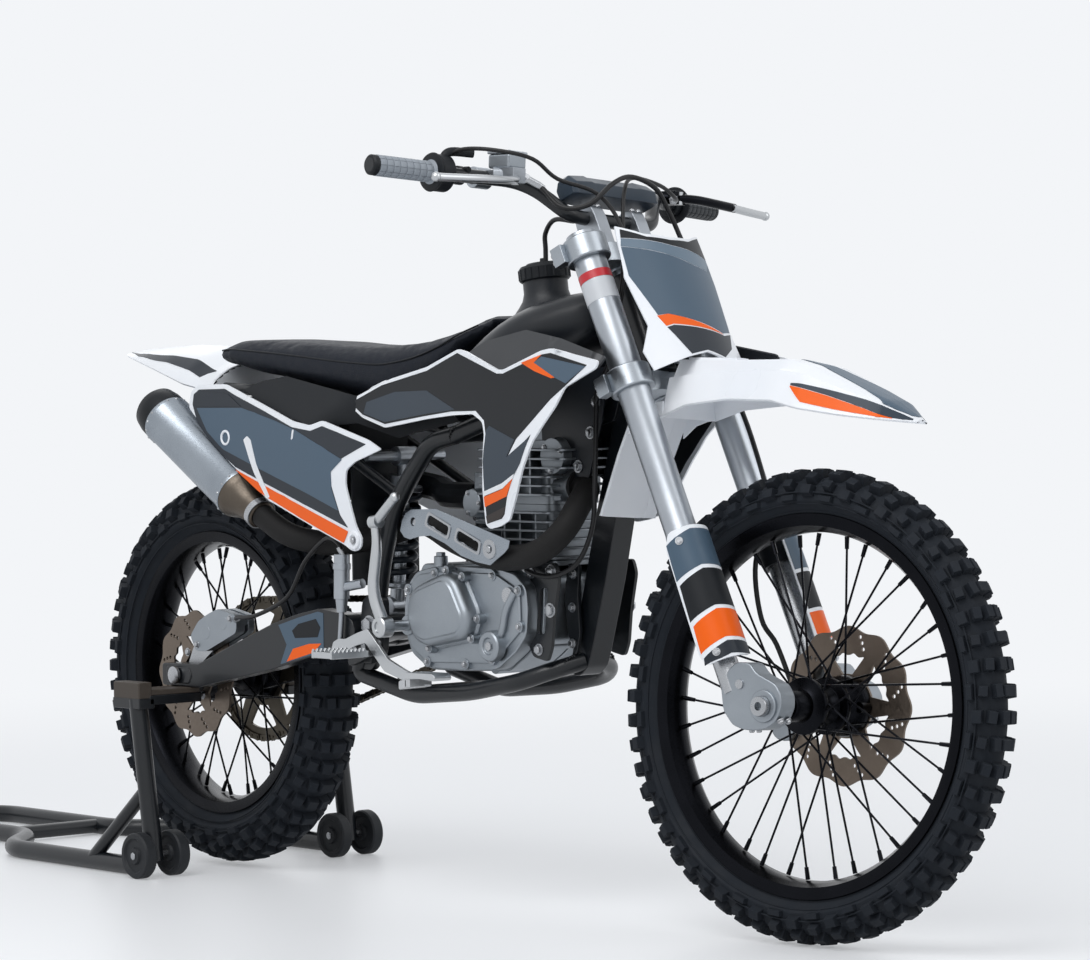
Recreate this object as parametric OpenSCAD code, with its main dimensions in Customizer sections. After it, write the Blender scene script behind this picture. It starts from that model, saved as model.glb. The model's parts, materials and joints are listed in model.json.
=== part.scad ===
// Off-road motorcycle held upright on its rear paddock stand.
// Working frame: x forward from the rear axle, y to the rider's left, z up from the floor.
// place() moves the working frame so that the origin is under the middle of the whole object.

/* [Wheels] */
// Distance between the axles with the fork straight
wheelbase = 1450; // [1435:1:1465]
// Height of the rear axle, with the rear tyre just clear of the floor
rear_axle_z = 335; // [335:1:337]
// Outer radius of the front tyre, over its knobs
front_tyre_r = 350; // [347:1:351]
// Half width of the front tyre
front_tyre_half = 42; // [40:1:44]
// Outer radius of the rear tyre, over its knobs
rear_tyre_r = 330; // [326:1:331]
// Half width of the rear tyre
rear_tyre_half = 55; // [52:1:55]
// Outer radius of the front rim's flanges
front_flange_r = 284; // [280:1:285]
// Outer radius of the rear rim's flanges
rear_flange_r = 245; // [242:1:248]
// Radius of both wheel axles
axle_r = 10; // [8:0.5:10]
// Radial clearance between an axle and the hub that turns on it
running_gap = 0.05; // [0.02:0.01:0.08]
// Number of spokes in each wheel
spoke_count = 36; // [28, 32, 36]

/* [Steering] */
// Angle of the steering axis from the vertical
rake = 26; // [25.5:0.1:26.5]
// Angle to the left at which the front end is parked
steer_rest = 9; // [7:1:11]
// Forward place of a point on the steering axis
steer_x = 1076; // [1074:1:1078]
// Height of the same point
steer_z = 946; // [944:1:948]
// Distance of the fork legs ahead of the steering axis
fork_offset = 22; // [20:1:24]
// Distance of each fork leg from the middle plane
fork_half = 105; // [103:1:107]
// Radius of the fork's outer tubes
fork_tube_r = 26; // [25:0.5:27]
// Radius of the sliding fork tubes
slider_r = 19; // [18:0.5:20]
// Radius of the steering stem
stem_r = 15; // [14:0.5:16]

/* [Controls] */
// Distance of each bar end from the middle plane
bar_half = 402; // [396:1:406]
// Radius of the handlebar tube
bar_r = 11; // [11:0.5:12]
// Radius of a handlebar grip
grip_r = 16; // [15:0.5:17]
// Radius of the opening in each end of the handlebar
bar_bore_r = 7; // [6:0.5:8]

/* [Paddock stand] */
// Radius of the stand's wheels
stand_wheel_r = 39; // [37:1:40]
// Radius of the tubes that lie on the floor
stand_tube_r = 16; // [15:0.5:17]
// Distance of each floor tube from the middle plane
stand_half = 218; // [214:1:222]
// Distance of the handle's rear end behind the rear axle
handle_x = 930; // [900:1:960]

/* [Hidden] */
$fn = 48;

// ---- derived places ----
front_axle_z = front_tyre_r;
swing_y0 = 84;            // inner face of each swingarm leg
swing_y1 = 115;           // outer face of each swingarm leg
pivot = [525, 440];       // swingarm pivot, x and z
chain_y = 69;             // middle plane of the chain
rear_pitch_r = 121.4;     // 48 teeth at 15.875 mm
drive_pitch_r = 33.2;     // 13 teeth at 15.875 mm
drive = [640, 447];       // gearbox output shaft, x and z
stand_axle_x = 60;
stand_upright_y = 207;
rotor_gap = 3;            // between a brake disc and its caliper
stem_low = -166;          // along the steering axis, from the point (steer_x, steer_z)
stem_high = 94;
head_low = -121;
head_high = 49;
clamp_h = 40;
tube_top = 102;
tube_bottom = -432;
slider_bottom = -655;
bar_end = [887, 1132];    // bar end, x and z, with the fork straight

// ---- vectors and routes ----
function unit(v) = v / norm(v);

// Curve that rounds the corner at b, starting and ending cut away from it
function rounded(a, b, c, cut, n) =
    let (p = b + unit(a - b) * cut, q = b + unit(c - b) * cut)
    [for (i = [0:n]) let (t = i / n) p * (1 - t) * (1 - t) + b * 2 * t * (1 - t) + q * t * t];

// A polyline with its inner corners rounded
function route(pts, cut = 30, n = 4) =
    let (last = len(pts) - 1)
    [pts[0], for (i = [1:last - 1]) each rounded(pts[i - 1], pts[i], pts[i + 1], cut, n), pts[last]];

function mirrored(pts) = [for (i = [len(pts) - 1:-1:0]) [pts[i].x, -pts[i].y, pts[i].z]];

function tangents(p) =
    let (n = len(p) - 1)
    [for (i = [0:n]) unit(p[min(i + 1, n)] - p[max(i - 1, 0)])];

// Side directions that turn as little as possible along the route
function side_dirs(t) =
    let (n = len(t), first = unit(cross(t[0], abs(t[0].z) < 0.9 ? [0, 0, 1] : [1, 0, 0])))
    [for (i = 0, u = first; i < n; i = i + 1, u = unit(u - t[min(i, n - 1)] * (u * t[min(i, n - 1)]))) u];

function tube_rings(p, r, sides) =
    let (t = tangents(p), u = side_dirs(t))
    [for (i = [0:len(p) - 1])
        let (v = cross(t[i], u[i]), rr = is_list(r) ? r[i] : r)
        [for (k = [0:sides - 1]) let (a = 360 * k / sides) p[i] + rr * (cos(a) * u[i] + sin(a) * v)]];

// ---- general shapes ----
// Closed shell through rings that all have the same number of points
module skin(rings) {
    n = len(rings[0]);
    m = len(rings);
    polyhedron(
        points = [for (ring = rings) each ring],
        faces = [
            [for (k = [0:n - 1]) k],
            [for (k = [n - 1:-1:0]) (m - 1) * n + k],
            for (i = [0:m - 2]) for (k = [0:n - 1])
                let (a = i * n + k, b = i * n + (k + 1) % n)
                each [[a, a + n, b + n], [a, b + n, b]]
        ]);
}

// Round bar along a route with rounded corners
module pipe(pts, r, cut = 30, sides = 12, n = 4) {
    skin(tube_rings(len(pts) > 2 ? route(pts, cut, n) : pts, r, sides));
}

// Straight round bar from a to b
module rod(a, b, r) {
    d = b - a;
    translate(a) rotate([0, acos(d.z / norm(d)), atan2(d.y, d.x)]) cylinder(h = norm(d), r = r);
}

// Plate with its outline in x and z, between two values of y
module plate(outline, y0, y1) {
    translate([0, y1, 0]) rotate([90, 0, 0]) linear_extrude(y1 - y0) polygon(outline);
}

// Disc across the bike between two values of y
module disc(c, y0, y1, r) {
    translate([c.x, y0, c.y]) rotate([-90, 0, 0]) cylinder(h = y1 - y0, r = r);
}

module both() {
    children();
    mirror([0, 1, 0]) children();
}

module box(lo, hi) {
    translate(lo) cube(hi - lo);
}

// Section across the bike at x: a rounded box from z0 to z1 that is w wide each side
function section(x, z0, z1, w, squareness = 0.55, n = 20, lean = 0) =
    [for (k = [0:n - 1])
        let (a = 360 * k / n, c = cos(a), s = sin(a))
        [x + lean * s, w * sign(c) * pow(abs(c), squareness),
            (z0 + z1) / 2 + (z1 - z0) / 2 * sign(s) * pow(abs(s), squareness)]];

// Point of a curved sheet at a station [x, height, half width, drop of the edges, tilt]: f runs from
// -1 at the right edge to 1 at the left, and depth goes into the sheet
function sheet_point(s, f, depth) =
    [s[0] + sin(s[4]) * (s[3] * f * f + depth), s[2] * f, s[1] - cos(s[4]) * (s[3] * f * f + depth)];

// Curved sheet through its stations, in strips across
module sheet(stations, t = 4, strips = 6) {
    for (i = [0:len(stations) - 2]) for (j = [0:strips - 1]) {
        edges = [-1 + 2 * j / strips, -1 + 2 * (j + 1) / strips];
        corners = [for (s = [stations[i], stations[i + 1]]) for (f = edges) for (depth = [0, t]) sheet_point(s, f, depth)];
        hull() polyhedron(points = corners,
            faces = [[0, 1, 3, 2], [4, 6, 7, 5], [0, 4, 5, 1], [2, 3, 7, 6], [0, 2, 6, 4], [1, 5, 7, 3]]);
    }
}

// Steering axis as z, with its origin at the point (steer_x, steer_z)
module steering_frame(turned = true) {
    translate([steer_x, 0, steer_z]) rotate([0, -rake, 0]) rotate([0, 0, turned ? steer_rest : 0]) children();
}

// Turns a piece drawn with the fork straight to the angle it is parked at
module steered() {
    steering_frame() rotate([0, rake, 0]) translate([-steer_x, 0, -steer_z]) children();
}

// Axle line as z, towards the rider's left
module on_axle(x, z) {
    translate([x, 0, z]) rotate([-90, 0, 0]) children();
}

module front_wheel_place() {
    steered() on_axle(wheelbase, front_axle_z) children();
}

module rear_wheel_place() {
    on_axle(0, rear_axle_z) children();
}

// ---- where the whole object's box lies ----
function turned_left(p) =
    let (q = p - [steer_x, 0, steer_z],
         u = q.x * cos(rake) + q.z * sin(rake),
         w = -q.x * sin(rake) + q.z * cos(rake),
         f = u * cos(steer_rest) - q.y * sin(steer_rest),
         l = u * sin(steer_rest) + q.y * cos(steer_rest))
    [steer_x + f * cos(rake) - w * sin(rake), l, steer_z + f * sin(rake) + w * cos(rake)];

grip_in = [905, 1131];
function grip_point(side) = [bar_end.x, side * bar_half, bar_end.y];
function grip_dir(side) =
    unit(turned_left(grip_point(side)) - turned_left([grip_in.x, side * 285, grip_in.y]));
function grip_reach(side) =
    side * turned_left(grip_point(side)).y + grip_r * sqrt(1 - pow(grip_dir(side).y, 2));
spin_dir = turned_left([steer_x, 1, steer_z]) - [steer_x, 0, steer_z];
tread_reach = max([for (p = tyre_half(front_tyre_r, front_tyre_half, front_flange_r, 20))
    p.x * sqrt(1 - pow(spin_dir.x, 2)) + p.y * abs(spin_dir.x)]);
front_x = turned_left([wheelbase, 0, front_axle_z]).x + tread_reach;
rear_x = -handle_x - stand_tube_r;
mid_x = (front_x + rear_x) / 2;
mid_y = (grip_reach(1) - grip_reach(-1)) / 2;

module place() {
    translate([-mid_x, -mid_y, 0]) children();
}

// ---- wheels ----
// Half of a tyre's section, as radius and distance from its middle plane
function tyre_half(r, half, flange, bead) = [
    [flange - 18, bead], [flange + 1, bead], [flange + 8, bead + 10], [flange + 22, half - 3],
    [flange + 38, half], [r - 17, half - 1], [r - 8, half - 8], [r - 3, half - 19], [r, half - 32]];

module tyre(r, half, flange, bead) {
    side = tyre_half(r, half, flange, bead);
    rotate_extrude($fn = 96)
        polygon(concat(side, [for (i = [len(side) - 1:-1:0]) [side[i].x, -side[i].y]]));
}

module rim(flange, half) {
    rotate_extrude($fn = 96) polygon([
        [flange - 28, -half], [flange - 28, half], [flange, half], [flange, half - 6],
        [flange - 20, half - 6], [flange - 20, 6 - half], [flange, 6 - half], [flange, -half]]);
}

// Straight spokes that cross, half of them to each flange of the hub
module spokes(hub_r, hub_y, rim_r) {
    for (k = [0:spoke_count - 1]) {
        side = k % 2 == 0 ? 1 : -1;
        lead = floor(k / 2) % 2 == 0 ? 46 : -46;
        a = 360 * k / spoke_count;
        rod([hub_r * cos(a + lead), hub_r * sin(a + lead), side * hub_y],
            [rim_r * cos(a), rim_r * sin(a), side * 5], 1.8, $fn = 16);
    }
}

module front_tyre() {
    color("#1b1b1c") place() front_wheel_place() tyre(front_tyre_r, front_tyre_half, front_flange_r, 20);
}

module front_rim() {
    color("#151516") place() front_wheel_place() rim(front_flange_r, 26);
}

module front_hub() {
    color("#18181a") place() front_wheel_place() difference() {
        union() {
            translate([0, 0, -68]) cylinder(h = 136, r = 24);
            for (s = [-1, 1]) translate([0, 0, s * 27 - 4]) cylinder(h = 8, r = 42);
            translate([0, 0, 40]) cylinder(h = 33, r = 40);
            spokes(37, 27, front_flange_r - 31);
        }
        translate([0, 0, -80]) cylinder(h = 160, r = axle_r + running_gap);
    }
}

module front_disc() {
    color("#8d8378") place() front_wheel_place() translate([0, 0, 73]) difference() {
        cylinder(h = 4, r = 120);
        translate([0, 0, -1]) cylinder(h = 6, r = 30);
        for (k = [0:5]) rotate([0, 0, 60 * k]) translate([66, 0, -1]) cylinder(h = 6, r = 16);
    }
}

module rear_tyre() {
    color("#1b1b1c") place() rear_wheel_place() tyre(rear_tyre_r, rear_tyre_half, rear_flange_r, 28);
}

module rear_rim() {
    color("#151516") place() rear_wheel_place() rim(rear_flange_r, 34);
}

module rear_hub() {
    color("#18181a") place() rear_wheel_place() difference() {
        union() {
            translate([0, 0, -72]) cylinder(h = 138.5, r = 27);
            for (s = [-1, 1]) translate([0, 0, s * 34 - 4]) cylinder(h = 8, r = 50);
            translate([0, 0, -72]) cylinder(h = 30, r = 46);
            translate([0, 0, 36]) cylinder(h = 30.5, r = 50);
            spokes(45, 34, rear_flange_r - 31);
        }
        translate([0, 0, -80]) cylinder(h = 160, r = axle_r + running_gap);
    }
}

module rear_disc() {
    color("#8d8378") place() rear_wheel_place() translate([0, 0, -76]) difference() {
        cylinder(h = 4, r = 110);
        translate([0, 0, -1]) cylinder(h = 6, r = 30);
        for (k = [0:5]) rotate([0, 0, 60 * k]) translate([66, 0, -1]) cylinder(h = 6, r = 15);
    }
}

module rear_sprocket() {
    color("#4a4a4c") place() rear_wheel_place() translate([0, 0, chain_y - 2.5]) difference() {
        cylinder(h = 5, r = rear_pitch_r + 4.5);
        translate([0, 0, -1]) cylinder(h = 7, r = 32);
        for (k = [0:5]) rotate([0, 0, 60 * k + 30]) translate([82, 0, -1]) cylinder(h = 7, r = 20);
    }
}

// ---- frame ----
module main_frame() {
    color("#17181a") place() {
        steering_frame(false) difference() {
            translate([0, 0, head_low]) cylinder(h = head_high - head_low, r = 27);
            translate([0, 0, head_low - 5]) cylinder(h = head_high - head_low + 10, r = stem_r + running_gap);
        }
        // front downtube, rectangular
        plate([[1075, 868], [1104, 842], [1044, 619], [981, 405], [975, 385], [945, 372], [931, 387], [999, 625], [1056, 812]], -21, 21);
        // gussets behind the head tube
        both() plate([[1078, 905], [1092, 868], [1050, 770], [1012, 762], [1040, 812]], 20, 26);
        both() {
            rod([1084, 14, 880], [742, 92, 748], 15);
            pipe([[744, 92, 749], [690, 98, 738], [628, 99, 672], [592, 99, 630], [556, 97, 540], [540, 94, 476]], 15, 26);
            pipe([[962, 16, 396], [935, 62, 382], [890, 88, 364], [769, 90, 342], [631, 90, 330], [489, 94, 360], [500, 96, 386]], 14, 28);
            plate([[478, 366], [530, 366], [560, 400], [562, 482], [536, 500], [505, 478], [496, 420]], 87, 101);
        }
        rod([525, -100, 440], [525, -84.2, 440], 24);
        rod([525, 84.2, 440], [525, 100, 440], 24);
        rod([640, -92, 336], [640, 92, 336], 11);
        rod([742, -92, 748], [742, 92, 748], 12);
        // engine mounts
        plate([[972, 548], [945, 548], [942, 440], [962, 405]], -34, -28);
        plate([[972, 548], [945, 548], [942, 440], [962, 405]], 28, 34);
    }
}

module subframe() {
    color("#17181a") place() {
        both() {
            pipe([[690, 74, 760], [534, 75, 776], [400, 75, 800], [250, 75, 820], [70, 70, 828]], 10, 40);
            rod([584, 84, 652], [215, 77, 820], 9);
            rod([690, 74, 762], [690, 87, 749], 5);
        }
        rod([90, -70, 827], [90, 70, 827], 8);
        rod([400, -75, 800], [400, 75, 800], 8);
    }
}

// ---- engine ----
module crankcase() {
    color("#8b8d8c") place() {
        plate([[700, 542], [777, 545], [900, 545], [935, 520], [930, 430], [849, 378], [700, 372]], -74, 74);
        plate([[613, 506], [634, 542], [705, 542], [705, 372], [650, 372], [606, 420]], -74, 46);
        disc(drive, 40, 62, 12);
        disc(drive, 66, 72, drive_pitch_r + 4);
    }
}

module engine_covers() {
    color("#9a9c9b") place() {
        plate([[620, 440], [628, 506], [650, 530], [700, 541], [860, 541], [925, 515], [925, 440], [850, 380], [680, 376], [634, 400]],
            -108, -74);
        hull() {
            disc([716, 466], -142, -106, 56);
            disc([760, 490], -142, -106, 46);
            disc([784, 462], -142, -106, 40);
        }
        disc([855, 420], -124, -107, 24);
        // left cover over the generator, and the guard in front of the drive sprocket
        disc([800, 474], 74, 128, 66);
        plate([[640, 500], [700, 512], [740, 500], [740, 395], [700, 385], [645, 400]], 82, 96);
        disc([715, 500], 74, 84, 10);
        disc([715, 400], 74, 84, 10);
    }
}

module cylinder_barrel() {
    color("#9b9b99") place() {
        box([790, -52, 545], [930, 52, 640]);
        for (k = [0:5]) box([772, -80, 556 + 14 * k], [952, 80, 560 + 14 * k]);
    }
}

module cylinder_head() {
    color("#8f8f8e") place() {
        box([790, -52, 640], [930, 52, 690]);
        box([792, -52, 688], [944, 52, 740]);
        for (k = [0:2]) box([772, -80, 654 + 14 * k], [952, 80, 658 + 14 * k]);
        for (k = [0:2]) box([772, -78, 696 + 14 * k], [985, 78, 700 + 14 * k]);
        box([810, -44, 740], [930, 44, 766]);
        disc([945, 716], -64, -40, 30);
        // exhaust port
        rod([930, -24, 668], [972, -32, 668], 24);
        box([920, -48, 644], [944, 0, 690]);
    }
}

module carburettor() {
    color("#9c9d9e") place() {
        rod([700, 0, 650], [769, 0, 658], 22);
        box([712, -32, 596], [764, 32, 690]);
        disc([738, 640], -58, -30, 24);
    }
}

module airbox() {
    color("#141416") place() {
        plate([[110, 812], [190, 700], [300, 640], [420, 640], [425, 720], [430, 775], [250, 806]], -62, 62);
        pipe([[691, 0, 649], [640, 8, 648], [570, 30, 648], [520, 58, 656], [485, 60, 661], [410, 58, 668]], 22, 16);
    }
}

module exhaust_header() {
    color("#161616") place() {
        pipe([[975, -33, 668], [1004, -40, 666], [1030, -78, 648], [1034, -112, 606], [980, -122, 566],
            [880, -124, 556], [770, -122, 584], [690, -100, 606], [610, -60, 606], [520, -58, 585],
            [420, -88, 566], [330, -116, 580], [262, -120, 614]], 20, 22, 14, 3);
    }
}

module heat_shield() {
    color("#c2beb4") place()
        difference() {
            plate([[675, 598], [686, 624], [700, 632], [764, 634], [948, 588], [936, 570], [896, 548], [827, 562], [752, 592], [700, 584]], -152, -148);
            for (x = [742, 812]) plate([[x, 612], [x + 44, 601], [x + 44, 588], [x, 599]], -160, -140);
        }
}

module silencer() {
    color("#b9b9b7") place() difference() {
        union() {
            rod([236, -120, 629], [206, -120, 647], 30);
            rod([208, -120, 646], [-9, -120, 775], 45);
            rod([-9, -120, 775], [-45, -120, 796], 42);
        }
        rod([-30, -120, 787.5], [-60, -120, 805.4], 22);
    }
}

// ---- bodywork ----
module fuel_tank() {
    color("#1a1b1d") place() {
        skin([
            section(612, 778, 812, 56), section(660, 780, 838, 70), section(740, 784, 880, 92),
            section(820, 812, 926, 112), section(890, 842, 953, 112), section(940, 862, 967, 88),
            section(985, 882, 972, 58), section(1020, 908, 966, 34)]);
        translate([866, 0, 952]) rotate([0, -8, 0]) translate([0, 0, -26]) cylinder(h = 26, r1 = 52, r2 = 37);
    }
}

module tank_cap() {
    color("#1d1e20") place() {
        translate([866, 0, 952]) rotate([0, -8, 0]) cylinder(h = 48, r = 34);
        translate([862, 0, 998]) rotate([0, -8, 0]) cylinder(h = 20, r = 40);
    }
}

module seat() {
    color("#151516") place()
        skin([
            section(84, 872, 898, 84, 0.5), section(140, 868, 908, 100, 0.5), section(265, 846, 904, 104, 0.5),
            section(400, 822, 897, 100, 0.5), section(534, 797, 894, 92, 0.5), section(629, 826, 900, 84, 0.5),
            section(718, 892, 918, 72, 0.5), section(800, 924, 942, 60, 0.5)]);
}

// Side sheets that stand further out towards the front
module flared(y, lean) {
    translate([530, y, 0]) rotate([0, 0, -lean]) translate([-530, 0, 0]) children();
}

module shrouds() {
    color("#e9ecef") place() both()
        flared(122, -6.5) plate([
            [491, 802], [626, 837], [735, 855], [827, 884], [944, 850], [1059, 879], [1085, 881],
            [1209, 861], [1121, 822], [1098, 795], [1037, 741], [1007, 700], [957, 619],
            [900, 605], [888, 611], [896, 690], [904, 758], [893, 775], [860, 783], [735, 774],
            [614, 760], [544, 776]], -2.5, 2.5);
}

module side_panels() {
    color("#e9ecef") place() both()
        flared(150, -3) plate([
            [66, 795], [70, 822], [90, 833], [177, 834], [212, 824], [300, 798], [385, 771],
            [435, 764], [472, 772], [603, 741], [640, 728], [560, 706], [540, 690], [558, 598], [575, 580],
            [557, 562], [526, 572], [310, 640], [200, 706], [112, 764]], -3, 1);
}

module rear_fender() {
    color("#e9ecef") place()
        sheet([[-237, 893, 54, 6, 0], [-162, 897, 74, 22, 0], [-72, 899, 92, 44, 0], [10, 896, 102, 62, 0],
            [74, 864, 104, 34, 0]]);
}

// ---- swingarm and rear suspension ----
module swingarm() {
    color("#141516") place() difference() {
        union() {
            both() plate([[-45, 316], [60, 316], [276, 357], [391, 384], [480, 400], [480, 456], [406, 463],
                [278, 434], [166, 395], [60, 356], [-45, 354]], swing_y0, swing_y1);
            plate([[372, 388], [545, 418], [545, 458], [372, 452]], -swing_y0, swing_y0);
        }
        disc([0, rear_axle_z], -130, 130, axle_r + 0.2);
        // room for the tyre, and the slot for the shock absorber's lower eye
        disc([0, rear_axle_z], -66, 66, rear_tyre_r + 22);
        box([446, -21, 444], [492, 21, 480]);
    }
}

module shock_absorber() {
    color("#2a2b2e") place() {
        rod([470, 0, 470], [496, 0, 700], 12);
        rod([474, 0, 505], [491, 0, 655], 32);
        disc([468, 464], -18, 18, 16);
        disc([497, 712], -20, 20, 16);
        rod([497, -80, 712], [497, 80, 712], 8);
    }
}

// Outline of the chain loop at a distance off its pitch line
function chain_outline(off) =
    let (d = drive - [0, rear_axle_z], span = norm(d), base = atan2(d.y, d.x),
         open = acos((rear_pitch_r - drive_pitch_r) / span), steps = 24)
    concat(
        [for (i = [0:steps]) let (a = base + open + (360 - 2 * open) * i / steps)
            [0, rear_axle_z] + (rear_pitch_r + off) * [cos(a), sin(a)]],
        [for (i = [0:8]) let (a = base - open + 2 * open * i / 8)
            drive + (drive_pitch_r + off) * [cos(a), sin(a)]]);

module chain() {
    color("#6d6a62") place() for (s = [-1, 1]) {
        y0 = s > 0 ? chain_y + 5.5 : chain_y - 8.5;
        difference() {
            plate(chain_outline(7.5), y0, y0 + 3);
            plate(chain_outline(-7.5), y0 - 1, y0 + 4);
        }
    }
}

module rear_axle() {
    color("#b5b7b8") place() {
        disc([0, rear_axle_z], -118, 118, axle_r);
        for (s = [-1, 1]) disc([0, rear_axle_z], s > 0 ? swing_y1 : -swing_y1 - 11, s > 0 ? swing_y1 + 11 : -swing_y1, 15);
        for (s = [-1, 1]) disc([0, rear_axle_z], s > 0 ? 76 : -swing_y0, s > 0 ? swing_y0 : -79, 15);
    }
}

// ---- brakes and foot controls ----
module rear_caliper() {
    color("#b9bbbc") place() difference() {
        union() {
            plate([[14, 400], [38, 428], [98, 452], [150, 443], [152, 412], [118, 398], [62, 376], [30, 376]], -98, -58);
            plate([[-10, 352], [24, 400], [70, 380], [40, 362], [22, 352]], -83.5, -79.5);
        }
        disc([0, rear_axle_z], -76 - rotor_gap, -72 + rotor_gap, 110 + rotor_gap);
    }
}

module rear_master_cylinder() {
    color("#a9abac") place() {
        rod([482, -122, 556], [479, -122, 460], 13);
        rod([479, -122, 461], [474, -122, 414], 5);
        rod([480, -122, 500], [524, -112, 508], 8);
    }
}

module brake_pedal() {
    color("#c7c9ca") place() {
        plate([[462, 396], [470, 414], [500, 416], [561, 436], [612, 388], [706, 362], [706, 348],
            [600, 370], [556, 412], [510, 402], [490, 392]], -134, -128);
        plate([[700, 362], [720, 366], [720, 352], [700, 348]], -180, -128);
        box([716, -186, 366], [800, -150, 378]);
        box([716, -180, 352], [730, -150, 368]);
        disc([515, 408], -128, -126, 8);
    }
}

module kick_lever() {
    color("#b9bbbc") place() {
        disc([636, 444], -168, -108, 9);
        disc([636, 444], -170, -146, 17);
        pipe([[635, -158, 450], [618, -166, 500], [640, -170, 580], [634, -170, 612], [688, -172, 652]], 8, 14);
    }
}

module gear_lever() {
    color("#b9bbbc") place() {
        disc([650, 375], 46, 122, 7);
        plate([[640, 368], [660, 368], [800, 386], [800, 396], [655, 388], [640, 384]], 112, 122);
        disc([795, 391], 112, 158, 8);
    }
}

module footpegs() {
    color("#9fa1a2") place() both() {
        difference() {
            box([520, 140, 392], [574, 216, 408]);
            for (x = [526, 551]) box([x, 148, 380], [x + 17, 208, 420]);
        }
        plate([[500, 372], [556, 392], [574, 392], [574, 408], [520, 408], [496, 388]], 111, 126);
        box([524, 120, 390], [559, 142, 402]);
        box([517, 101, 378], [545, 113, 398]);
    }
}

// ---- paddock stand ----
module paddock_stand() {
    color("#18191b") place() {
        pipe([[12, stand_half, stand_tube_r], [-380, stand_half, stand_tube_r], [-500, 96, stand_tube_r],
            [-handle_x + 60, 96, stand_tube_r], [-handle_x, 40, stand_tube_r], [-handle_x, -40, stand_tube_r],
            [-handle_x + 60, -96, stand_tube_r], [-500, -96, stand_tube_r], [-380, -stand_half, stand_tube_r],
            [12, -stand_half, stand_tube_r]], stand_tube_r, 50, 12, 4);
        rod([-560, -96, stand_tube_r], [-560, 96, stand_tube_r], 13);
        both() {
            rod([6, stand_half, stand_tube_r], [56, stand_upright_y, 42], 9);
            rod([56, stand_upright_y, 28], [14, stand_upright_y, 300], 16);
            rod([-110, stand_half - 2, 20], [40, stand_upright_y, 150], 12);
            rod([stand_axle_x, stand_upright_y - 48, stand_wheel_r], [stand_axle_x, stand_upright_y + 48, stand_wheel_r], 6);
            // bracket and pad under the end of the swingarm
            box([-40, 190, 284], [40, 222, 300]);
            box([-28, 92, 290], [40, 200, 316]);
            box([-40, 196, 300], [40, 222, 330]);
        }
    }
}

module stand_wheel_pair() {
    for (s = [-1, 1]) translate([stand_axle_x, stand_upright_y + s * 34, stand_wheel_r]) rotate([-90, 0, 0])
        difference() {
            translate([0, 0, -12]) cylinder(h = 24, r = stand_wheel_r);
            translate([0, 0, -20]) cylinder(h = 40, r = 6 + running_gap);
        }
}

module stand_wheels_right() {
    color("#202123") place() mirror([0, 1, 0]) stand_wheel_pair();
}

module stand_wheels_left() {
    color("#202123") place() stand_wheel_pair();
}

// ---- fork and front end, in the steering frame ----
module fork_clamp(low) {
    difference() {
        union() {
            for (s = [-1, 1]) translate([fork_offset, s * fork_half, low]) cylinder(h = clamp_h, r = fork_tube_r + 9);
            translate([-12, -fork_half, low + 5]) cube([34, 2 * fork_half, clamp_h - 10]);
            translate([0, 0, low]) cylinder(h = clamp_h, r = 30);
        }
        for (s = [-1, 1]) translate([fork_offset, s * fork_half, low - 1]) cylinder(h = clamp_h + 2, r = fork_tube_r);
    }
}

module triple_clamps() {
    color("#a9abac") place() steering_frame() {
        fork_clamp(stem_low);
        fork_clamp(stem_high - clamp_h);
        translate([0, 0, stem_low]) cylinder(h = stem_high - stem_low, r = stem_r);
        // handlebar clamps
        for (s = [-1, 1]) difference() {
            translate([-16, s * 48 - 14, stem_high - 4]) cube([44, 28, 70]);
            translate([6.7, s * 48 - 20, 141.4]) rotate([-90, 0, 0]) cylinder(h = 40, r = bar_r + 3);
        }
    }
}

module fork_tubes() {
    color("#b4b6b8") place() steering_frame() for (s = [-1, 1]) translate([fork_offset, s * fork_half, 0])
        difference() {
            translate([0, 0, tube_bottom]) cylinder(h = tube_top - tube_bottom, r = fork_tube_r);
            translate([0, 0, tube_bottom - 1]) cylinder(h = 121, r = slider_r);
        }
}

module fork_legs() {
    color("#c9cbcc") place() {
        steering_frame() for (s = [-1, 1]) translate([fork_offset, s * fork_half, slider_bottom])
            cylinder(h = tube_bottom + 118 - slider_bottom, r = slider_r);
        steered() difference() {
            both() {
                plate([[1368, 372], [1382, 402], [1424, 400], [1472, 382], [1482, 352], [1468, 326],
                    [1436, 318], [1392, 318], [1372, 340]], 82, 126);
            }
            disc([wheelbase, front_axle_z], -140, 140, axle_r);
        }
        steered() difference() {
            disc([wheelbase, front_axle_z], -136, 136, axle_r);
            disc([wheelbase, front_axle_z], -140, 140, 6);
        }
    }
}

module fork_guards() {
    color("#202124") place() steering_frame() for (s = [-1, 1]) translate([fork_offset, s * fork_half, 0])
        intersection() {
            difference() {
                translate([0, 0, -612]) cylinder(h = 212, r = 40);
                translate([0, 0, -613]) cylinder(h = 214, r = 36);
            }
            translate([2, s > 0 ? -22 : -60, -700]) cube([60, 82, 400]);
        }
}

module front_fender() {
    color("#eef0f2") place() steered() {
        sheet([[1168, 866, 62, 50, 0], [1190, 866, 66, 90, 0], [1240, 866, 72, 76, 0], [1325, 864, 78, 66, 0],
            [1409, 862, 80, 66, 0], [1453, 851, 78, 66, 0], [1583, 800, 53, 28, 0], [1627, 772, 14, 4, 0]]);
        // skirt behind the wheel
        sheet([[1057, 627, 64, 10, 70], [1090, 716, 65, 10, 70], [1114, 774, 66, 12, 70], [1140, 790, 66, 16, 30],
            [1200, 802, 67, 22, 20]]);
    }
}

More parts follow.
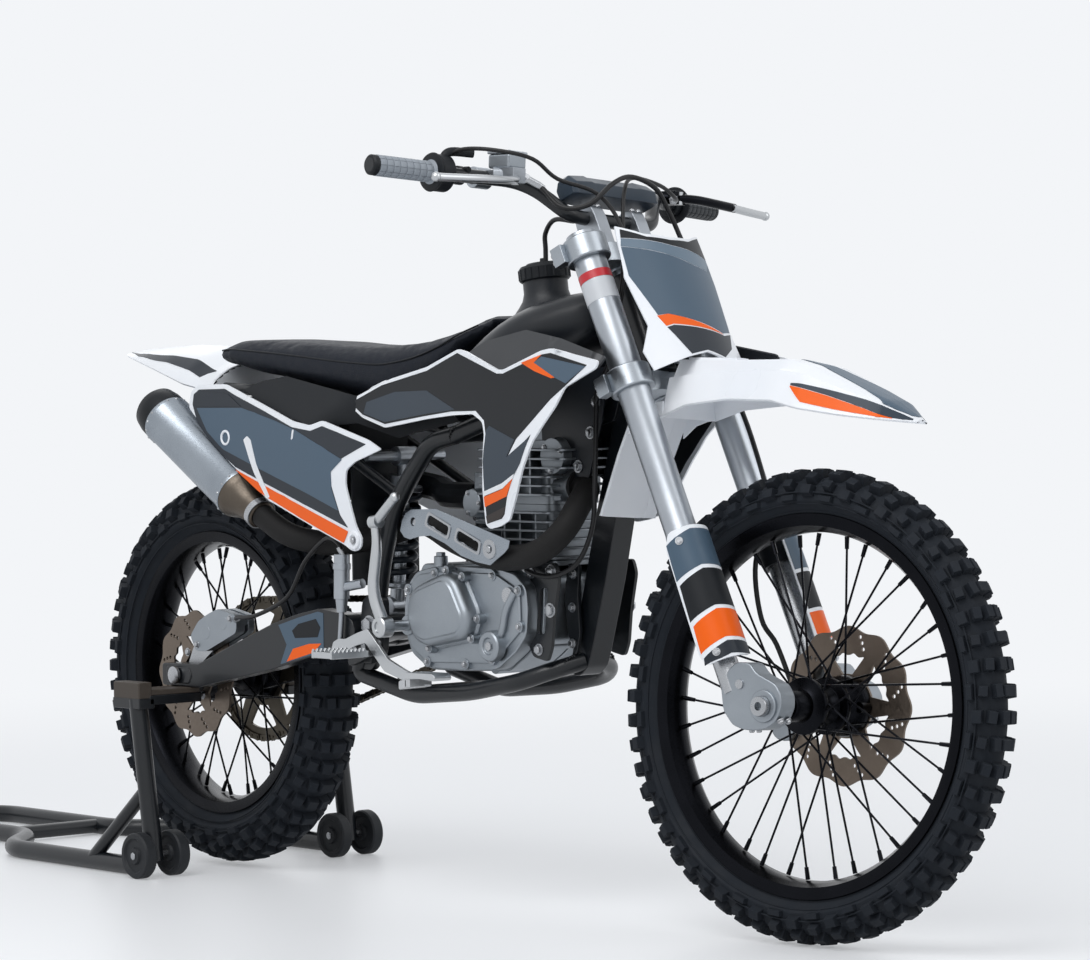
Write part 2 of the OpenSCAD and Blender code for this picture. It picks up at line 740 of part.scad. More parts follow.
module number_plate() {
    color("#e9ecef") place() steering_frame() intersection() {
        translate([-145, 0, -160]) difference() {
            cylinder(h = 260, r = 246, $fn = 96);
            translate([0, 0, -1]) cylinder(h = 262, r = 242, $fn = 96);
        }
        rotate([90, 0, 90]) linear_extrude(200)
            polygon([[-98, 86], [0, 68], [98, 86], [108, 0], [96, -84], [116, -122], [110, -156], [44, -138], [0, -128],
                [-44, -138], [-110, -156], [-116, -122], [-96, -84], [-108, 0]]);
    }
}

bar_bend = [909.6, 255, 1130.7];
bar_rise = [975, 150, 1126];
bar_route = [[bar_end.x, bar_half, bar_end.y], bar_bend, bar_rise, [1018, 98, 1079], [1020, 60, 1076]];

// Point of the right or left bar between its two bends, at a distance from the middle plane
function on_bar(side, y) =
    let (p = bar_bend + (bar_rise - bar_bend) * (bar_bend.y - y) / (bar_bend.y - bar_rise.y)) [p.x, side * p.y, p.z];

module handlebar() {
    color("#1a1b1d") place() steered() difference() {
        pipe(concat(bar_route, mirrored(bar_route)), bar_r, 24, 16, 4);
        for (s = [-1, 1]) {
            a = [bar_end.x, s * bar_half, bar_end.y];
            b = [grip_in.x, s * 285, grip_in.y];
            rod(a + (a - b) * 0.05, a + (b - a) * 0.5, bar_bore_r);
        }
    }
}

module grips() {
    color("#9aa0a6") place() steered() for (s = [-1, 1]) {
        a = [bar_end.x, s * bar_half, bar_end.y];
        b = [grip_in.x, s * 285, grip_in.y];
        difference() {
            union() {
                rod(a, b, grip_r);
                rod(b + (a - b) * 0.06, b - (a - b) * 0.01, 30);
            }
            rod(a + (a - b) * 0.1, b + (b - a) * 0.2, bar_r + 0.3);
        }
    }
}

module bar_pad() {
    color("#2b2e31") place() steered()
        translate([1012, 0, 1112]) rotate([0, -24, 0]) box([-22, -100, -10], [24, 100, 30]);
}

module front_brake_lever() {
    color("#b9bbbc") place() steered() difference() {
        union() {
            box([946, -206, 1146], [990, -166, 1170]);
            box([960, -206, 1118], [1000, -174, 1147]);
            rod(on_bar(-1, 210), on_bar(-1, 176), 17);
            pipe([[986, -182, 1126], [1004, -216, 1122], [1010, -290, 1116], [998, -380, 1112]], 5.5, 20, 10);
        }
        rod(on_bar(-1, 230), on_bar(-1, 150), bar_r + 0.1);
    }
}

module clutch_lever() {
    color("#b9bbbc") place() steered() difference() {
        union() {
            box([956, 180, 1120], [992, 214, 1146]);
            rod(on_bar(1, 212), on_bar(1, 180), 17);
            pipe([[986, 200, 1132], [1000, 232, 1130], [1012, 300, 1126], [1014, 382, 1119]], 5.5, 20, 10);
        }
        rod(on_bar(1, 230), on_bar(1, 160), bar_r + 0.1);
    }
}

module front_caliper() {
    color("#b9bbbc") place() steered() difference() {
        union() {
            plate([[1322, 300], [1318, 352], [1334, 376], [1362, 368], [1366, 318], [1350, 292]], 58, 100);
            plate([[1340, 350], [1340, 322], [1370, 322], [1370, 345]], 82, 92);
        }
        disc([wheelbase, front_axle_z], 73 - rotor_gap, 77 + rotor_gap, 120 + rotor_gap);
    }
}

module brake_hose() {
    color("#121213") place() steering_frame()
        pipe([[4, -170, 203], [12, -150, 186], [30, -141, 142], [62, -116, 131], [90, -77, 157], [98, -37, 168], [98, 11, 154],
            [88, 39, 124], [80, 57, 83],
            [80, 62, 0], [80, 76, -80], [64, 82, -150], [66, 82, -250], [64, 74, -350], [52, 55, -395],
            [12, 54, -450], [-12, 62, -520], [-14, 80, -560], [-14, 84, -624]], 4, 20, 8, 3);
}

// Clutch and throttle cables from the controls to the side of the head tube
module bar_cables() {
    color("#121213") place() steering_frame() {
        pipe([[10, 172, 196], [50, 122, 172], [68, 68, 180], [76, -6, 181], [80, -44, 150], [66, -60, 90],
            [44, -64, 30], [12, -62, -20], [2, -60, -60]], 3.2, 20, 8, 3);
        pipe([[-60, -262, 262], [-24, -254, 258], [20, -236, 234], [52, -200, 206], [44, -146, 182], [66, -92, 150],
            [74, -72, 90], [54, -74, 20], [16, -72, -30], [8, -70, -60]], 3.2, 20, 8, 3);
    }
}

// Clutch cable from the frame beside the head tube to its arm above the right cover, and the tank's vent
module clutch_cable() {
    color("#121213") place() {
        pipe([[1050, -60, 815], [1052, -64, 770], [1060, -75, 675], [1053, -75, 609], [1031, -85, 556],
            [985, -92, 533], [940, -97, 534], [892, -94, 550], [850, -88, 556]], 4, 20, 8, 3);
        pipe([[863, 0, 1019], [863, 0, 1040], [868, -4, 1064], [900, -12, 1084], [948, -14, 1080]], 4, 12, 8, 3);
    }
}

main_frame();
subframe();
crankcase();
engine_covers();
cylinder_barrel();
cylinder_head();
carburettor();
airbox();
exhaust_header();
heat_shield();
silencer();
fuel_tank();
tank_cap();
seat();
shrouds();
side_panels();
rear_fender();
swingarm();
shock_absorber();
chain();
rear_axle();
rear_caliper();
rear_master_cylinder();
brake_pedal();
kick_lever();
gear_lever();
footpegs();
paddock_stand();
clutch_cable();
triple_clamps();
fork_tubes();
fork_legs();
fork_guards();
front_fender();
number_plate();
handlebar();
grips();
bar_pad();
front_brake_lever();
clutch_lever();
front_caliper();
brake_hose();
bar_cables();
front_tyre();
front_rim();
front_hub();
front_disc();
rear_tyre();
rear_rim();
rear_hub();
rear_disc();
rear_sprocket();
stand_wheels_right();
stand_wheels_left();
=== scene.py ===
"""Off-road motorcycle on its paddock stand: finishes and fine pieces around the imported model."""

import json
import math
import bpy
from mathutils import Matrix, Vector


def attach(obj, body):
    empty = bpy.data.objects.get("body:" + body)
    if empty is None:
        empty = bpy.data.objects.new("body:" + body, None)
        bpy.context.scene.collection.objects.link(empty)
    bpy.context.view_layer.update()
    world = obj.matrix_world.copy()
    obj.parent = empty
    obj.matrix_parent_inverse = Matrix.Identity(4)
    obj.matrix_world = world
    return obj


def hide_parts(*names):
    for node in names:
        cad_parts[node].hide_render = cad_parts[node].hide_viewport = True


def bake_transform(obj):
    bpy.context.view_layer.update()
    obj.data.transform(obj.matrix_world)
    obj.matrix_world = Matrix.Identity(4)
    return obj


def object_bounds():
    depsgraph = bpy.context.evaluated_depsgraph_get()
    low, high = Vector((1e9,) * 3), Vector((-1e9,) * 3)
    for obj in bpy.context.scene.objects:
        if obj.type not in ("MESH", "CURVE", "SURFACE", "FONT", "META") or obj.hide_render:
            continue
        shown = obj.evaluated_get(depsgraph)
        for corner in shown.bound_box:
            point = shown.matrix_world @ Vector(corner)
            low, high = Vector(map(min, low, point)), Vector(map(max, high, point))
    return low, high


bl_info = {
    "name": "Off-road Motorcycle",
    "version": (1, 0, 0),
    "blender": (4, 5, 0),
    "location": "View3D > Sidebar > Motorcycle",
    "description": "Builds the bodywork, engine, wheels and finishes of a motorcycle on a paddock stand",
    "category": "Add Mesh",
}

import bmesh
import bpy
from bpy.props import FloatProperty, FloatVectorProperty, IntProperty
from mathutils import Matrix, Vector
from mathutils.geometry import delaunay_2d_cdt

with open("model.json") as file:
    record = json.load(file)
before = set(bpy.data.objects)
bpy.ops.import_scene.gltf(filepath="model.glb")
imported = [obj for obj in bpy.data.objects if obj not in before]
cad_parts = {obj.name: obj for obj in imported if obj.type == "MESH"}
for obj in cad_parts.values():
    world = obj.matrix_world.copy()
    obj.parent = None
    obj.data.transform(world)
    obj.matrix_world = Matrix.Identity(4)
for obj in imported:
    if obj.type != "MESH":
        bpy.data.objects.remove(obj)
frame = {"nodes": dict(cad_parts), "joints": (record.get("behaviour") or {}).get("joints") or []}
CAD_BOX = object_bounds()
NODES = frame["nodes"]
JOINTS = {joint["name"]: joint for joint in frame["joints"]}

# ---- the bike's own frame, in millimetres: x from the rear axle, y to the left, z from the floor ----
STEER = Vector((1076.0, 0.0, 946.0))
RAKE = math.radians(26)
PARKED = math.radians(9)
WHEELBASE = 1450.0
FRONT_R, FRONT_HALF = 350.0, 42.0
REAR_R, REAR_HALF = 330.0, 55.0
REAR_AXLE_Z = 335.0
FORK_OFFSET, FORK_HALF = 22.0, 105.0

MOVE = Matrix.Translation(Vector(JOINTS["steering"]["pos_m"]) - STEER / 1000)
BIKE = MOVE @ Matrix.Scale(0.001, 4)
TILT = Matrix.Rotation(-RAKE, 4, "Y")
TO_STEER = Matrix.Translation(STEER) @ TILT
# drawn with the fork straight, turned to where it is parked
FORK = BIKE @ TO_STEER @ Matrix.Rotation(PARKED, 4, "Z") @ TO_STEER.inverted()
# drawn along the steering axis, with its origin on that axis
ALONG = BIKE @ TO_STEER @ Matrix.Rotation(PARKED, 4, "Z")
ACROSS = Matrix.Rotation(math.radians(-90), 4, "X")
FRONT_WHEEL = FORK @ Matrix.Translation((WHEELBASE, 0, FRONT_R)) @ ACROSS
REAR_WHEEL = BIKE @ Matrix.Translation((0, 0, REAR_AXLE_Z)) @ ACROSS


# ---- materials ----
def linear(text, alpha=1.0):
    """An sRGB hex colour as linear values; a setting's colour is linear already."""
    if not isinstance(text, str):
        return tuple(text[:3]) + (alpha,)
    values = [int(text[i:i + 2], 16) / 255 for i in (1, 3, 5)]
    return tuple(v / 12.92 if v <= 0.04045 else ((v + 0.055) / 1.055) ** 2.4 for v in values) + (alpha,)


def add(tree, kind, inputs=None, **settings):
    """Adds a shader node with its settings, and its inputs' values or links."""
    made = tree.nodes.new(kind)
    for name, value in settings.items():
        setattr(made, name, value)
    for name, value in (inputs or {}).items():
        if isinstance(value, bpy.types.NodeSocket):
            tree.links.new(value, made.inputs[name])
        else:
            made.inputs[name].default_value = value
    return made


# slot and material of the finishes that most pieces share
ZINC = ("bright_aluminium", "zinc_plated_steel")
WHITE = ("white_plastic", "white_polypropylene")
NYLON = ("black_plastic", "black_nylon")
MOULDED = ("black_plastic", "black_polyethylene")
ENAMEL = ("frame_black", "black_enamel")
CAST = ("cast_aluminium", "cast_aluminium")
FORGED = ("forged_aluminium", "forged_aluminium")
ANODISED = ("wheel_black", "black_anodised")

MATERIALS = {}


def start(name, **surface):
    """A new material with its tree, its surface shader and Object coordinates."""
    material = bpy.data.materials.new(name)
    material.use_nodes = True
    tree = material.node_tree
    shader = tree.nodes["Principled BSDF"]
    for key, value in surface.items():
        shader.inputs[key.replace("_", " ")].default_value = value
    where = add(tree, "ShaderNodeTexCoord").outputs["Object"]
    MATERIALS[name] = material
    return tree, shader, where


def grain(tree, where, scale, strength, distance, shader, detail=4.0, stretch=(1, 1, 1)):
    """Fine relief from noise, with its scale in features to the metre."""
    spot = add(tree, "ShaderNodeMapping", {"Vector": where, "Scale": stretch}).outputs["Vector"]
    noise = add(tree, "ShaderNodeTexNoise", {"Vector": spot, "Scale": scale, "Detail": detail})
    bump = add(tree, "ShaderNodeBump", {"Height": noise.outputs["Fac"], "Strength": strength,
                                        "Distance": distance})
    tree.links.new(bump.outputs["Normal"], shader.inputs["Normal"])
    return noise.outputs["Fac"]


def vary(tree, fac, low, high, socket):
    """Runs a number between two values with a pattern."""
    span = add(tree, "ShaderNodeMapRange", {"Value": fac, "From Min": 0.3, "From Max": 0.7,
                                            "To Min": low, "To Max": high})
    tree.links.new(span.outputs["Result"], socket)


def tint(tree, fac, dark, light, socket):
    """Runs a colour between two hex colours with a pattern."""
    mix = add(tree, "ShaderNodeMix", {"Factor": fac}, data_type="RGBA")
    mix.inputs["A"].default_value = linear(dark)
    mix.inputs["B"].default_value = linear(light)
    tree.links.new(mix.outputs["Result"], socket)


def plastic(name, colour, other, rough, grit=900.0, shine=0.5):
    """Injection-moulded plastic: even colour, faint flow marks, soft sheen."""
    tree, shader, where = start(name, IOR=1.5, Specular_IOR_Level=shine)
    cloud = add(tree, "ShaderNodeTexNoise", {"Vector": where, "Scale": 7.0, "Detail": 3.0}).outputs["Fac"]
    tint(tree, cloud, colour, other, shader.inputs["Base Color"])
    vary(tree, cloud, rough - 0.04, rough + 0.05, shader.inputs["Roughness"])
    grain(tree, where, grit, 0.12, 0.0004, shader)


def metal(name, colour, other, rough, grit, strength, stretch=(1, 1, 1), spread=0.08):
    """Bare or clear-coated metal: tone and roughness drift with its surface marks."""
    tree, shader, where = start(name, Metallic=1.0)
    marks = grain(tree, where, grit, strength, 0.0005, shader, 5.0, stretch)
    cloud = add(tree, "ShaderNodeTexNoise", {"Vector": where, "Scale": 18.0,
                                             "Detail": 4.0}).outputs["Fac"]
    tint(tree, cloud, colour, other, shader.inputs["Base Color"])
    vary(tree, marks, rough - spread, rough + spread, shader.inputs["Roughness"])


def make_materials(paint):
    """The finishes that all the pieces share; paint holds the colours that can be set."""
    # polypropylene, gloss white, slightly cool
    plastic("white_polypropylene", paint.white, "#f1f3f6", 0.3)
    # printed vinyl film in slate grey, dark grey, black and orange, semi-gloss
    plastic("slate_film", paint.slate, "#495c6d", 0.36, shine=0.3)
    plastic("charcoal_film", paint.charcoal, "#252b33", 0.36, shine=0.28)
    plastic("black_film", "#0b0e13", "#12161b", 0.34, shine=0.22)
    # painted shade: a darker copy of the grey grip rubber for the left grip, which stands in shade
    plastic("dark_grip_rubber", "#1d2125", "#272c31", 0.5, shine=0.4)
    plastic("slate_dark_film", "#2c3641", "#333e49", 0.36, shine=0.28)
    plastic("slate_pale_film", "#566a7b", "#5f7384", 0.33)
    plastic("dark_film", "#2c2523", "#342c29", 0.36, shine=0.25)
    plastic("orange_film", paint.orange, "#f2650a", 0.36, shine=0.25)
    plastic("white_film", "#dfe2e6", "#eceef1", 0.32)
    # blow-moulded polyethylene and nylon mouldings, satin black with a fine grain
    plastic("black_polyethylene", "#10141a", "#161b22", 0.4, 1400.0, 0.4)
    plastic("black_nylon", "#0d1014", "#14181d", 0.5, 1600.0, 0.25)
    plastic("grey_rubber", paint.grip, "#949ba3", 0.55, 1500.0)
    plastic("cable_sheath", "#0a0a0c", "#101013", 0.42, 1500.0, 0.35)
    # baked enamel over steel tube: black, with slight orange peel
    tree, shader, where = start("black_enamel", IOR=1.5, Specular_IOR_Level=0.35, Coat_Weight=0.2,
                                Coat_Roughness=0.12)
    peel = grain(tree, where, 420.0, 0.1, 0.0005, shader)
    tint(tree, peel, "#0b0e12", "#13171c", shader.inputs["Base Color"])
    vary(tree, peel, 0.3, 0.42, shader.inputs["Roughness"])
    # sand-cast aluminium, shot blasted: pale grey with a fine pebbled skin
    metal("cast_aluminium", "#8d9399", "#a1a7ad", 0.44, 900.0, 0.14)
    metal("dark_cast_aluminium", "#868b90", "#9a9fa4", 0.46, 900.0, 0.2)
    # machined and clear anodised clamps
    metal("machined_aluminium", "#9aa0a6", "#acb2b8", 0.34, 600.0, 0.05)
    # brushed aluminium: fine parallel marks along the tube
    metal("brushed_aluminium", "#8a9199", "#a0a7ae", 0.32, 160.0, 0.16, (1.0, 1.0, 9.0))
    # bead-blasted and clear anodised aluminium: pale satin
    metal("anodised_aluminium", "#9da2a8", "#b0b5bb", 0.36, 1300.0, 0.12)
    # forged and tumbled aluminium, bright
    metal("forged_aluminium", "#b9bcbe", "#c4c6c8", 0.32, 260.0, 0.0, spread=0.03)
    metal("zinc_plated_steel", "#9c9ea1", "#babcbf", 0.3, 700.0, 0.12)
    # ground stainless steel, warm from heat, with turning marks
    metal("ground_stainless", "#665c53", "#7d7268", 0.4, 240.0, 0.1)
    metal("chain_steel", "#4b463f", "#6a645a", 0.42, 500.0, 0.25)
    metal("heated_steel", "#4b443d", "#6e665d", 0.4, 260.0, 0.2)
    # black anodised rims, hubs and spokes: dark, satin, metallic
    metal("black_anodised", "#131417", "#1d1e22", 0.3, 900.0, 0.1)
    # matt heat-proof paint
    tree, shader, where = start("heatproof_black", IOR=1.5, Specular_IOR_Level=0.25)
    soot = grain(tree, where, 800.0, 0.3, 0.0006, shader)
    tint(tree, soot, "#101011", "#1c1b1b", shader.inputs["Base Color"])
    vary(tree, soot, 0.6, 0.75, shader.inputs["Roughness"])
    # carbon-black tyre rubber: dull, with a dusty tone that varies at random
    tree, shader, where = start("tyre_rubber", IOR=1.5, Specular_IOR_Level=0.22)
    dust = add(tree, "ShaderNodeTexNoise", {"Vector": where, "Scale": 26.0, "Detail": 6.0}).outputs["Fac"]
    tint(tree, dust, "#14181e", "#20252c", shader.inputs["Base Color"])
    vary(tree, dust, 0.62, 0.85, shader.inputs["Roughness"])
    grain(tree, where, 520.0, 0.35, 0.0008, shader)
    # leather-grained vinyl
    tree, shader, where = start("seat_vinyl", IOR=1.5, Specular_IOR_Level=0.25)
    pores = add(tree, "ShaderNodeTexVoronoi", {"Vector": where, "Scale": 420.0}, feature="F1")
    fine = add(tree, "ShaderNodeTexNoise", {"Vector": where, "Scale": 90.0, "Detail": 6.0}).outputs["Fac"]
    bump = add(tree, "ShaderNodeBump", {"Height": pores.outputs["Distance"], "Strength": 0.35,
                                        "Distance": 0.0008})
    tree.links.new(bump.outputs["Normal"], shader.inputs["Normal"])
    tint(tree, fine, "#11151d", "#191e28", shader.inputs["Base Color"])
    vary(tree, fine, 0.52, 0.68, shader.inputs["Roughness"])
    # moulded wheel rubber and the brown pad on the stand
    plastic("wheel_rubber", "#1d1f22", "#282b2f", 0.6, 900.0, 0.3)
    plastic("brown_pad", "#3c3630", "#4a423b", 0.55, 500.0, 0.35)
    # printed band: pale grey, and red
    plastic("label_film", "#bfc3c8", "#c9ccd0", 0.4)
    plastic("red_film", "#b3202a", "#c02a33", 0.35)


# ---- mesh helpers: everything is drawn in millimetres ----
def bmesh_rod(bm, a, b, r, sides=20, r2=None):
    """Round bar from a to b."""
    a, b = Vector(a), Vector(b)
    turn = (b - a).to_track_quat("Z", "Y").to_matrix().to_4x4()
    return bmesh.ops.create_cone(
        bm, cap_ends=True, segments=sides, radius1=r, radius2=r if r2 is None else r2,
        depth=(b - a).length,
        matrix=Matrix.Translation((a + b) / 2) @ turn)["verts"]


def bmesh_box(bm, lo, hi):
    """Upright block between two corners."""
    lo, hi = Vector(lo), Vector(hi)
    size = Matrix.Diagonal((*(hi - lo), 1.0))
    return bmesh.ops.create_cube(bm, size=1.0, matrix=Matrix.Translation((lo + hi) / 2) @ size)["verts"]


def bmesh_side_box(bm, side, xs, ys, zs):
    """Upright block between two values of x, y and z, on the left for a side of 1 and on the right for -1."""
    near, far = sorted((side * ys[0], side * ys[1]))
    return bmesh_box(bm, (xs[0], near, zs[0]), (xs[1], far, zs[1]))


def bmesh_lathe(bm, profile, matrix=None, steps=64, closed=False):
    """Turns a profile of (radius, place along z) about z."""
    matrix = matrix or Matrix()
    verts = [bm.verts.new(matrix @ Vector((r, 0, z))) for r, z in profile]
    pairs = list(zip(verts, verts[1:])) + ([(verts[-1], verts[0])] if closed else [])
    edges = [bm.edges.new(pair) for pair in pairs]
    axis = (matrix.to_3x3() @ Vector((0, 0, 1))).normalized()
    bmesh.ops.spin(
        bm, geom=verts + edges, angle=math.tau, steps=steps, axis=axis, cent=matrix.translation,
        use_merge=True)


def rounded(points, cut=30.0, steps=5):
    """A route with its inner corners rounded."""
    points = [Vector(p) for p in points]
    out = [points[0]]
    for a, b, c in zip(points, points[1:], points[2:]):
        reach = min(cut, (a - b).length * 0.49, (c - b).length * 0.49)
        p, q = b + (a - b).normalized() * reach, b + (c - b).normalized() * reach
        for i in range(steps + 1):
            t = i / steps
            out.append(p * (1 - t) ** 2 + b * 2 * t * (1 - t) + q * t * t)
    return out + [points[-1]]


def smooth_route(points, steps=6):
    """A smooth curve through a few points."""
    p = [Vector(v) for v in points]
    p = [2 * p[0] - p[1]] + p + [2 * p[-1] - p[-2]]
    out = []
    for a, b, c, d in zip(p, p[1:], p[2:], p[3:]):
        for i in range(steps):
            t = i / steps
            square = (2 * a - 5 * b + 4 * c - d) * t * t
            cube = (3 * b - a - 3 * c + d) * t ** 3
            out.append(0.5 * (2 * b + (c - a) * t + square + cube))
    return out + [p[-2]]


def bmesh_pipe(bm, route, radius, sides=16, close=True):
    """Sweeps a circle along a route by extruding its ring from station to station."""
    tangents = [(route[min(i + 1, len(route) - 1)] - route[max(i - 1,
                                                               0)]).normalized() for i in range(len(route))]
    side = tangents[0].orthogonal().normalized()
    angles = [math.tau * k / sides for k in range(sides)]
    ring = first = None
    for i, (at, along) in enumerate(zip(route, tangents)):
        side = (side - along * side.dot(along)).normalized()
        up = along.cross(side)
        r = radius[i] if isinstance(radius, (list, tuple)) else radius
        ring = next_ring(bm, ring, [at + r * (math.cos(a) * side + math.sin(a) * up) for a in angles])
        first = first or ring
    if close:
        bmesh.ops.contextual_create(bm, geom=first)
        bmesh.ops.contextual_create(bm, geom=ring)
    return ring


def next_ring(bm, ring, spots, closed=True):
    """Starts a ring of vertices, or extrudes the last ring's edges to the next place."""
    if ring is None:
        made = [bm.verts.new(p) for p in spots]
        pairs = list(zip(made, made[1:])) + ([(made[-1], made[0])] if closed else [])
        for pair in pairs:
            bm.edges.new(pair)
        return made
    pairs = list(zip(ring, ring[1:])) + ([(ring[-1], ring[0])] if closed else [])
    edges = [bm.edges.get(pair) for pair in pairs]
    new = bmesh.ops.extrude_edge_only(bm, edges=edges)["geom"]
    fresh = {v for v in new if isinstance(v, bmesh.types.BMVert)}
    follow = []
    for v in ring:
        follow.append(next(e.other_vert(v) for e in v.link_edges if e.other_vert(v) in fresh))
    for v, p in zip(follow, spots):
        v.co = p
    return follow


def bmesh_loft(bm, sections, close=True):
    """Skin through closed sections that all have the same number of points."""
    ring = first = None
    for section in sections:
        ring = next_ring(bm, ring, [Vector(p) for p in section])
        first = first or ring
    if close:
        bmesh.ops.contextual_create(bm, geom=first)
        bmesh.ops.contextual_create(bm, geom=ring)


def bmesh_plate(bm, outline, low, high, place=lambda u, v, h: (u, h, v)):
    """Flat plate with its outline in x and z, between two values of y."""
    verts = [bm.verts.new(place(u, v, low)) for u, v in outline]
    face = bm.faces.new(verts)
    out = bmesh.ops.extrude_face_region(bm, geom=[face])["geom"]
    shift = Vector(place(0, 0, high)) - Vector(place(0, 0, low))
    bmesh.ops.translate(bm, vec=shift, verts=[g for g in out if isinstance(g, bmesh.types.BMVert)])


def bmesh_bolt(bm, at, along, r=6.0, height=5.0):
    """Flanged hexagon head standing on a surface."""
    at, along = Vector(at), Vector(along).normalized()
    bmesh_rod(bm, at - along * 0.5, at + along * 1.6, r * 1.45, 20)
    bmesh_rod(bm, at + along * 1.6, at + along * height, r * 1.12, 6)
    bmesh_rod(bm, at + along * height, at + along * (height + 0.8), r * 0.95, 12, r * 0.75)


def level(u, v, h):
    """Places an outline in x and y, and its thickness along z."""
    return (u, v, h)


def round_corners(outline, cut=6.0, steps=3):
    """A closed flat outline with small round corners."""
    p = [Vector((u, v, 0)) for u, v in outline]
    out = []
    for a, b, c in zip(p[-1:] + p[:-1], p, p[1:] + p[:1]):
        reach = min(cut, (a - b).length * 0.45, (c - b).length * 0.45)
        s, e = b + (a - b).normalized() * reach, b + (c - b).normalized() * reach
        for i in range(steps + 1):
            t = i / steps
            q = s * (1 - t) ** 2 + b * 2 * t * (1 - t) + e * t * t
            out.append((q.x, q.y))
    return out


def inside(p, outline):
    """Whether a flat point lies inside a closed outline."""
    hit = False
    for (x1, y1), (x2, y2) in zip(outline, outline[1:] + outline[:1]):
        if (y1 > p[1]) != (y2 > p[1]) and p[0] < (x2 - x1) * (p[1] - y1) / (y2 - y1) + x1:
            hit = not hit
    return hit


def edge_gap(p, outline):
    """Distance from a flat point to a closed outline."""
    best = 1e9
    q = Vector(p)
    for a, b in zip(outline, outline[1:] + outline[:1]):
        a, b = Vector(a), Vector(b)
        t = max(0.0, min(1.0, (q - a).dot(b - a) / max((b - a).length_squared, 1e-9)))
        best = min(best, (q - (a + (b - a) * t)).length)
    return best


def bmesh_panel(bm, outline, surface, thick, spacing=14.0, lift=0.0, holes=(), facing=(0, 0, 1)):
    """Curved sheet: an outline laid on surface(u, v), its outer face towards facing, thickened inwards."""
    loops = [list(outline)] + [list(h) for h in holes]
    verts, edges = [], []
    for loop in loops:
        fine = []
        for a, b in zip(loop, loop[1:] + loop[:1]):
            n = max(1, int((Vector(b) - Vector(a)).length / spacing))
            fine += [(a[0] + (b[0] - a[0]) * i / n, a[1] + (b[1] - a[1]) * i / n) for i in range(n)]
        base = len(verts)
        verts += [Vector(p) for p in fine]
        edges += [(base + i, base + (i + 1) % len(fine)) for i in range(len(fine))]
    lo = [min(p[i] for p in outline) for i in (0, 1)]
    hi = [max(p[i] for p in outline) for i in (0, 1)]
    rows = int((hi[1] - lo[1]) / (spacing * 0.87)) + 1
    for j in range(1, rows):
        for i in range(int((hi[0] - lo[0]) / spacing) + 2):
            p = (lo[0] + (i + 0.5 * (j % 2)) * spacing, lo[1] + j * spacing * 0.87)
            if inside(p, loops[0]) and not any(inside(p, h) for h in loops[1:]):
                if min(edge_gap(p, loop) for loop in loops) > spacing * 0.4:
                    verts.append(Vector(p))
    points, _, faces, *_ = delaunay_2d_cdt(verts, edges, [], 0, 1e-4)
    made = [bm.verts.new(surface(p.x, p.y)) for p in points]
    kept = []
    for f in faces:
        middle = (sum(points[i].x for i in f) / 3, sum(points[i].y for i in f) / 3)
        if inside(middle, loops[0]) and not any(inside(middle, h) for h in loops[1:]):
            kept.append(bm.faces.new([made[i] for i in f]))
    loose = [v for v in made if not v.link_faces]
    bmesh.ops.delete(bm, geom=loose, context="VERTS")
    made = [v for v in made if v.is_valid]
    bmesh.ops.recalc_face_normals(bm, faces=kept)
    way = sum((f.normal * f.calc_area() for f in kept), Vector())
    if way.dot(Vector(facing)) < 0:
        bmesh.ops.reverse_faces(bm, faces=kept)
    for v in made:
        v.normal_update()
    if lift:
        for v, n in [(v, v.normal.copy()) for v in made]:
            v.co += n * lift
    bmesh.ops.solidify(bm, geom=kept, thickness=thick)
    return made


def finish_mesh(bm, name, matrix, body, slot, materials, replaces=(), sharp=38.0, bevel=0.0, segments=2,
                subdivide=0):
    """Turns a drawing into a finished piece that rides on a body."""
    bmesh.ops.remove_doubles(bm, verts=bm.verts, dist=0.002)
    bmesh.ops.recalc_face_normals(bm, faces=bm.faces)
    bm.transform(matrix)
    if matrix.determinant() < 0:
        bmesh.ops.reverse_faces(bm, faces=bm.faces)
    limit = math.radians(sharp)
    for face in bm.faces:
        face.smooth = True
    for edge in bm.edges:
        if len(edge.link_faces) == 2 and edge.calc_face_angle(0.0) > limit:
            edge.smooth = False
    mesh = bpy.data.meshes.new(name)
    bm.to_mesh(mesh)
    bm.free()
    piece = bpy.data.objects.new(name, mesh)
    bpy.context.scene.collection.objects.link(piece)
    for material in [materials] if isinstance(materials, str) else materials:
        mesh.materials.append(MATERIALS[material])
    if bevel:
        mod = piece.modifiers.new("Bevel", "BEVEL")
        mod.width = bevel / 1000
        mod.segments = segments
        mod.limit_method = "ANGLE"
        mod.angle_limit = limit
        mod.use_clamp_overlap = True
        mod.harden_normals = True
    if subdivide:
        mod = piece.modifiers.new("Subdivision", "SUBSURF")
        mod.levels = mod.render_levels = subdivide
    if body:
        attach(piece, body)
    if replaces:
        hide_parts(*replaces)
    return piece


def on_chassis(bm, name, *finish):
    """Finishes a piece of the chassis, drawn in the bike's own frame."""
    return finish_mesh(bm, name, BIKE, "chassis", *finish)


def on_fork(bm, name, *finish):
    """Finishes a piece that steers, drawn with the fork straight."""
    return finish_mesh(bm, name, FORK, "fork", *finish)


def on_stem(bm, name, *finish):
    """Finishes a piece that steers, drawn along the steering axis."""
    return finish_mesh(bm, name, ALONG, "fork", *finish)


def mirrored(bm):
    """Adds the other side of what is drawn, across the middle plane."""
    made = bmesh.ops.duplicate(bm, geom=bm.verts[:] + bm.edges[:] + bm.faces[:])["geom"]
    verts = [g for g in made if isinstance(g, bmesh.types.BMVert)]
    bmesh.ops.scale(bm, vec=(1, -1, 1), verts=verts)
    bmesh.ops.reverse_faces(bm, faces=[g for g in made if isinstance(g, bmesh.types.BMFace)])


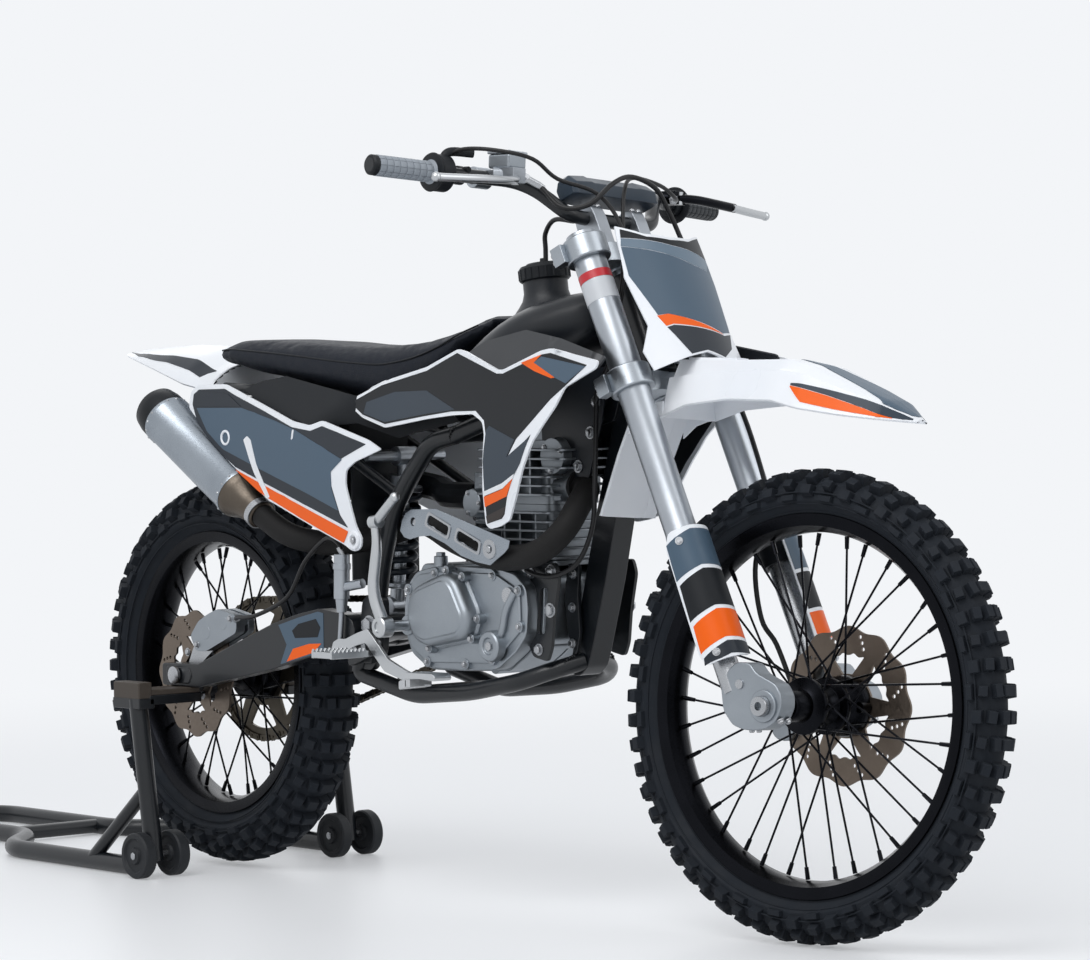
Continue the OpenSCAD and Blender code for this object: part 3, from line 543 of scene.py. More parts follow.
def circle(x, y, r, n=20):
    """Outline of a round hole."""
    return [(x + r * math.cos(math.tau * k / n), y + r * math.sin(math.tau * k / n)) for k in range(n)]


def aimed(a, b):
    """Stands a drawing at a, with its z axis towards b."""
    return Matrix.Translation(a) @ (b - a).to_track_quat("Z", "Y").to_matrix().to_4x4()


def polar(r, angle):
    """A point at a radius and an angle, as two numbers."""
    return r * math.cos(angle), r * math.sin(angle)


def bmesh_flat(bm, outline, low, high, holes=(), place=level, spacing=60.0):
    """Flat plate with holes, drawn in its own plane and placed by place(u, v, height)."""
    before = set(bm.verts)
    bmesh_panel(bm, outline, lambda u, v: (u, v, 0.0), high - low, spacing, holes=holes)
    made = [v for v in bm.verts if v not in before]
    base = min(v.co.z for v in made)
    for v in made:
        v.co = place(v.co.x, v.co.y, v.co.z - base + low)


# ---- wheels ----
def tyre_section(r, half, knob):
    """Crown of the casing, as radius and distance from the middle plane."""
    centre = r - knob - half
    angles = [math.radians(degrees) for degrees in range(-90, 91, 9)]
    return [(centre + half * math.cos(a), half * math.sin(a) * 0.98) for a in angles]


def bmesh_knob(bm, r, half, knob, angle, turn, wide, long, high, slant=0.0):
    """One tread block, at an angle round the crown and a turn round the wheel."""
    centre = r - knob - half
    out = Vector((math.cos(angle), 0, math.sin(angle)))
    across = Vector((-math.sin(angle), 0, math.cos(angle)))
    base = Vector((centre, 0, 0)) + out * (half - 3.0)
    frame_ = Matrix((Vector((0, 1, 0)), across, out)).transposed().to_4x4()
    frame_.translation = base + out * (high + 3.0) / 2
    local = Matrix.Rotation(slant, 4, "Z") @ Matrix.Diagonal((long, wide, high + 3.0, 1.0))
    made = bmesh.ops.create_cube(bm, size=1.0, matrix=Matrix.Rotation(turn, 4,
            "Z") @ frame_ @ local)["verts"]
    top = sorted(made, key=lambda v: -(v.co - (Matrix.Rotation(turn, 4,
                                                               "Z") @ Vector((centre, 0, 0)))).length)[:4]
    middle = sum((v.co for v in top), Vector()) / 4
    for v in top:
        v.co = middle + (v.co - middle) * 0.84


def make_tyre(name, node, matrix, body, r, half, flange, bead, pitches, rows, knob):
    """Casing with its beads, sidewall rings and tread blocks."""
    half_casing = half - 7.0
    crown = tyre_section(r, half_casing, knob)
    wall = [(flange + 9, bead + 9), (flange + 3, bead + 2.5), (flange - 4, bead - 0.5),
            (flange - 17, bead - 1)]
    profile = [(a, -b) for a, b in reversed(wall)] + crown + wall
    inner = [(max(a - 6, flange - 16), b * 0.8) for a, b in reversed(crown[2:-2])]
    bm = bmesh.new()
    bmesh_lathe(bm, profile + inner, steps=144, closed=True)
    # raised rings on the sidewalls
    for s in (-1, 1):
        for ring_r, ring_y in ((flange + 13, half_casing - 3.5), (flange + 30, half_casing + 0.6)):
            bmesh_lathe(bm, circle(ring_r, s * ring_y, 1.5, 6), steps=96, closed=True)
    for k in range(pitches):
        turn = math.tau * k / pitches
        for degrees, wide, long, high, slant in rows[k % len(rows)]:
            for s in ((-1, 1) if degrees else (1,)):
                bmesh_knob(bm, r, half_casing, knob, s * math.radians(degrees), turn, wide, long, high,
                           s * slant)
    finish_mesh(bm, name, matrix, body, "tyre_rubber", "tyre_rubber", (node,), 30, 0.9, 2)


def make_rim(name, node, matrix, body, flange, half):
    """Rim section with its flanges and well."""
    bm = bmesh.new()
    wall = [(flange - 1.2, half), (flange, half - 1.5), (flange - 0.6, half - 3.4),
            (flange - 3, half - 4),
            (flange - 13, half - 4.2), (flange - 17, half - 8), (flange - 18, half - 12),
            (flange - 24.5, 8)]
    under = [(flange - 28, 9), (flange - 24, half - 10), (flange - 19, half - 1.6), (flange - 11, half)]
    ring = wall + [(a, -b) for a, b in reversed(wall)] + [(a, -b) for a, b in reversed(under)] + under
    bmesh_lathe(bm, ring, steps=128, closed=True)
    finish_mesh(bm, name, matrix, body, *ANODISED, (node,), 32)


def make_spokes(name, matrix, body, hub_r, hub_y, rim_r, sizes):
    """Crossed spokes with bent heads at the hub and nipples at the rim."""
    bm = bmesh.new()
    count = sizes.spokes
    for k in range(count):
        side = 1 if k % 2 == 0 else -1
        lead = math.radians(46 if (k // 2) % 2 == 0 else -46)
        a = math.tau * k / count
        start_ = Vector((*polar(hub_r, a + lead), side * (hub_y + (2.5 if lead > 0 else -2.5))))
        end = Vector((*polar(rim_r, a), side * 5.0))
        along = (end - start_).normalized()
        bmesh_rod(bm, start_, end, sizes.spoke * 1000, 8)
        bmesh_rod(bm, end - along * 17, end + along * 1.5, 3.1, 8, 3.6)
        head = Vector((0, 0, 1 if lead > 0 else -1))
        bmesh_rod(bm, start_ - head * 2, start_ + head * 2.6, 3.4, 8, 2.6)
    finish_mesh(bm, name, matrix, body, *ANODISED)


def make_disc(name, node, matrix, body, r, low, inner, waves):
    """Wave-edged brake disc, with its drilled rows, slots and carrier arms."""
    edge = [polar(r - 3.5 + 3.4 * math.cos(waves * a),
                  a) for a in [math.tau * k / 240 for k in range(240)]]
    holes = []
    for k in range(waves):
        a = math.tau * (k + 0.5) / waves
        for shift, at in ((-0.055, r - 14), (0.0, r - 22), (0.055, r - 30)):
            holes.append(circle(*polar(at, a + shift), 3.2, 10))
    for k in range(6):
        a0, a1 = math.tau * (k + 0.12) / 6, math.tau * (k + 0.88) / 6
        outer = [polar(r - 42 + 2.2 * math.cos(3 * (a - a0) / (a1 - a0) * math.tau), a)
                 for a in [a0 + (a1 - a0) * i / 14 for i in range(15)]]
        root = [polar(inner + 6, a0 + (a1 - a0) * (0.75 - 0.5 * i / 6)) for i in range(7)]
        holes.append(round_corners(outer + root, 5.0, 2))
    bm = bmesh.new()
    bmesh_flat(bm, edge, low, low + 4.0, holes + [circle(0, 0, inner - 8, 40)])
    finish_mesh(bm, name, matrix, body, "disc_steel", "ground_stainless", (node,), 30)
    bm = bmesh.new()
    for k in range(6):
        x, y = polar(inner, math.tau * k / 6)
        up = 1 if low > 0 else -1
        bmesh_bolt(bm, (x, y, low + (4 if up > 0 else 0)), (0, 0, up), 5.0, 3.6)
    finish_mesh(bm, name + "_bolts", matrix, body, *ZINC)


def make_hub(name, node, matrix, body, profile, flanges, carriers):
    """Turned hub with drilled spoke flanges and bearing seals."""
    bm = bmesh.new()
    bmesh_lathe(bm, profile, steps=64, closed=True)
    for radius, z in flanges:
        for k in range(18):
            bmesh_rod(bm, (*polar(radius, math.tau * k / 18), z - 4.6),
                      (*polar(radius, math.tau * k / 18), z + 4.6), 2.6, 8)
    for radius, z0, z1, count in carriers:
        for k in range(count):
            bmesh_rod(bm, (*polar(radius, math.tau * k / count), z0),
                      (*polar(radius, math.tau * k / count), z1), 8.5, 16)
    finish_mesh(bm, name, matrix, body, *ANODISED, (node,), 32, 0.5, 1)


def build_front_wheel(sizes):
    """Front tyre, rim, spokes, hub and disc, turned about the axle."""
    centre_pair = ((10, 15, 22, 12.6, 0.0), (37, 15, 20, 12.2, 0.12), (68, 17, 21, 10.5, 0.0))
    centre_one = ((0, 26, 18, 12.6, 0.0), (24, 13, 22, 12.4, -0.1), (54, 15, 17, 11.4, 0.1),
                  (84, 10, 26, 6.5, 0.0))
    rows = (centre_pair, centre_one)
    make_tyre("front_tyre_knobbly", "front_tyre", FRONT_WHEEL, "front_wheel", FRONT_R, FRONT_HALF, 284.0,
              20.0, 56, rows, sizes.knob * 1000)
    make_rim("front_rim_section", "front_rim", FRONT_WHEEL, "front_wheel", 284.0, 26.0)
    make_spokes("front_spokes", FRONT_WHEEL, "front_wheel", 37.0, 27.0, 253.0, sizes)
    profile = [(11, -70), (20, -70), (23, -64), (24, -36), (30, -33), (42, -31), (43, -27), (42, -23),
               (29, -20),
               (25, -12), (24, 0), (25, 12), (29, 20), (42, 23), (43, 27), (42, 31), (31, 34), (30, 46),
               (44, 60),
               (46, 66), (46, 72.6), (22, 72.6), (20, 74), (11, 74)]
    make_hub("front_hub_body", "front_hub", FRONT_WHEEL, "front_wheel", profile, [(36, -27), (36, 27)],
             [(40, 52, 72.6, 6)])
    make_disc("front_brake_disc", "front_disc", FRONT_WHEEL, "front_wheel", 119.5, 73.0, 42.0, 12)


def build_rear_wheel(sizes):
    """Rear tyre, rim, spokes, hub, disc and sprocket, turned about the axle."""
    centre_pair = ((12, 21, 22, 12.8, 0.0), (38, 18, 21, 12.4, 0.1), (66, 19, 22, 11.5, 0.0))
    centre_one = ((0, 30, 20, 12.8, 0.0), (25, 17, 22, 12.6, -0.1), (52, 18, 19, 11.8, 0.1),
                  (82, 12, 27, 7.0, 0.0))
    rows = (centre_pair, centre_one)
    make_tyre("rear_tyre_knobbly", "rear_tyre", REAR_WHEEL, "rear_wheel", REAR_R, REAR_HALF, 245.0, 28.0,
              52, rows, sizes.knob * 1000)
    make_rim("rear_rim_section", "rear_rim", REAR_WHEEL, "rear_wheel", 245.0, 34.0)
    make_spokes("rear_spokes", REAR_WHEEL, "rear_wheel", 45.0, 34.0, 214.0, sizes)
    profile = [(11, -74), (22, -74), (24, -72), (47, -72), (48, -62), (44, -50), (34, -44), (34, -41),
               (50, -38),
               (51, -34), (50, -30), (36, -26), (29, -14), (28, 0), (29, 14), (36, 26), (50, 30),
               (51, 34), (50, 38),
               (40, 42), (40, 50), (52, 58), (54, 64), (54, 66.2), (26, 66.2), (24, 70), (11, 70)]
    make_hub("rear_hub_body", "rear_hub", REAR_WHEEL, "rear_wheel", profile, [(44, -34), (44, 34)],
             [(42, -71.8, -50, 6), (48, 46, 66.2, 6)])
    make_disc("rear_brake_disc", "rear_disc", REAR_WHEEL, "rear_wheel", 109.5, -76.0, 42.0, 12)
    teeth = 48
    edge = []
    for k in range(teeth):
        a = math.tau * k / teeth
        for at, radius in ((0.0, 116.8), (0.16, 117.6), (0.32, 121.5), (0.43, 125.6), (0.57, 125.6),
                           (0.68, 121.5), (0.84, 117.6)):
            edge.append(polar(radius, a + at * math.tau / teeth))
    holes = [circle(0, 0, 34, 40)]
    for k in range(6):
        a0, a1 = math.tau * (k + 0.14) / 6, math.tau * (k + 0.86) / 6
        outer = [polar(104, a0 + (a1 - a0) * i / 10) for i in range(11)]
        inner = [polar(64, a1 - (a1 - a0) * (0.2 + 0.6 * i / 6)) for i in range(7)]
        holes.append(round_corners(outer + inner, 7.0, 2))
    bm = bmesh.new()
    bmesh_flat(bm, edge, 66.5, 71.5, holes)
    for k in range(6):
        bmesh_bolt(bm, (*polar(48, math.tau * k / 6), 71.4), (0, 0, 1), 5.5, 4)
    finish_mesh(bm, "rear_sprocket_teeth", REAR_WHEEL, "rear_wheel", "chain_steel", "chain_steel",
                ("rear_sprocket",), 30)


# ---- shared shapes of the bodywork ----
def between(x, stations, column):
    """Value of a column of the stations at x, in straight lines from one station to the next."""
    if x <= stations[0][0]:
        return stations[0][column]
    for a, b in zip(stations, stations[1:]):
        if x <= b[0]:
            t = (x - a[0]) / (b[0] - a[0])
            return a[column] + (b[column] - a[column]) * t
    return stations[-1][column]


def hull_outline(circles, grow=0.0, n=96):
    """Outline of the shape that a tight band round some circles makes."""
    out = []
    for k in range(n):
        a = math.tau * k / n
        c, s = math.cos(a), math.sin(a)
        x, y, r = max(circles, key=lambda q: q[0] * c + q[1] * s + q[2])
        out.append((x + (r + grow) * c, y + (r + grow) * s))
    return out


def decal(name, outline, surface, material, body, matrix, facing, lift=0.5, spacing=16.0, both=True,
          cut=0.0):
    """Printed film on a panel."""
    bm = bmesh.new()
    thick = bpy.context.scene.moto_bodywork.film * 1000
    bmesh_panel(bm, round_corners(outline, cut, 2) if cut else outline, surface, thick, spacing, lift,
                (), facing)
    if both:
        mirrored(bm)
    return finish_mesh(bm, name, matrix, body, "white_plastic", material)


# x, then distance from the middle and height of the top's edge, the valley, the crease and the lower edge
FRONT_FENDER = ((1168, 23, 862, 38, 836, 49, 834, 62, 806), (1190, 25, 861, 40, 834, 50, 832, 66, 774),
                (1240, 28, 860, 44, 836, 55, 837, 72, 791), (1325, 32, 859, 48, 839, 60, 841, 78, 799),
                (1409, 38, 859, 52, 844, 62, 842, 80, 797), (1453, 40, 850, 52, 843, 62, 836, 78, 786),
                (1520, 32, 824, 44, 820, 53, 814, 66, 777), (1583, 22, 798, 33, 795, 39, 791, 53, 771),
                (1627, 5, 771, 7, 770.4, 9, 769.8, 13, 768))
REAR_FENDER = ((-236, 894, 52, 5), (-162, 898, 74, 22), (-72, 900, 92, 43), (10, 897, 101, 61),
               (60, 872, 103, 44))


def front_fender_height(x, y):
    """Height of the front fender's skin: a valley on each side of the top, and steep walls."""
    row = [between(x, FRONT_FENDER, k) for k in range(1, 9)]
    spots = [(0.0, row[1] + 0.8)] + [(row[k], row[k + 1]) for k in (0, 2, 4, 6)]
    away = min(abs(y), row[6])
    for (y0, z0), (y1, z1) in zip(spots, spots[1:]):
        if away <= y1:
            return z0 + (z1 - z0) * (away - y0) / (y1 - y0)
    return row[7]


def rear_fender_height(x, y):
    """Height of the rear fender's skin, with a low spine along its middle."""
    ridge, half, drop = (between(x, REAR_FENDER, k) for k in (1, 2, 3))
    f = min(abs(y) / half, 1.1)
    spine = 2.5 * max(0.0, 1 - abs(y) / 14)
    return ridge - drop * (0.25 * f + 0.75 * f ** 3) + spine


def side_surface(u, v):
    """The right side panel, bowed out a little between its top and bottom."""
    bow = 7.0 * (1 - ((v - 705) / 130) ** 2)
    return (u, -(148 + (u - 530) * 0.0524 + bow), v)


def cover_surface(u, v):
    """The black covers under the seat, leaning in towards the seat's edge."""
    return (u, -min(138 - 0.42 * (v - 765), 138 - 0.2 * (u - 430)), v)


def shroud_surface(u, v):
    """The right shroud: flared forwards, with its lower spike turned in."""
    fold = 9.0 * max(0.0, min(1.0, (v - 770) / 60))
    turn = 14.0 * max(0.0, (730 - v) / 130) ** 1.4
    return (u, -(122 + (u - 530) * 0.1139 - fold * 0.5 - turn), v)


def plate_surface(u, v):
    """The number plate's bowed face, in the steering frame: u across, v along."""
    return (-145 + math.sqrt(246 ** 2 - u * u), u, v)


def build_front_fender():
    """Front fender, lofted from its stations, with its skirt and films."""
    top = lambda u, v: (u, v, front_fender_height(u, v))
    bm = bmesh.new()
    sections = []
    count = 46
    back, tip = 1190, 1627
    for i in range(count + 1):
        x = back + (tip - back) * i / count
        ys = [between(x, FRONT_FENDER, k) for k in (1, 3, 5, 7)]
        across = [-ys[3], -ys[2], -ys[1], -ys[0], 0, ys[0], ys[1], ys[2], ys[3]]
        outer = [Vector((x, y, front_fender_height(x, y))) for y in across]
        inner = [Vector((x, y * (1 - 2.2 / ys[3]),
                         front_fender_height(x, y) - 2.6)) for y in reversed(across)]
        sections.append(outer + inner)
    bmesh_loft(bm, sections)
    # tongue that runs back under the lower clamp
    bmesh_panel(bm, [(1150, -20), (1194, -24), (1194, 24), (1150, 20)], lambda u, v: (u, v, 860.5), 3.0,
                12.0)
    # raised pad under the number plate
    bmesh_panel(bm, [(1204, -22), (1290, -14), (1290, 14), (1204, 22)], lambda u,
                v: (u, v, front_fender_height(u, v) + 3.5), 4.0, 9.0)
    on_fork(bm, "front_fender_shell", *WHITE, ("front_fender",), 32, 0.7, 2)
    # skirt that closes the space behind the wheel: height, x, half width
    bm = bmesh.new()
    skirt = ((622, 1057, 65), (716, 1090, 66), (775, 1115, 66), (792, 1130, 66))

    def skirt_surface(u, v):
        f = abs(v) / between(u, skirt, 2)
        return (between(u, skirt, 1) + 5 * f * f + 60 * max(0.0, f - 0.8), v, u)

    edge = [(u, -half) for u, _, half in skirt]
    bmesh_panel(bm, edge + [(u, -y) for u, y in reversed(edge)], skirt_surface, 3.0, 9.0,
                facing=(-1, 0, 0))
    # side walls of the arch, from the shell down into the skirt
    for side in (-1, 1):
        sections = []
        for x, y, high, low in ((1192, 66, 796, 773), (1172, 66, 793, 771), (1150, 66, 790, 764),
                                (1126, 66, 781, 745)):
            sections.append([Vector((x, side * y, high)), Vector((x, side * y, low)),
                             Vector((x, side * (y - 2.6), low)),
                             Vector((x, side * (y - 2.6), high))])
        bmesh_loft(bm, sections)
    on_fork(bm, "front_fender_skirt", *WHITE, (), 32, 0.7, 2)

    # films on its side walls: x, then how far down the wall the film's top and its lower edge are
    rows = ((1437, 0.34, 0.4), (1450, 0.3, 0.4), (1475, 0.25, 0.4), (1500, 0.2, 0.4), (1530, 0.14, 0.44),
            (1560, 0.05, 0.52),
            (1583, 0.02, 0.66), (1600, 0.02, 0.8), (1612, 0.02, 0.82), (1622, 0.1, 0.6))
    side_film("front_fender_dark_film", rows, "slate_dark_film", 0.7)
    rows = ((1437, 0.42, 0.46), (1448, 0.42, 0.64), (1460, 0.42, 0.82), (1500, 0.42, 0.84),
            (1530, 0.46, 0.85), (1560, 0.54, 0.86),
            (1583, 0.68, 0.87), (1600, 0.82, 0.88))
    side_film("front_fender_orange_film", rows, "orange_film", 0.8)
    upper = [(1402, 0), (1440, -12), (1473, -20), (1530, -27), (1572, -31), (1583, -36), (1600, -25),
             (1618, -10), (1621, 0)]
    decal("front_fender_grey_film", upper, top, "slate_film", "fork", FORK, (0, 0, 1), 1.0, 5.0)


def side_film(name, rows, material, lift):
    """Printed film on both side walls of the front fender."""
    bm = bmesh.new()
    sections = []
    steps = 5
    for (x0, high0, low0), (x1, high1, low1) in zip(rows, rows[1:]):
        for k in range(steps + (x1 == rows[-1][0])):
            f = k / steps
            x, high, low = x0 + (x1 - x0) * f, high0 + (high1 - high0) * f, low0 + (low1 - low0) * f
            y0, z0, y1, z1 = (between(x, FRONT_FENDER, c) for c in (5, 6, 7, 8))
            out = Vector((0, z0 - z1, y1 - y0)).normalized()
            spots = [Vector((x, y0 + (y1 - y0) * t, z0 + (z1 - z0) * t)) for t in (high,
                    (high + low) / 2, low)]
            skin = [p + out * lift for p in spots] + [p - out * 0.6 for p in reversed(spots)]
            sections.append([Vector((p.x, -p.y, p.z)) for p in skin])
    bmesh_loft(bm, sections)
    mirrored(bm)
    on_fork(bm, name, "white_plastic", material)


def build_number_plate():
    """Bowed front plate with its films."""
    right = [(0, 66), (-52, 70), (-97, 86), (-108, 2), (-97, -82), (-117, -122), (-110, -155),
             (-46, -138), (0, -129)]
    outline = right + [(-u, v) for u, v in reversed(right[1:-1])]
    bm = bmesh.new()
    bmesh_panel(bm, outline, plate_surface, 3.0, 12.0, facing=(1, 0, 0))
    # posts to the fork clamps
    for v in (-40, 56):
        for side in (-1, 1):
            bmesh_rod(bm, (60, side * 70, v), (86, side * 70, v), 6, 12)
    on_stem(bm, "number_plate_shell", *WHITE, ("number_plate",), 32, 0.8, 2)
    films = (
        ("black_top", "black_film", ((-91, 80), (-50, 65), (0, 61), (50, 65), (93, 81), (101, 46),
                                     (0, 52), (-94, 66))),
        ("pale_band", "slate_pale_film", ((-94, 65), (0, 51), (101, 45), (100, 38), (86, 22), (40, 24),
                                          (-98, 52))),
        ("grey_field", "slate_film", ((-98, 51), (40, 23), (86, 21), (101, 40), (104, 0), (93, -82),
                                      (62, -90), (-58, -66),
                                     (-76, -67), (-101, 2))),
        ("orange_bar", "orange_film", ((-78, -68), (-58, -66), (62, -92), (-54, -83), (-68, -86))),
        ("dark_foot", "charcoal_film", ((-67, -88), (-54, -85), (64, -94), (92, -86), (76, -114),
                                        (42, -134), (0, -126), (-38, -134))),
    )
    for name, material, shape in films:
        decal("number_plate_" + name, shape, plate_surface, material, "fork", ALONG, (1, 0, 0), 0.5,
              14.0, both=False)


def build_side_panels():
    """Side panels with their films, rings and bolts, and the black covers above them."""
    outline = [(66, 795), (70, 822), (90, 833), (177, 834), (212, 824), (300, 798), (385, 772),
               (435, 765), (472, 773),
               (603, 742), (640, 727), (566, 707), (540, 693), (537, 670), (560, 602), (574, 584),
               (570, 570), (557, 562),
               (540, 563), (526, 571), (440, 598), (310, 641), (200, 700), (112, 762)]
    bm = bmesh.new()
    bmesh_panel(bm, round_corners(outline, 7.0, 2), side_surface, 3.0, 18.0,
                holes=[circle(185, 744, 9, 20)], facing=(0, -1, 0))
    mirrored(bm)
    on_chassis(bm, "side_panel_shells", *WHITE, ("side_panels",), 32, 0.9, 2)
    films = (
        ("charcoal", "charcoal_film", 0.5, ((78, 800), (80, 817), (95, 825), (176, 826), (209, 815),
                                            (298, 789), (383, 762), (438, 756),
            (472, 764), (598, 735), (532, 713), (506, 702), (496, 690), (497, 668), (518, 620),
            (538, 600), (214, 695), (150, 728), (96, 768))),
        ("slate", "slate_film", 0.9, ((92, 794), (231, 794), (332, 773), (395, 757), (453, 737),
                                      (530, 710), (497, 690),
            (498, 662), (514, 627), (426, 654), (279, 695), (178, 724), (127, 754))),
        ("triangle", "charcoal_film", 1.3, ((99, 823), (188, 817), (229, 796), (87, 796))),
        ("orange", "orange_film", 1.0, ((214, 691), (538, 594), (522, 575), (443, 600), (312, 644),
                                        (283, 655))),
        ("pale_line", "white_film", 1.3, ((240, 741), (251, 747), (262, 741), (279, 700), (316, 646),
                                          (306, 644), (271, 686))),
        ("pale_tick", "white_film", 1.3, ((386, 758), (391, 758), (388, 743), (383, 741))),
    )
    for name, material, lift, shape in films:
        decal("side_panel_" + name, shape, side_surface, material, "chassis", BIKE, (0, -1, 0), lift,
              18.0, cut=2.0)
    bm = bmesh.new()
    at = Vector(side_surface(185, 744)) + Vector((0, -0.6, 0))
    bmesh_lathe(bm, [(9, -3), (13, -3), (13, 1.5), (12, 2.4), (10, 2.4), (9, 1.5)],
                Matrix.Translation(at) @ ACROSS.inverted(), 32, True)
    boss = Vector(side_surface(553, 580))
    bmesh_lathe(bm, [(0.01, -3), (15, -3), (15, 2.6), (13.5, 4), (9, 4), (8, 2.2), (0.01, 2.2)],
                Matrix.Translation(boss) @ ACROSS.inverted(), 32)
    mirrored(bm)
    on_chassis(bm, "side_panel_rings", *WHITE)
    bm = bmesh.new()
    bmesh_bolt(bm, boss + Vector((0, -2, 0)), (0, -1, 0), 4.6, 3.4)
    mirrored(bm)
    on_chassis(bm, "side_panel_bolts", *ZINC)
    # black cover between the seat and the panels
    bm = bmesh.new()
    cover = [(205, 824), (250, 838), (314, 846), (431, 827), (560, 806), (640, 800), (700, 812),
             (735, 770), (610, 744), (525, 768),
             (435, 762), (300, 790)]
    bmesh_panel(bm, cover, cover_surface, 3.0, 16.0, facing=(0, -1, 0))
    mirrored(bm)
    on_chassis(bm, "seat_side_covers", *NYLON, (), 32, 0.8, 2)


def build_shrouds():
    """Shrouds with their films, liners and scoops, and the black pieces behind them."""
    outline = [(491, 802), (560, 822), (626, 839), (735, 857), (827, 884), (850, 880), (938, 851),
               (954, 851), (1059, 879),
               (1085, 882), (1209, 862), (1204, 851), (1121, 823), (1098, 795), (1072, 772), (1037, 741),
               (1007, 700),
               (982, 657), (957, 620), (930, 610), (900, 605), (888, 611), (890, 666), (904, 752),
               (899, 771), (871, 783),
               (810, 781), (735, 775), (614, 761), (544, 777)]
    bm = bmesh.new()
    bmesh_panel(bm, round_corners(outline, 5.0, 2), shroud_surface, 3.5, 16.0, facing=(0, -1, 0))
    mirrored(bm)
    on_chassis(bm, "shroud_shells", *WHITE, ("shrouds",), 32, 0.9, 2)
    films = (
        ("black", "black_film", 0.5, ((506, 801), (600, 829), (735, 851), (825, 878), (936, 845),
                                      (954, 845), (1061, 873), (1085, 875),
            (1181, 856), (1125, 826), (1085, 805), (1038, 773), (994, 745), (964, 713), (976, 718),
            (1034, 752), (1014, 727), (983, 691),
            (968, 672), (958, 657), (945, 629), (936, 622), (893, 613), (896, 667), (909, 752),
            (905, 773), (880, 788), (810, 787), (735, 780),
            (614, 767), (545, 782))),
        ("slate_top", "slate_film", 0.9, ((1061, 870), (1178, 854), (1125, 829), (1096, 838),
                                          (1040, 861))),
        ("orange_top", "orange_film", 0.9, ((1005, 861), (1062, 873), (1040, 861), (1096, 838),
                                            (1086, 837), (1041, 848))),
        ("slate_low", "slate_dark_film", 0.9, ((920, 765), (990, 744), (966, 717), (976, 722),
                                               (1030, 748), (1002, 708), (983, 690),
            (948, 676), (896, 664), (899, 709), (911, 758))),
        ("white_low", "white_film", 1.0, ((893, 663), (948, 677), (984, 692), (979, 685), (948, 669),
                                          (893, 656))),
        ("orange_low", "orange_film", 1.0, ((893, 655), (948, 668), (978, 684), (957, 657), (893, 639))),
        ("brown_low", "dark_film", 1.0, ((893, 625), (950, 641), (944, 629), (933, 623), (894, 614))),
        ("slate_left", "slate_dark_film", 0.9, ((556, 802), (640, 818), (735, 820), (820, 790),
                                                (735, 783), (614, 770), (548, 784))),
    )
    for name, material, lift, shape in films:
        decal("shroud_" + name, shape, shroud_surface, material, "chassis", BIKE, (0, -1, 0), lift, 16.0)
    # black liner inside each shroud
    bm = bmesh.new()
    liner = [(640, 800), (740, 846), (828, 874), (938, 842), (954, 842), (1060, 868), (1190, 856),
             (1112, 820), (1060, 772),
             (1028, 736), (998, 698), (972, 654), (950, 628), (902, 616), (902, 666), (914, 754),
             (906, 778), (872, 790), (735, 786)]
    bmesh_panel(bm, liner, lambda u, v: (u, shroud_surface(u, v)[1] + 6, v), 2.0, 18.0, facing=(0, -1, 0))
    mirrored(bm)
    on_chassis(bm, "shroud_liners", *NYLON, (), 32)
    # splash guard ahead of the rear wheel
    bm = bmesh.new()
    bmesh_box(bm, (448, -76, 500), (453, 62, 722))
    on_chassis(bm, "splash_guard", *MOULDED, (), 32, 1.2, 2)
    # black blanks between the tank and the front tube
    bm = bmesh.new()
    blank = round_corners([(905, 700), (975, 655), (1008, 668), (1046, 770), (1060, 852), (960, 852),
                           (900, 800)], 8.0, 3)
    for side in (-1, 1):
        bmesh_flat(bm, blank, 0, 3, [], place=lambda u, v, h: (u, side * (44 + h), v))
    on_chassis(bm, "front_blanks", *MOULDED, (), 32, 0.8, 2)
    bm = bmesh.new()
    for x, z in ((1034, 800), (1020, 752), (990, 700)):
        for side in (-1, 1):
            bmesh_bolt(bm, (x, side * 47.6, z), (0, side, 0), 7, 5)
    on_chassis(bm, "front_blank_bolts", *ZINC, (), 32, 0.4, 1)
    # black scoop above each shroud, leaning in to the tank
    lean = lambda u, v: (u, shroud_surface(u, 870)[1] + 5 + 0.75 * (v - 850), v)
    bm = bmesh.new()
    scoop = [(800, 868), (850, 896), (905, 905), (948, 912), (1060, 897), (1206, 868), (1200, 852),
             (1085, 872), (1059, 870), (954, 842), (930, 844), (840, 872)]
    bmesh_panel(bm, round_corners(scoop, 5.0, 2), lean, 3.0, 15.0, facing=(0, -1, 0.5))
    mirrored(bm)
    on_chassis(bm, "shroud_scoops", *MOULDED, (), 32, 0.9, 2)


def build_rear_fender():
    """Rear fender, lofted from its stations, with its films."""
    top = lambda u, v: (u, v, rear_fender_height(u, v))
    bm = bmesh.new()
    sections = []
    count = 30
    tail, root = -240, 96
    for i in range(count + 1):
        x = tail + (root - tail) * i / count
        half = between(x, REAR_FENDER, 2) * (0.55 if i == 0 else 0.9 if i == 1 else 1.0)
        across = [half * (k / 8 - 1) for k in range(17)]
        outer = [Vector((x, y, rear_fender_height(x, y))) for y in across]
        inner = [Vector((x, y * (1 - 2.0 / half), rear_fender_height(x,
                y) - 2.8)) for y in reversed(across)]
        sections.append(outer + inner)
    bmesh_loft(bm, sections)
    on_chassis(bm, "rear_fender_shell", *WHITE, ("rear_fender",), 32, 0.7, 2)
    stripe = [(-232, -38), (-190, -50), (-110, -58), (-20, -62), (64, -66), (44, -88), (-30, -80),
              (-110, -72), (-180, -60)]
    decal("rear_fender_grey_film", stripe, top, "charcoal_film", "chassis", BIKE, (0, 0, 1), 0.6, 11.0)


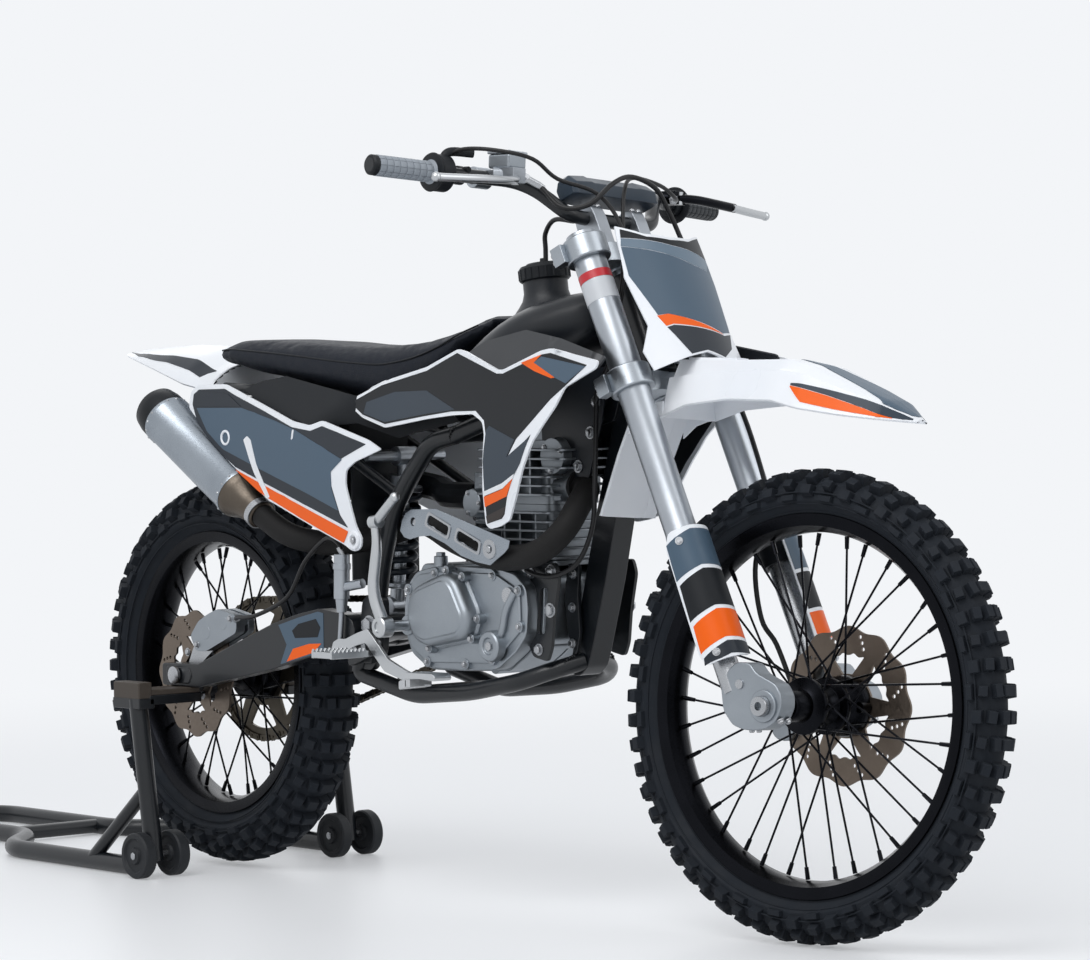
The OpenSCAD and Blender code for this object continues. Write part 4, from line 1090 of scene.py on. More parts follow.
def build_tank():
    """Tank lofted from rounded sections, with its neck and cap."""
    stations = ((612, 780, 812, 54), (640, 780, 824, 62), (700, 782, 860, 80), (760, 790, 892, 98),
                (820, 812, 926, 110), (870, 832, 948, 113),
                (910, 848, 960, 104), (950, 866, 967, 84), (985, 882, 972, 58), (1016, 906, 966, 36))
    bm = bmesh.new()
    sections = []
    for x, low, high, wide in stations:
        ring = []
        for k in range(32):
            a = math.tau * k / 32
            c, s = math.cos(a), math.sin(a)
            power = 0.62 if s > 0 else 0.5
            shoulder = 1.0 - 0.22 * max(0.0, s) ** 2
            ring.append((x, wide * shoulder * math.copysign(abs(c) ** power, c),
                         (low + high) / 2 + (high - low) / 2 * math.copysign(abs(s) ** 0.8, s)))
        sections.append(ring)
    bmesh_loft(bm, sections)
    on_chassis(bm, "fuel_tank_shell", *MOULDED, ("fuel_tank",), 50, 0.0, 2, 1)
    neck = BIKE @ Matrix.Translation((866, 0, 952)) @ Matrix.Rotation(math.radians(-8), 4, "Y")
    bm = bmesh.new()
    bmesh_lathe(bm, [(30, -26), (64, -26), (54, -12), (46, -2), (39, 8), (35.5, 20), (35.5, 40),
                     (30, 40)], steps=64, closed=True)
    finish_mesh(bm, "tank_neck", neck, "chassis", *MOULDED, (), 35)
    bm = bmesh.new()
    bmesh_lathe(bm, [(0.01, 38), (38, 38), (40, 40), (40, 58), (37, 62), (30, 63), (27, 66), (0.01, 66)],
                steps=60)
    for k in range(20):
        x, y = polar(39.6, math.tau * k / 20)
        bmesh_rod(bm, (x, y, 41), (x, y, 57), 2.0, 6)
    bmesh_rod(bm, (0, 0, 65), (0, 0, 74), 6, 16, 4.5)
    finish_mesh(bm, "tank_cap_shell", neck, "chassis", *NYLON, ("tank_cap",), 35)


# size of the cover's cloth mesh in metres, the pressure under it, and how many frames it is blown up for
COVER_VOXEL, COVER_PRESSURE, COVER_FRAMES = 0.0055, 3.5, 20


def build_seat(seating):
    """Foam seat under a stretched vinyl cover."""
    stations = ((88, 878, 893, 78), (104, 872, 899, 88), (140, 868, 903, 97), (200, 856, 903, 100),
                (265, 847, 900, 100), (335, 834, 897, 98),
                (400, 824, 892, 95), (470, 812, 889, 91), (534, 801, 889, 87), (585, 812, 891, 83),
                (629, 830, 895, 79), (675, 858, 904, 73),
                (718, 894, 914, 67), (760, 910, 927, 60), (796, 925, 938, 54))
    bm = bmesh.new()
    sections = []
    for x, low, high, wide in stations:
        ring = []
        for k in range(36):
            a = math.tau * k / 36
            c, s = math.cos(a), math.sin(a)
            ring.append((x, wide * math.copysign(abs(c) ** 0.5, c),
                         (low + high) / 2 + (high - low) / 2 * math.copysign(abs(s) ** 0.62, s)))
        sections.append(ring)
    bmesh_loft(bm, sections)
    seat = on_chassis(bm, "seat_cover", "seat_vinyl", "seat_vinyl", ("seat",), 180)
    swell(seat, COVER_VOXEL, COVER_PRESSURE, seating.swell)
    # sewn seam and piping round the edge of the top panel
    route = [Vector((x, -wide * 0.93, low + (high - low) * 0.70)) for x, low, high,
             wide in stations[1:-1]]
    bm = bmesh.new()
    bmesh_pipe(bm, smooth_route(route, 5), 1.5, 8)
    mirrored(bm)
    on_chassis(bm, "seat_piping", "seat_vinyl", "black_nylon", (), 60)


def swell(piece, voxel, pressure, most):
    """Blows a cover up from inside like stretched cloth, with each point held to a largest travel."""
    mesh = piece.data
    bpy.context.view_layer.objects.active = piece
    piece.select_set(True)
    remesh = piece.modifiers.new("Remesh", "REMESH")
    remesh.mode = "VOXEL"
    remesh.voxel_size = voxel
    bpy.ops.object.modifier_apply(modifier=remesh.name)
    start_ = [v.co.copy() for v in mesh.vertices]
    cloth = piece.modifiers.new("Cloth", "CLOTH")
    cloth.settings.use_pressure = True
    cloth.settings.uniform_pressure_force = pressure
    cloth.settings.effector_weights.gravity = 0.0
    cloth.point_cache.frame_start, cloth.point_cache.frame_end = 1, COVER_FRAMES
    scene = bpy.context.scene
    for number in range(1, COVER_FRAMES + 1):
        scene.frame_set(number)
    blown = piece.evaluated_get(bpy.context.evaluated_depsgraph_get())
    places = [v.co.copy() for v in blown.to_mesh().vertices]
    blown.to_mesh_clear()
    piece.modifiers.remove(cloth)
    scene.frame_set(1)
    for v, home, new in zip(mesh.vertices, start_, places):
        step = new - home
        v.co = home + (step.normalized() * min(step.length, most) if step.length > 1e-7 else step)
    for polygon in mesh.polygons:
        polygon.use_smooth = True
    mod = piece.modifiers.new("Subdivision", "SUBSURF")
    mod.levels = mod.render_levels = 1


# ---- steering group ----
BAR_BEND, BAR_RISE = (909.6, 255, 1130.7), (975, 150, 1126)
BAR_END, GRIP_IN = (887, 402, 1132), (905, 285, 1131)


def on_bar(y):
    """The point of the handlebar at a distance y along its straight outer part."""
    t = (abs(y) - BAR_BEND[1]) / (BAR_END[1] - BAR_BEND[1])
    a, b = Vector(BAR_BEND), Vector(BAR_END)
    p = a + (b - a) * t
    return Vector((p.x, math.copysign(p.y, y), p.z))


def build_fork():
    """Fork tubes, sliders, caps, axle lugs and axle."""
    for side in (1, -1):
        at = Matrix.Translation((FORK_OFFSET, side * FORK_HALF, 0))
        word = "left" if side > 0 else "right"
        bm = bmesh.new()
        tube = [(0.01, -432), (22, -432), (25.6, -428), (25.6, -404), (24.6, -396), (24.6, -180),
                (25.4, -176), (25.4, 96),
                (24.4, 100), (21, 101.4), (0.01, 101.4)]
        bmesh_lathe(bm, tube, at, 56)
        on_stem(bm, "fork_tube_" + word, "bright_aluminium", "anodised_aluminium",
                ("fork_tubes",) if side > 0 else (), 32)
        bm = bmesh.new()
        bmesh_lathe(bm, [(19.5, -446), (25.9, -446), (26.3, -436), (26.3, -416), (25.7, -410),
                         (25, -410), (19.5, -440)], at, 48, True)
        on_stem(bm, "fork_seal_" + word, *NYLON, (), 32)
        bm = bmesh.new()
        bmesh_rod(bm, (FORK_OFFSET, side * FORK_HALF, 99), (FORK_OFFSET, side * FORK_HALF, 104), 14, 6)
        bmesh_rod(bm, (FORK_OFFSET, side * FORK_HALF, 104), (FORK_OFFSET, side * FORK_HALF, 108), 7.5,
                  20, 6.5)
        on_stem(bm, "fork_cap_" + word, "bright_aluminium", "black_anodised", (), 32, 0.5, 2)
        bm = bmesh.new()
        bmesh_lathe(bm, [(0.01, -655), (18.6, -655), (18.6, -430), (0.01, -430)], at, 48)
        on_stem(bm, "fork_slider_" + word, *ZINC, ("fork_legs",) if side > 0 else (), 32)
        for name, low, high, material in (("red_band", 20, 33, "red_film"),
                                          ("pale_band", -15, 19, "label_film")):
            bm = bmesh.new()
            bmesh_lathe(bm, [(25.3, low), (25.9, low), (25.9, high), (25.3, high)], at, 48, True)
            on_stem(bm, "fork_" + name + "_" + word, "white_plastic", material, (), 32)
    # axle lugs, with their split clamp and pinch bolts
    lug = [(1368, 374), (1382, 402), (1396, 412), (1420, 412), (1434, 397), (1470, 383), (1481, 367),
           (1482, 350), (1473, 330),
           (1456, 318), (1436, 314), (1412, 314), (1392, 320), (1374, 340)]
    bm = bmesh.new()
    bmesh_plate(bm, round_corners(lug, 6.0, 2), 88, 122)
    bmesh_rod(bm, (WHEELBASE, 82, FRONT_R), (WHEELBASE, 126, FRONT_R), 24, 40)
    mirrored(bm)
    on_fork(bm, "axle_lugs", "bright_aluminium", "cast_aluminium", (), 32, 2.2, 3)
    bm = bmesh.new()
    for y in (96, 113):
        bmesh_bolt(bm, (1422, y, 316), (0.1, 0, -1), 4.0, 5)
        bmesh_bolt(bm, (1474, y, 331), (0.6, 0, -1), 4.0, 5)
    bmesh_rod(bm, (1404, 121, 380), (1404, 124.6, 380), 7, 16)
    mirrored(bm)
    on_fork(bm, "axle_lug_bolts", *ZINC, (), 32, 0.3, 1)
    # axle: hollow, with a flanged nut on the left
    bm = bmesh.new()
    bmesh_lathe(bm, [(6.2, -136), (14, -136), (15, -134), (15, -127), (10, -126.4), (10, 126.4),
                     (16, 126.6), (16, 129), (14.5, 130),
                     (14.5, 136), (6.2, 136)], steps=40, closed=True)
    finish_mesh(bm, "front_axle_shaft", FRONT_WHEEL, "fork", *ZINC, (), 32)


# the fork guards' films along the leg, and the guards' radius round it
GUARD_TOP, GUARD_LONG, GUARD_R = -406, 203, 39.2


def build_fork_guards():
    """Curved shields on the lower legs, in three colours with pale lines between."""
    zones = (("slate", "slate_film", 0.0, 0.30), ("black", "black_nylon", 0.32, 0.62),
             ("orange", "orange_film", 0.64, 0.87),
             ("foot", "charcoal_film", 0.89, 1.0))

    def shield(u, v, grow=0.0):
        a = math.radians(u)
        r = GUARD_R + grow
        return (FORK_OFFSET + r * math.cos(a), FORK_HALF + r * math.sin(a), v)

    edge = [(-30, -404), (30, -400), (84, -402), (104, -424), (108, -500), (112, -590), (96, -611),
            (-20, -611), (-33, -590), (-29, -500)]
    bm = bmesh.new()
    bmesh_panel(bm, round_corners(edge, 8.0, 2), shield, 3.0, 11.0, facing=(1, 0.4, 0))
    mirrored(bm)
    on_stem(bm, "fork_guard_shells", "black_plastic", "white_polypropylene", ("fork_guards",), 32, 0.8, 2)
    for name, material, t0, t1 in zones:
        top, foot = GUARD_TOP - GUARD_LONG * t0, GUARD_TOP - GUARD_LONG * t1
        bm = bmesh.new()
        bmesh_panel(bm, [(-26, top - 4), (34, top + (1 if t0 else 0)), (98, top - 12), (103, foot - 8),
                         (34, foot + 3), (-25, foot - 2)],
                    lambda u, v: shield(u, max(v, GUARD_TOP - GUARD_LONG)), 0.5, 11.0, 0.5,
                    facing=(1, 0.4, 0))
        mirrored(bm)
        on_stem(bm, "fork_guard_" + name, "white_plastic", material)
    bm = bmesh.new()
    for u, v in ((64, -598), (64, -420)):
        p, q = Vector(shield(u, v)), Vector(shield(u, v, 5))
        bmesh_bolt(bm, p, q - p, 4.2, 3.2)
    mirrored(bm)
    on_stem(bm, "fork_guard_bolts", *ZINC)


def build_clamps():
    """Upper and lower clamps round the fork tubes, with pinch bolts and the bar clamps."""
    bm = bmesh.new()
    for low, high in ((-164, -128), (56, 92)):
        for side in (1, -1):
            at = Matrix.Translation((FORK_OFFSET, side * FORK_HALF, 0))
            bmesh_lathe(bm, [(25.6, low), (33, low), (34.6, low + 2), (34.6, high - 2), (33, high),
                             (25.6, high)], at, 48, True)
            bmesh_side_box(bm, side, (-14, 8), (128, 146), (low + 3, high - 3))
        outline = [(-10, -78), (-24, -40), (-27, 0), (-24, 40), (-10, 78), (22, 84), (34, 50), (30, 0),
                   (34, -50), (22, -84)]
        bmesh_flat(bm, round_corners(outline, 8.0, 3), low + 2, high - 2)
        bmesh_rod(bm, (0, 0, low), (0, 0, high), 29, 48)
    on_stem(bm, "clamp_bridges", "bright_aluminium", "machined_aluminium", ("triple_clamps",), 32, 1.6, 2)
    bm = bmesh.new()
    for low, high in ((-164, -128), (56, 92)):
        for side in (1, -1):
            for w in (low + 12, high - 12):
                bmesh_bolt(bm, (-13, side * 138, w), (-1, 0, 0), 4.4, 5)
    bmesh_rod(bm, (0, 0, 90), (0, 0, 99), 19, 6)
    bmesh_rod(bm, (0, 0, 99), (0, 0, 102), 13, 32)
    on_stem(bm, "clamp_bolts", *ZINC, (), 32, 0.4, 1)
    bm = bmesh.new()
    bmesh_rod(bm, (0, 0, -168), (0, 0, 90), 14.6, 40)
    for side in (1, -1):
        y = side * 48
        outline = [(-15, 90), (27, 90), (27, 138), (24, 156), (12, 161), (0, 161), (-11, 156), (-15, 138)]
        bmesh_plate(bm, round_corners(outline, 5.0, 3), y - 13.5, y + 13.5)
    on_stem(bm, "bar_clamps", "bright_aluminium", "anodised_aluminium", (), 32, 1.2, 2)
    bm = bmesh.new()
    for side in (1, -1):
        for u in (-9, 21):
            for y in (41, 55):
                bmesh_bolt(bm, (u, side * y, 156), (0, 0, 1), 3.4, 4)
    on_stem(bm, "bar_clamp_bolts", *ZINC)


def build_handlebar():
    """Bent handlebar with its faceted pad."""
    half = [BAR_END, BAR_BEND, BAR_RISE, (1018, 98, 1079), (1020, 60, 1076)]
    right = [(x, -y, z) for x, y, z in half]
    route = rounded(right + half[::-1], 46.0, 8)
    bm = bmesh.new()
    bmesh_pipe(bm, route, 10.9, 28)
    on_fork(bm, "handlebar_tube", *ENAMEL, ("handlebar",), 35)
    # faceted pad over the clamps
    pad = Matrix.Translation((1012, 0, 1112)) @ Matrix.Rotation(math.radians(-24), 4, "Y")
    profile = [(-20, -9), (-22, 14), (-12, 29.6), (10, 29.6), (24, 12), (22, -9)]
    bm = bmesh.new()
    sections = []
    for y, k in ((-100, 0.72), (-92, 0.92), (-58, 1.0), (-50, 0.94), (50, 0.94), (58, 1.0), (92, 0.92),
                 (100, 0.72)):
        sections.append([pad @ Vector((a * k, y, b * k)) for a, b in profile])
    bmesh_loft(bm, sections)
    on_fork(bm, "bar_pad_block", "black_plastic", "slate_dark_film", ("bar_pad",), 20, 1.6, 3)
    bm = bmesh.new()
    for y in (-74, -30, 30, 74):
        spot = pad @ Vector((0, y, 28.4))
        bmesh_rod(bm, spot, pad @ Vector((0, y, 30.2)), 5, 20)
    on_fork(bm, "bar_pad_buttons", *NYLON, (), 35, 0.4, 1)


def build_grips():
    """Moulded grips: square blocks in rings, a flange inside and a black end plug."""
    for side, word in ((1, "left"), (-1, "right")):
        a = Vector((BAR_END[0], side * BAR_END[1], BAR_END[2]))
        b = Vector((GRIP_IN[0], side * GRIP_IN[1], GRIP_IN[2]))
        length = (b - a).length
        turn = aimed(a, b)
        bm = bmesh.new()
        bmesh_lathe(bm, [(11, 8), (14.9, 8), (14.9, length - 7), (17, length - 5), (19, length - 3),
                         (11, length - 3)], turn, 48, True)
        for j in range(8):
            low = 10.6 + j * 12.5
            ring = [(15.0, low), (15.9, low + 0.4), (16.2, low + 1.2), (16.2, low + 10.6),
                    (15.9, low + 11.4), (15.0, low + 11.8)]
            for k in range(10):
                a0, a1 = math.tau * (k + 0.035) / 10, math.tau * (k + 0.965) / 10
                sections = [[turn @ Vector((*polar(r, a0 + (a1 - a0) * i / 4), z)) for r,
                             z in [(14.4, low)] + ring + [(14.4, low + 11.8)]]
                            for i in range(5)]
                bmesh_loft(bm, sections)
        # the left grip takes the darker rubber as painted shade, and the right grip the grey rubber
        on_fork(bm, "grip_" + word, "grip_rubber", "dark_grip_rubber" if side > 0 else "grey_rubber",
                    ("grips",) if side > 0 else (), 35)
        bm = bmesh.new()
        bmesh_lathe(bm, [(0.01, 0.2), (13, 0.2), (15.6, 2.5), (15.8, 10), (0.01, 10)], turn, 40)
        bmesh_lathe(bm, [(11.3, length - 3), (24, length - 2.8), (29, length - 2), (30, length),
                         (29, length + 2), (11.3, length + 2)], turn, 48, True)
        on_fork(bm, "grip_end_" + word, *NYLON, (), 35)


def ring_clamp(bm, y0, y1, grow):
    """Split ring round the bar between two distances along it."""
    a, b = on_bar(y0), on_bar(y1)
    turn = aimed(a, b)
    long = (b - a).length
    bmesh_lathe(bm, [(11, 0), (grow - 1, 0), (grow, 1), (grow, long - 1), (grow - 1, long), (11, long)],
                turn, 40, True)


def blade(bm, route, wide, thick):
    """Flattened lever blade with a ball at its tip."""
    p = smooth_route(route, 6)
    angles = [math.tau * k / 14 for k in range(14)]
    sections = []
    for i, at in enumerate(p):
        along = (p[min(i + 1, len(p) - 1)] - p[max(i - 1, 0)]).normalized()
        side = along.cross(Vector((0, 0, 1))).normalized()
        up = side.cross(along)
        t = i / (len(p) - 1)
        w = wide * (1.0 - 0.38 * t)
        sections.append([at + w * math.cos(a) * side + thick * math.sin(a) * up for a in angles])
    bmesh_loft(bm, sections)
    bmesh.ops.create_uvsphere(bm, u_segments=20, v_segments=12, radius=7.4,
                              matrix=Matrix.Translation(p[-1]))


def build_controls():
    """Brake and clutch levers, throttle housing and switches."""
    # front brake: master cylinder on the right
    bm = bmesh.new()
    bmesh_rod(bm, (958, -206, 1133), (958 + 26, -180, 1133), 12, 28)
    bmesh_box(bm, (962, -204, 1120), (998, -176, 1143))
    ring_clamp(bm, -178, -208, 16.6)
    bmesh_box(bm, (922, -206, 1120), (966, -180, 1140))
    on_fork(bm, "brake_body", "forged_aluminium", "anodised_aluminium", ("front_brake_lever",), 32, 2.4,
            3)
    bm = bmesh.new()
    bmesh_box(bm, (946, -206, 1142), (990, -166, 1164))
    on_fork(bm, "brake_reservoir", "forged_aluminium", "cast_aluminium", (), 32, 4.0, 3)
    bm = bmesh.new()
    bmesh_box(bm, (945, -207, 1164), (991, -165, 1169))
    for x in (951, 985):
        for y in (-201, -171):
            bmesh_rod(bm, (x, y, 1167), (x, y, 1170), 3.0, 16)
    on_fork(bm, "brake_reservoir_lid", "forged_aluminium", "anodised_aluminium", (), 32, 1.6, 2)
    bm = bmesh.new()
    blade(bm, [(986, -184, 1127), (1003, -214, 1122), (1010, -252, 1119), (1010, -300, 1116),
               (1003, -350, 1113), (999, -374, 1112)], 8.4, 6.2)
    bmesh_rod(bm, (986, -186, 1118), (986, -186, 1138), 6, 20)
    on_fork(bm, "brake_lever_blade", *FORGED, (), 35)
    # throttle housing beside the right grip
    bm = bmesh.new()
    a, b = on_bar(-284), on_bar(-256)
    turn = aimed(a, b)
    bmesh_lathe(bm, [(11.2, 1), (27, 1), (28.5, 3), (28.5, 24), (24, 28), (11.2, 28)], turn, 40, True)
    elbow = [on_bar(-270) + Vector((4, 0, 8)), on_bar(-270) + Vector((6, 2, 24)),
             on_bar(-262) + Vector((10, 4, 33)),
             on_bar(-236) + Vector((24, 8, 33))]
    bmesh_pipe(bm, smooth_route(elbow, 6), 7, 16)
    on_fork(bm, "throttle_housing", *NYLON, (), 35, 0.8, 2)
    # clutch perch and lever on the left
    bm = bmesh.new()
    ring_clamp(bm, 182, 211, 16.6)
    bmesh_box(bm, (926, 184, 1122), (990, 212, 1143))
    bmesh_rod(bm, (990, 196, 1132), (958, 184, 1134), 7, 20)
    blade(bm, [(984, 200, 1132), (1001, 228, 1131), (1009, 262, 1128), (1012, 306, 1125)], 9.4, 7.4)
    on_fork(bm, "clutch_perch", "black_plastic", "black_anodised", ("clutch_lever",), 32, 1.6, 2)
    bm = bmesh.new()
    blade(bm, [(1012, 300, 1125), (1013, 352, 1121), (1013, 386, 1119)], 9.0, 6.4)
    bmesh_rod(bm, (986, 201, 1122), (986, 201, 1142), 6, 20)
    on_fork(bm, "clutch_lever_blade", *FORGED, (), 35)
    bm = bmesh.new()
    ring_clamp(bm, 268, 282, 18)
    bmesh_rod(bm, on_bar(-234) + Vector((6, 0, 6)), on_bar(-234) + Vector((22, 0, 8)), 7, 18, 5)
    ring_clamp(bm, -228, -240, 14.5)
    on_fork(bm, "switch_blocks", *NYLON, (), 35, 0.8, 2)


def hoses(name, node, routes, radius, matrix, body):
    """Sheathed cables or hoses along smooth routes."""
    bm = bmesh.new()
    for route in routes:
        bmesh_pipe(bm, smooth_route(route, 6), radius, 12)
    finish_mesh(bm, name, matrix, body, "hose_rubber", "cable_sheath", (node,) if node else (), 60)


def build_cables():
    """Brake hose, control cables and the vent tube, with their fittings."""
    hose = [(4, -170, 203), (12, -150, 186), (30, -141, 142), (62, -116, 131), (90, -77, 157),
            (98, -37, 168), (98, 11, 154),
            (88, 39, 124), (80, 57, 83), (80, 62, 40), (80, 66, -10),
            (80, 76, -80), (64, 82, -150), (66, 82, -250), (64, 74, -350), (52, 55, -395),
            (12, 54, -450), (-12, 62, -520),
            (-14, 80, -560), (-14, 84, -624)]
    hoses("brake_hose_sheath", "brake_hose", [hose], 3.9, ALONG, "fork")
    clutch = [(10, 172, 196), (50, 122, 172), (68, 68, 180), (76, -6, 181), (80, -44, 150),
              (66, -60, 90), (44, -64, 30),
              (12, -62, -20), (2, -60, -60)]
    throttle = [(-60, -262, 262), (-24, -254, 258), (20, -236, 234), (52, -200, 206), (44, -146, 182),
                (66, -92, 150), (74, -72, 90),
                (54, -74, 20), (16, -72, -30), (8, -70, -60)]
    hoses("control_cables", "bar_cables", [clutch, throttle], 3.2, ALONG, "fork")
    bm = bmesh.new()
    for at, on in ((Vector(hose[0]), Vector(hose[1])), (Vector(clutch[0]), Vector(clutch[1]))):
        step = (on - at).normalized()
        bmesh_rod(bm, at - step * 4, at + step * 26, 5.6, 16)
        bmesh_rod(bm, at + step * 26, at + step * 34, 5.0, 16, 4.2)
        bmesh_rod(bm, at - step * 4, at + step * 5, 7.6, 6)
    on_stem(bm, "hose_fittings", *ZINC, (), 32)
    low = [(1050, -60, 815), (1052, -64, 770), (1060, -75, 675), (1053, -75, 609), (1031, -85, 556),
           (985, -92, 533), (940, -97, 534),
           (892, -94, 550), (850, -88, 556)]
    vent = [(863, 0, 1019), (863, 0, 1040), (868, -4, 1064), (900, -12, 1084), (948, -14, 1080)]
    hoses("clutch_cable_sheath", "clutch_cable", [low, vent], 3.9, BIKE, "chassis")
    # protective spring on the lower end of the clutch cable
    bm = bmesh.new()
    end = smooth_route(low, 12)[-20:]
    coil = []
    for i in range(len(end) - 1):
        for j in range(8):
            at = end[i] + (end[i + 1] - end[i]) * j / 8
            along = (end[i + 1] - end[i]).normalized()
            side = along.orthogonal().normalized()
            a = math.tau * (i * 8 + j) / 8
            coil.append(at + 5.0 * (math.cos(a) * side + math.sin(a) * along.cross(side)))
    bmesh_pipe(bm, coil, 0.9, 5)
    on_chassis(bm, "clutch_cable_spring", *ZINC, (), 60)
    # flexible run between the fork and the frame, beside the head tube
    bm = bmesh.new()
    meet = ALONG.inverted() @ BIKE
    sag = Vector((0, -4, 0))
    for k, cable in enumerate((clutch, throttle)):
        a = Vector(cable[-1])
        b = meet @ Vector((1050, -60 - 3 * k, 815 - 18 * k))
        bmesh_pipe(bm, smooth_route([a, a + (b - a) * 0.33 + sag, a + (b - a) * 0.66 + sag, b], 8), 3.2,
                   10)
    crossing = finish_mesh(bm, "cable_crossing", ALONG, "", "hose_rubber", "cable_sheath", (), 60)
    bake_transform(crossing)


def build_front_caliper():
    """Front caliper behind the disc, with its fixings."""
    body = [(1322, 302), (1316, 340), (1320, 356), (1334, 375), (1350, 374), (1364, 364), (1367, 320),
            (1360, 300), (1350, 292), (1332, 294)]
    bm = bmesh.new()
    bmesh_plate(bm, round_corners(body, 6.0, 2), 60, 71.6)
    bmesh_plate(bm, round_corners(body, 6.0, 2), 78.6, 98)
    bmesh_plate(bm, round_corners([(1317, 312), (1317, 358), (1328, 358), (1328, 312)], 3.0, 2), 66, 90)
    for z in (320, 350):
        bmesh_rod(bm, (1344, 96, z), (1344, 100, z), 11, 28)
    on_fork(bm, "front_caliper_body", "forged_aluminium", "cast_aluminium", ("front_caliper",), 32, 2.0,
            2)
    bm = bmesh.new()
    bmesh_plate(bm, round_corners([(1358, 330), (1358, 360), (1386, 384), (1398, 366), (1380, 344)], 5.0,
                                  2), 83, 91)
    for x, z in ((1328, 304), (1356, 358)):
        bmesh_bolt(bm, (x, 97, z), (0, 1, 0), 4.2, 4)
    bmesh_rod(bm, (1370, 86, 322), (1370, 86, 356), 5.0, 16)
    on_fork(bm, "front_caliper_fixings", *ZINC, (), 32, 0.6, 1)


# ---- frame, subframe and stand ----
def build_frame():
    """Frame tubes, plates, weld beads and bolts."""
    bm = bmesh.new()
    bmesh_lathe(bm, [(16, -121), (27, -121), (28.5, -119), (28.5, -108), (26.5, -104), (26.5, 32),
                     (28.5, 36), (28.5, 47), (27, 49), (16, 49)],
                TO_STEER, 48, True)
    downtube = [(1074, 868), (1102, 842), (1091, 820), (1056, 690), (1044, 619), (1020, 525), (983, 408),
                (975, 388), (958, 374), (945, 372),
                (934, 376), (932, 388), (958, 478), (999, 625), (1030, 727), (1056, 812)]
    bmesh_plate(bm, round_corners(downtube, 5.0, 2), -20.6, 20.6)
    for side in (1, -1):
        gusset = [(1078, 905), (1092, 868), (1070, 818), (1050, 770), (1012, 762), (1040, 812),
                  (1062, 860)]
        bmesh_plate(bm, round_corners(gusset, 6.0, 2), side * 20, side * 26)
        mount = [(972, 548), (945, 548), (936, 500), (942, 440), (962, 405), (972, 440), (968, 500)]
        bmesh_plate(bm, round_corners(mount, 5.0, 2), side * 28, side * 34)
        plate = [(480, 368), (528, 366), (558, 398), (563, 440), (561, 484), (536, 499), (506, 478),
                 (496, 420)]
        bmesh_plate(bm, round_corners(plate, 7.0, 3), side * 87.4, side * 100.6)
        bmesh_rod(bm, (525, side * 84.2, 440), (525, side * 100.2, 440), 24, 40)
    on_chassis(bm, "main_frame_plates", *ENAMEL, ("main_frame",), 32, 1.8, 2)
    bm = bmesh.new()
    for side in (1, -1):
        spar = [(1084, side * 14, 880), (960, side * 38, 836), (742, side * 92, 748)]
        bmesh_pipe(bm, smooth_route([Vector(p) for p in (spar[0], (970, side * 40, 833), spar[2])], 10),
                   14.6, 24)
        back = [(744, 92, 749), (690, 98, 738), (628, 99, 672), (592, 99, 630), (556, 97, 540),
                (540, 94, 476)]
        bmesh_pipe(bm, rounded([(x, side * y, z) for x, y, z in back], 26, 6), 14.8, 24)
        cradle = [(962, 16, 396), (935, 62, 382), (890, 88, 364), (769, 90, 342), (631, 90, 330),
                  (489, 94, 360), (500, 96, 386)]
        bmesh_pipe(bm, rounded([(x, side * y, z) for x, y, z in cradle], 28, 6), 13.8, 24)
    bmesh_rod(bm, (640, -92, 336), (640, 92, 336), 11, 24)
    bmesh_rod(bm, (742, -92, 748), (742, 92, 748), 12, 24)
    on_chassis(bm, "main_frame_tubes", *ENAMEL, (), 40)
    # weld beads where the tubes meet
    bm = bmesh.new()
    for side in (1, -1):
        for at, r in (((748, side * 91, 750), 15.6), ((1070, side * 17, 875), 15.6),
                      ((545, side * 95, 492), 15.6), ((952, side * 36, 391), 14.8)):
            for k in range(18):
                a = math.tau * k / 18
                spot = Vector(at) + Vector((math.sin(a) * r * 0.42, math.cos(a) * r,
                                            math.sin(a) * r * 0.9))
                bmesh.ops.create_icosphere(bm, subdivisions=1, radius=2.6,
                                           matrix=Matrix.Translation(spot))
    on_chassis(bm, "main_frame_welds", *ENAMEL, (), 80)
    bm = bmesh.new()
    for side in (1, -1):
        for x, z in ((1025, 807), (1056, 812), (1018, 774), (1076, 866)):
            bmesh_bolt(bm, (x, side * 26, z), (0, side, 0), 5.2, 5)
        for x, z in ((958, 532), (954, 424), (955, 480)):
            bmesh_bolt(bm, (x, side * 34, z), (0, side, 0), 5.4, 5)
        bmesh_bolt(bm, (525, side * 100.4, 440), (0, side, 0), 11, 9)
        for x, z in ((548, 410), (546, 478)):
            bmesh_bolt(bm, (x, side * 100.6, z), (0, side, 0), 5, 4.5)
    on_chassis(bm, "frame_bolts", *ZINC, (), 32, 0.4, 1)


def build_subframe():
    """Seat rails and the tray under the tail."""
    bm = bmesh.new()
    for side in (1, -1):
        rail = [(690, 74, 760), (534, 75, 776), (400, 75, 800), (250, 75, 820), (70, 70, 828)]
        bmesh_pipe(bm, rounded([(x, side * y, z) for x, y, z in rail], 40, 5), 9.8, 18)
        bmesh_rod(bm, (584, side * 84, 652), (215, side * 77, 820), 8.8, 18)
        bmesh_rod(bm, (690, side * 74, 762), (690, side * 87, 749), 5, 14)
    bmesh_rod(bm, (90, -70, 827), (90, 70, 827), 8, 18)
    bmesh_rod(bm, (400, -75, 800), (400, 75, 800), 8, 18)
    on_chassis(bm, "subframe_tubes", *ENAMEL, ("subframe",), 40)
    # inner mudguard and number-lamp block under the tail
    bm = bmesh.new()
    under = lambda u, v: (u, v, 812 - 22 * (v / 60) ** 2)
    bmesh_panel(bm, [(82, -58), (360, -58), (360, 58), (82, 58)], under, 3.0, 20.0)
    on_chassis(bm, "tail_tray", *NYLON, (), 35, 0.8, 1)


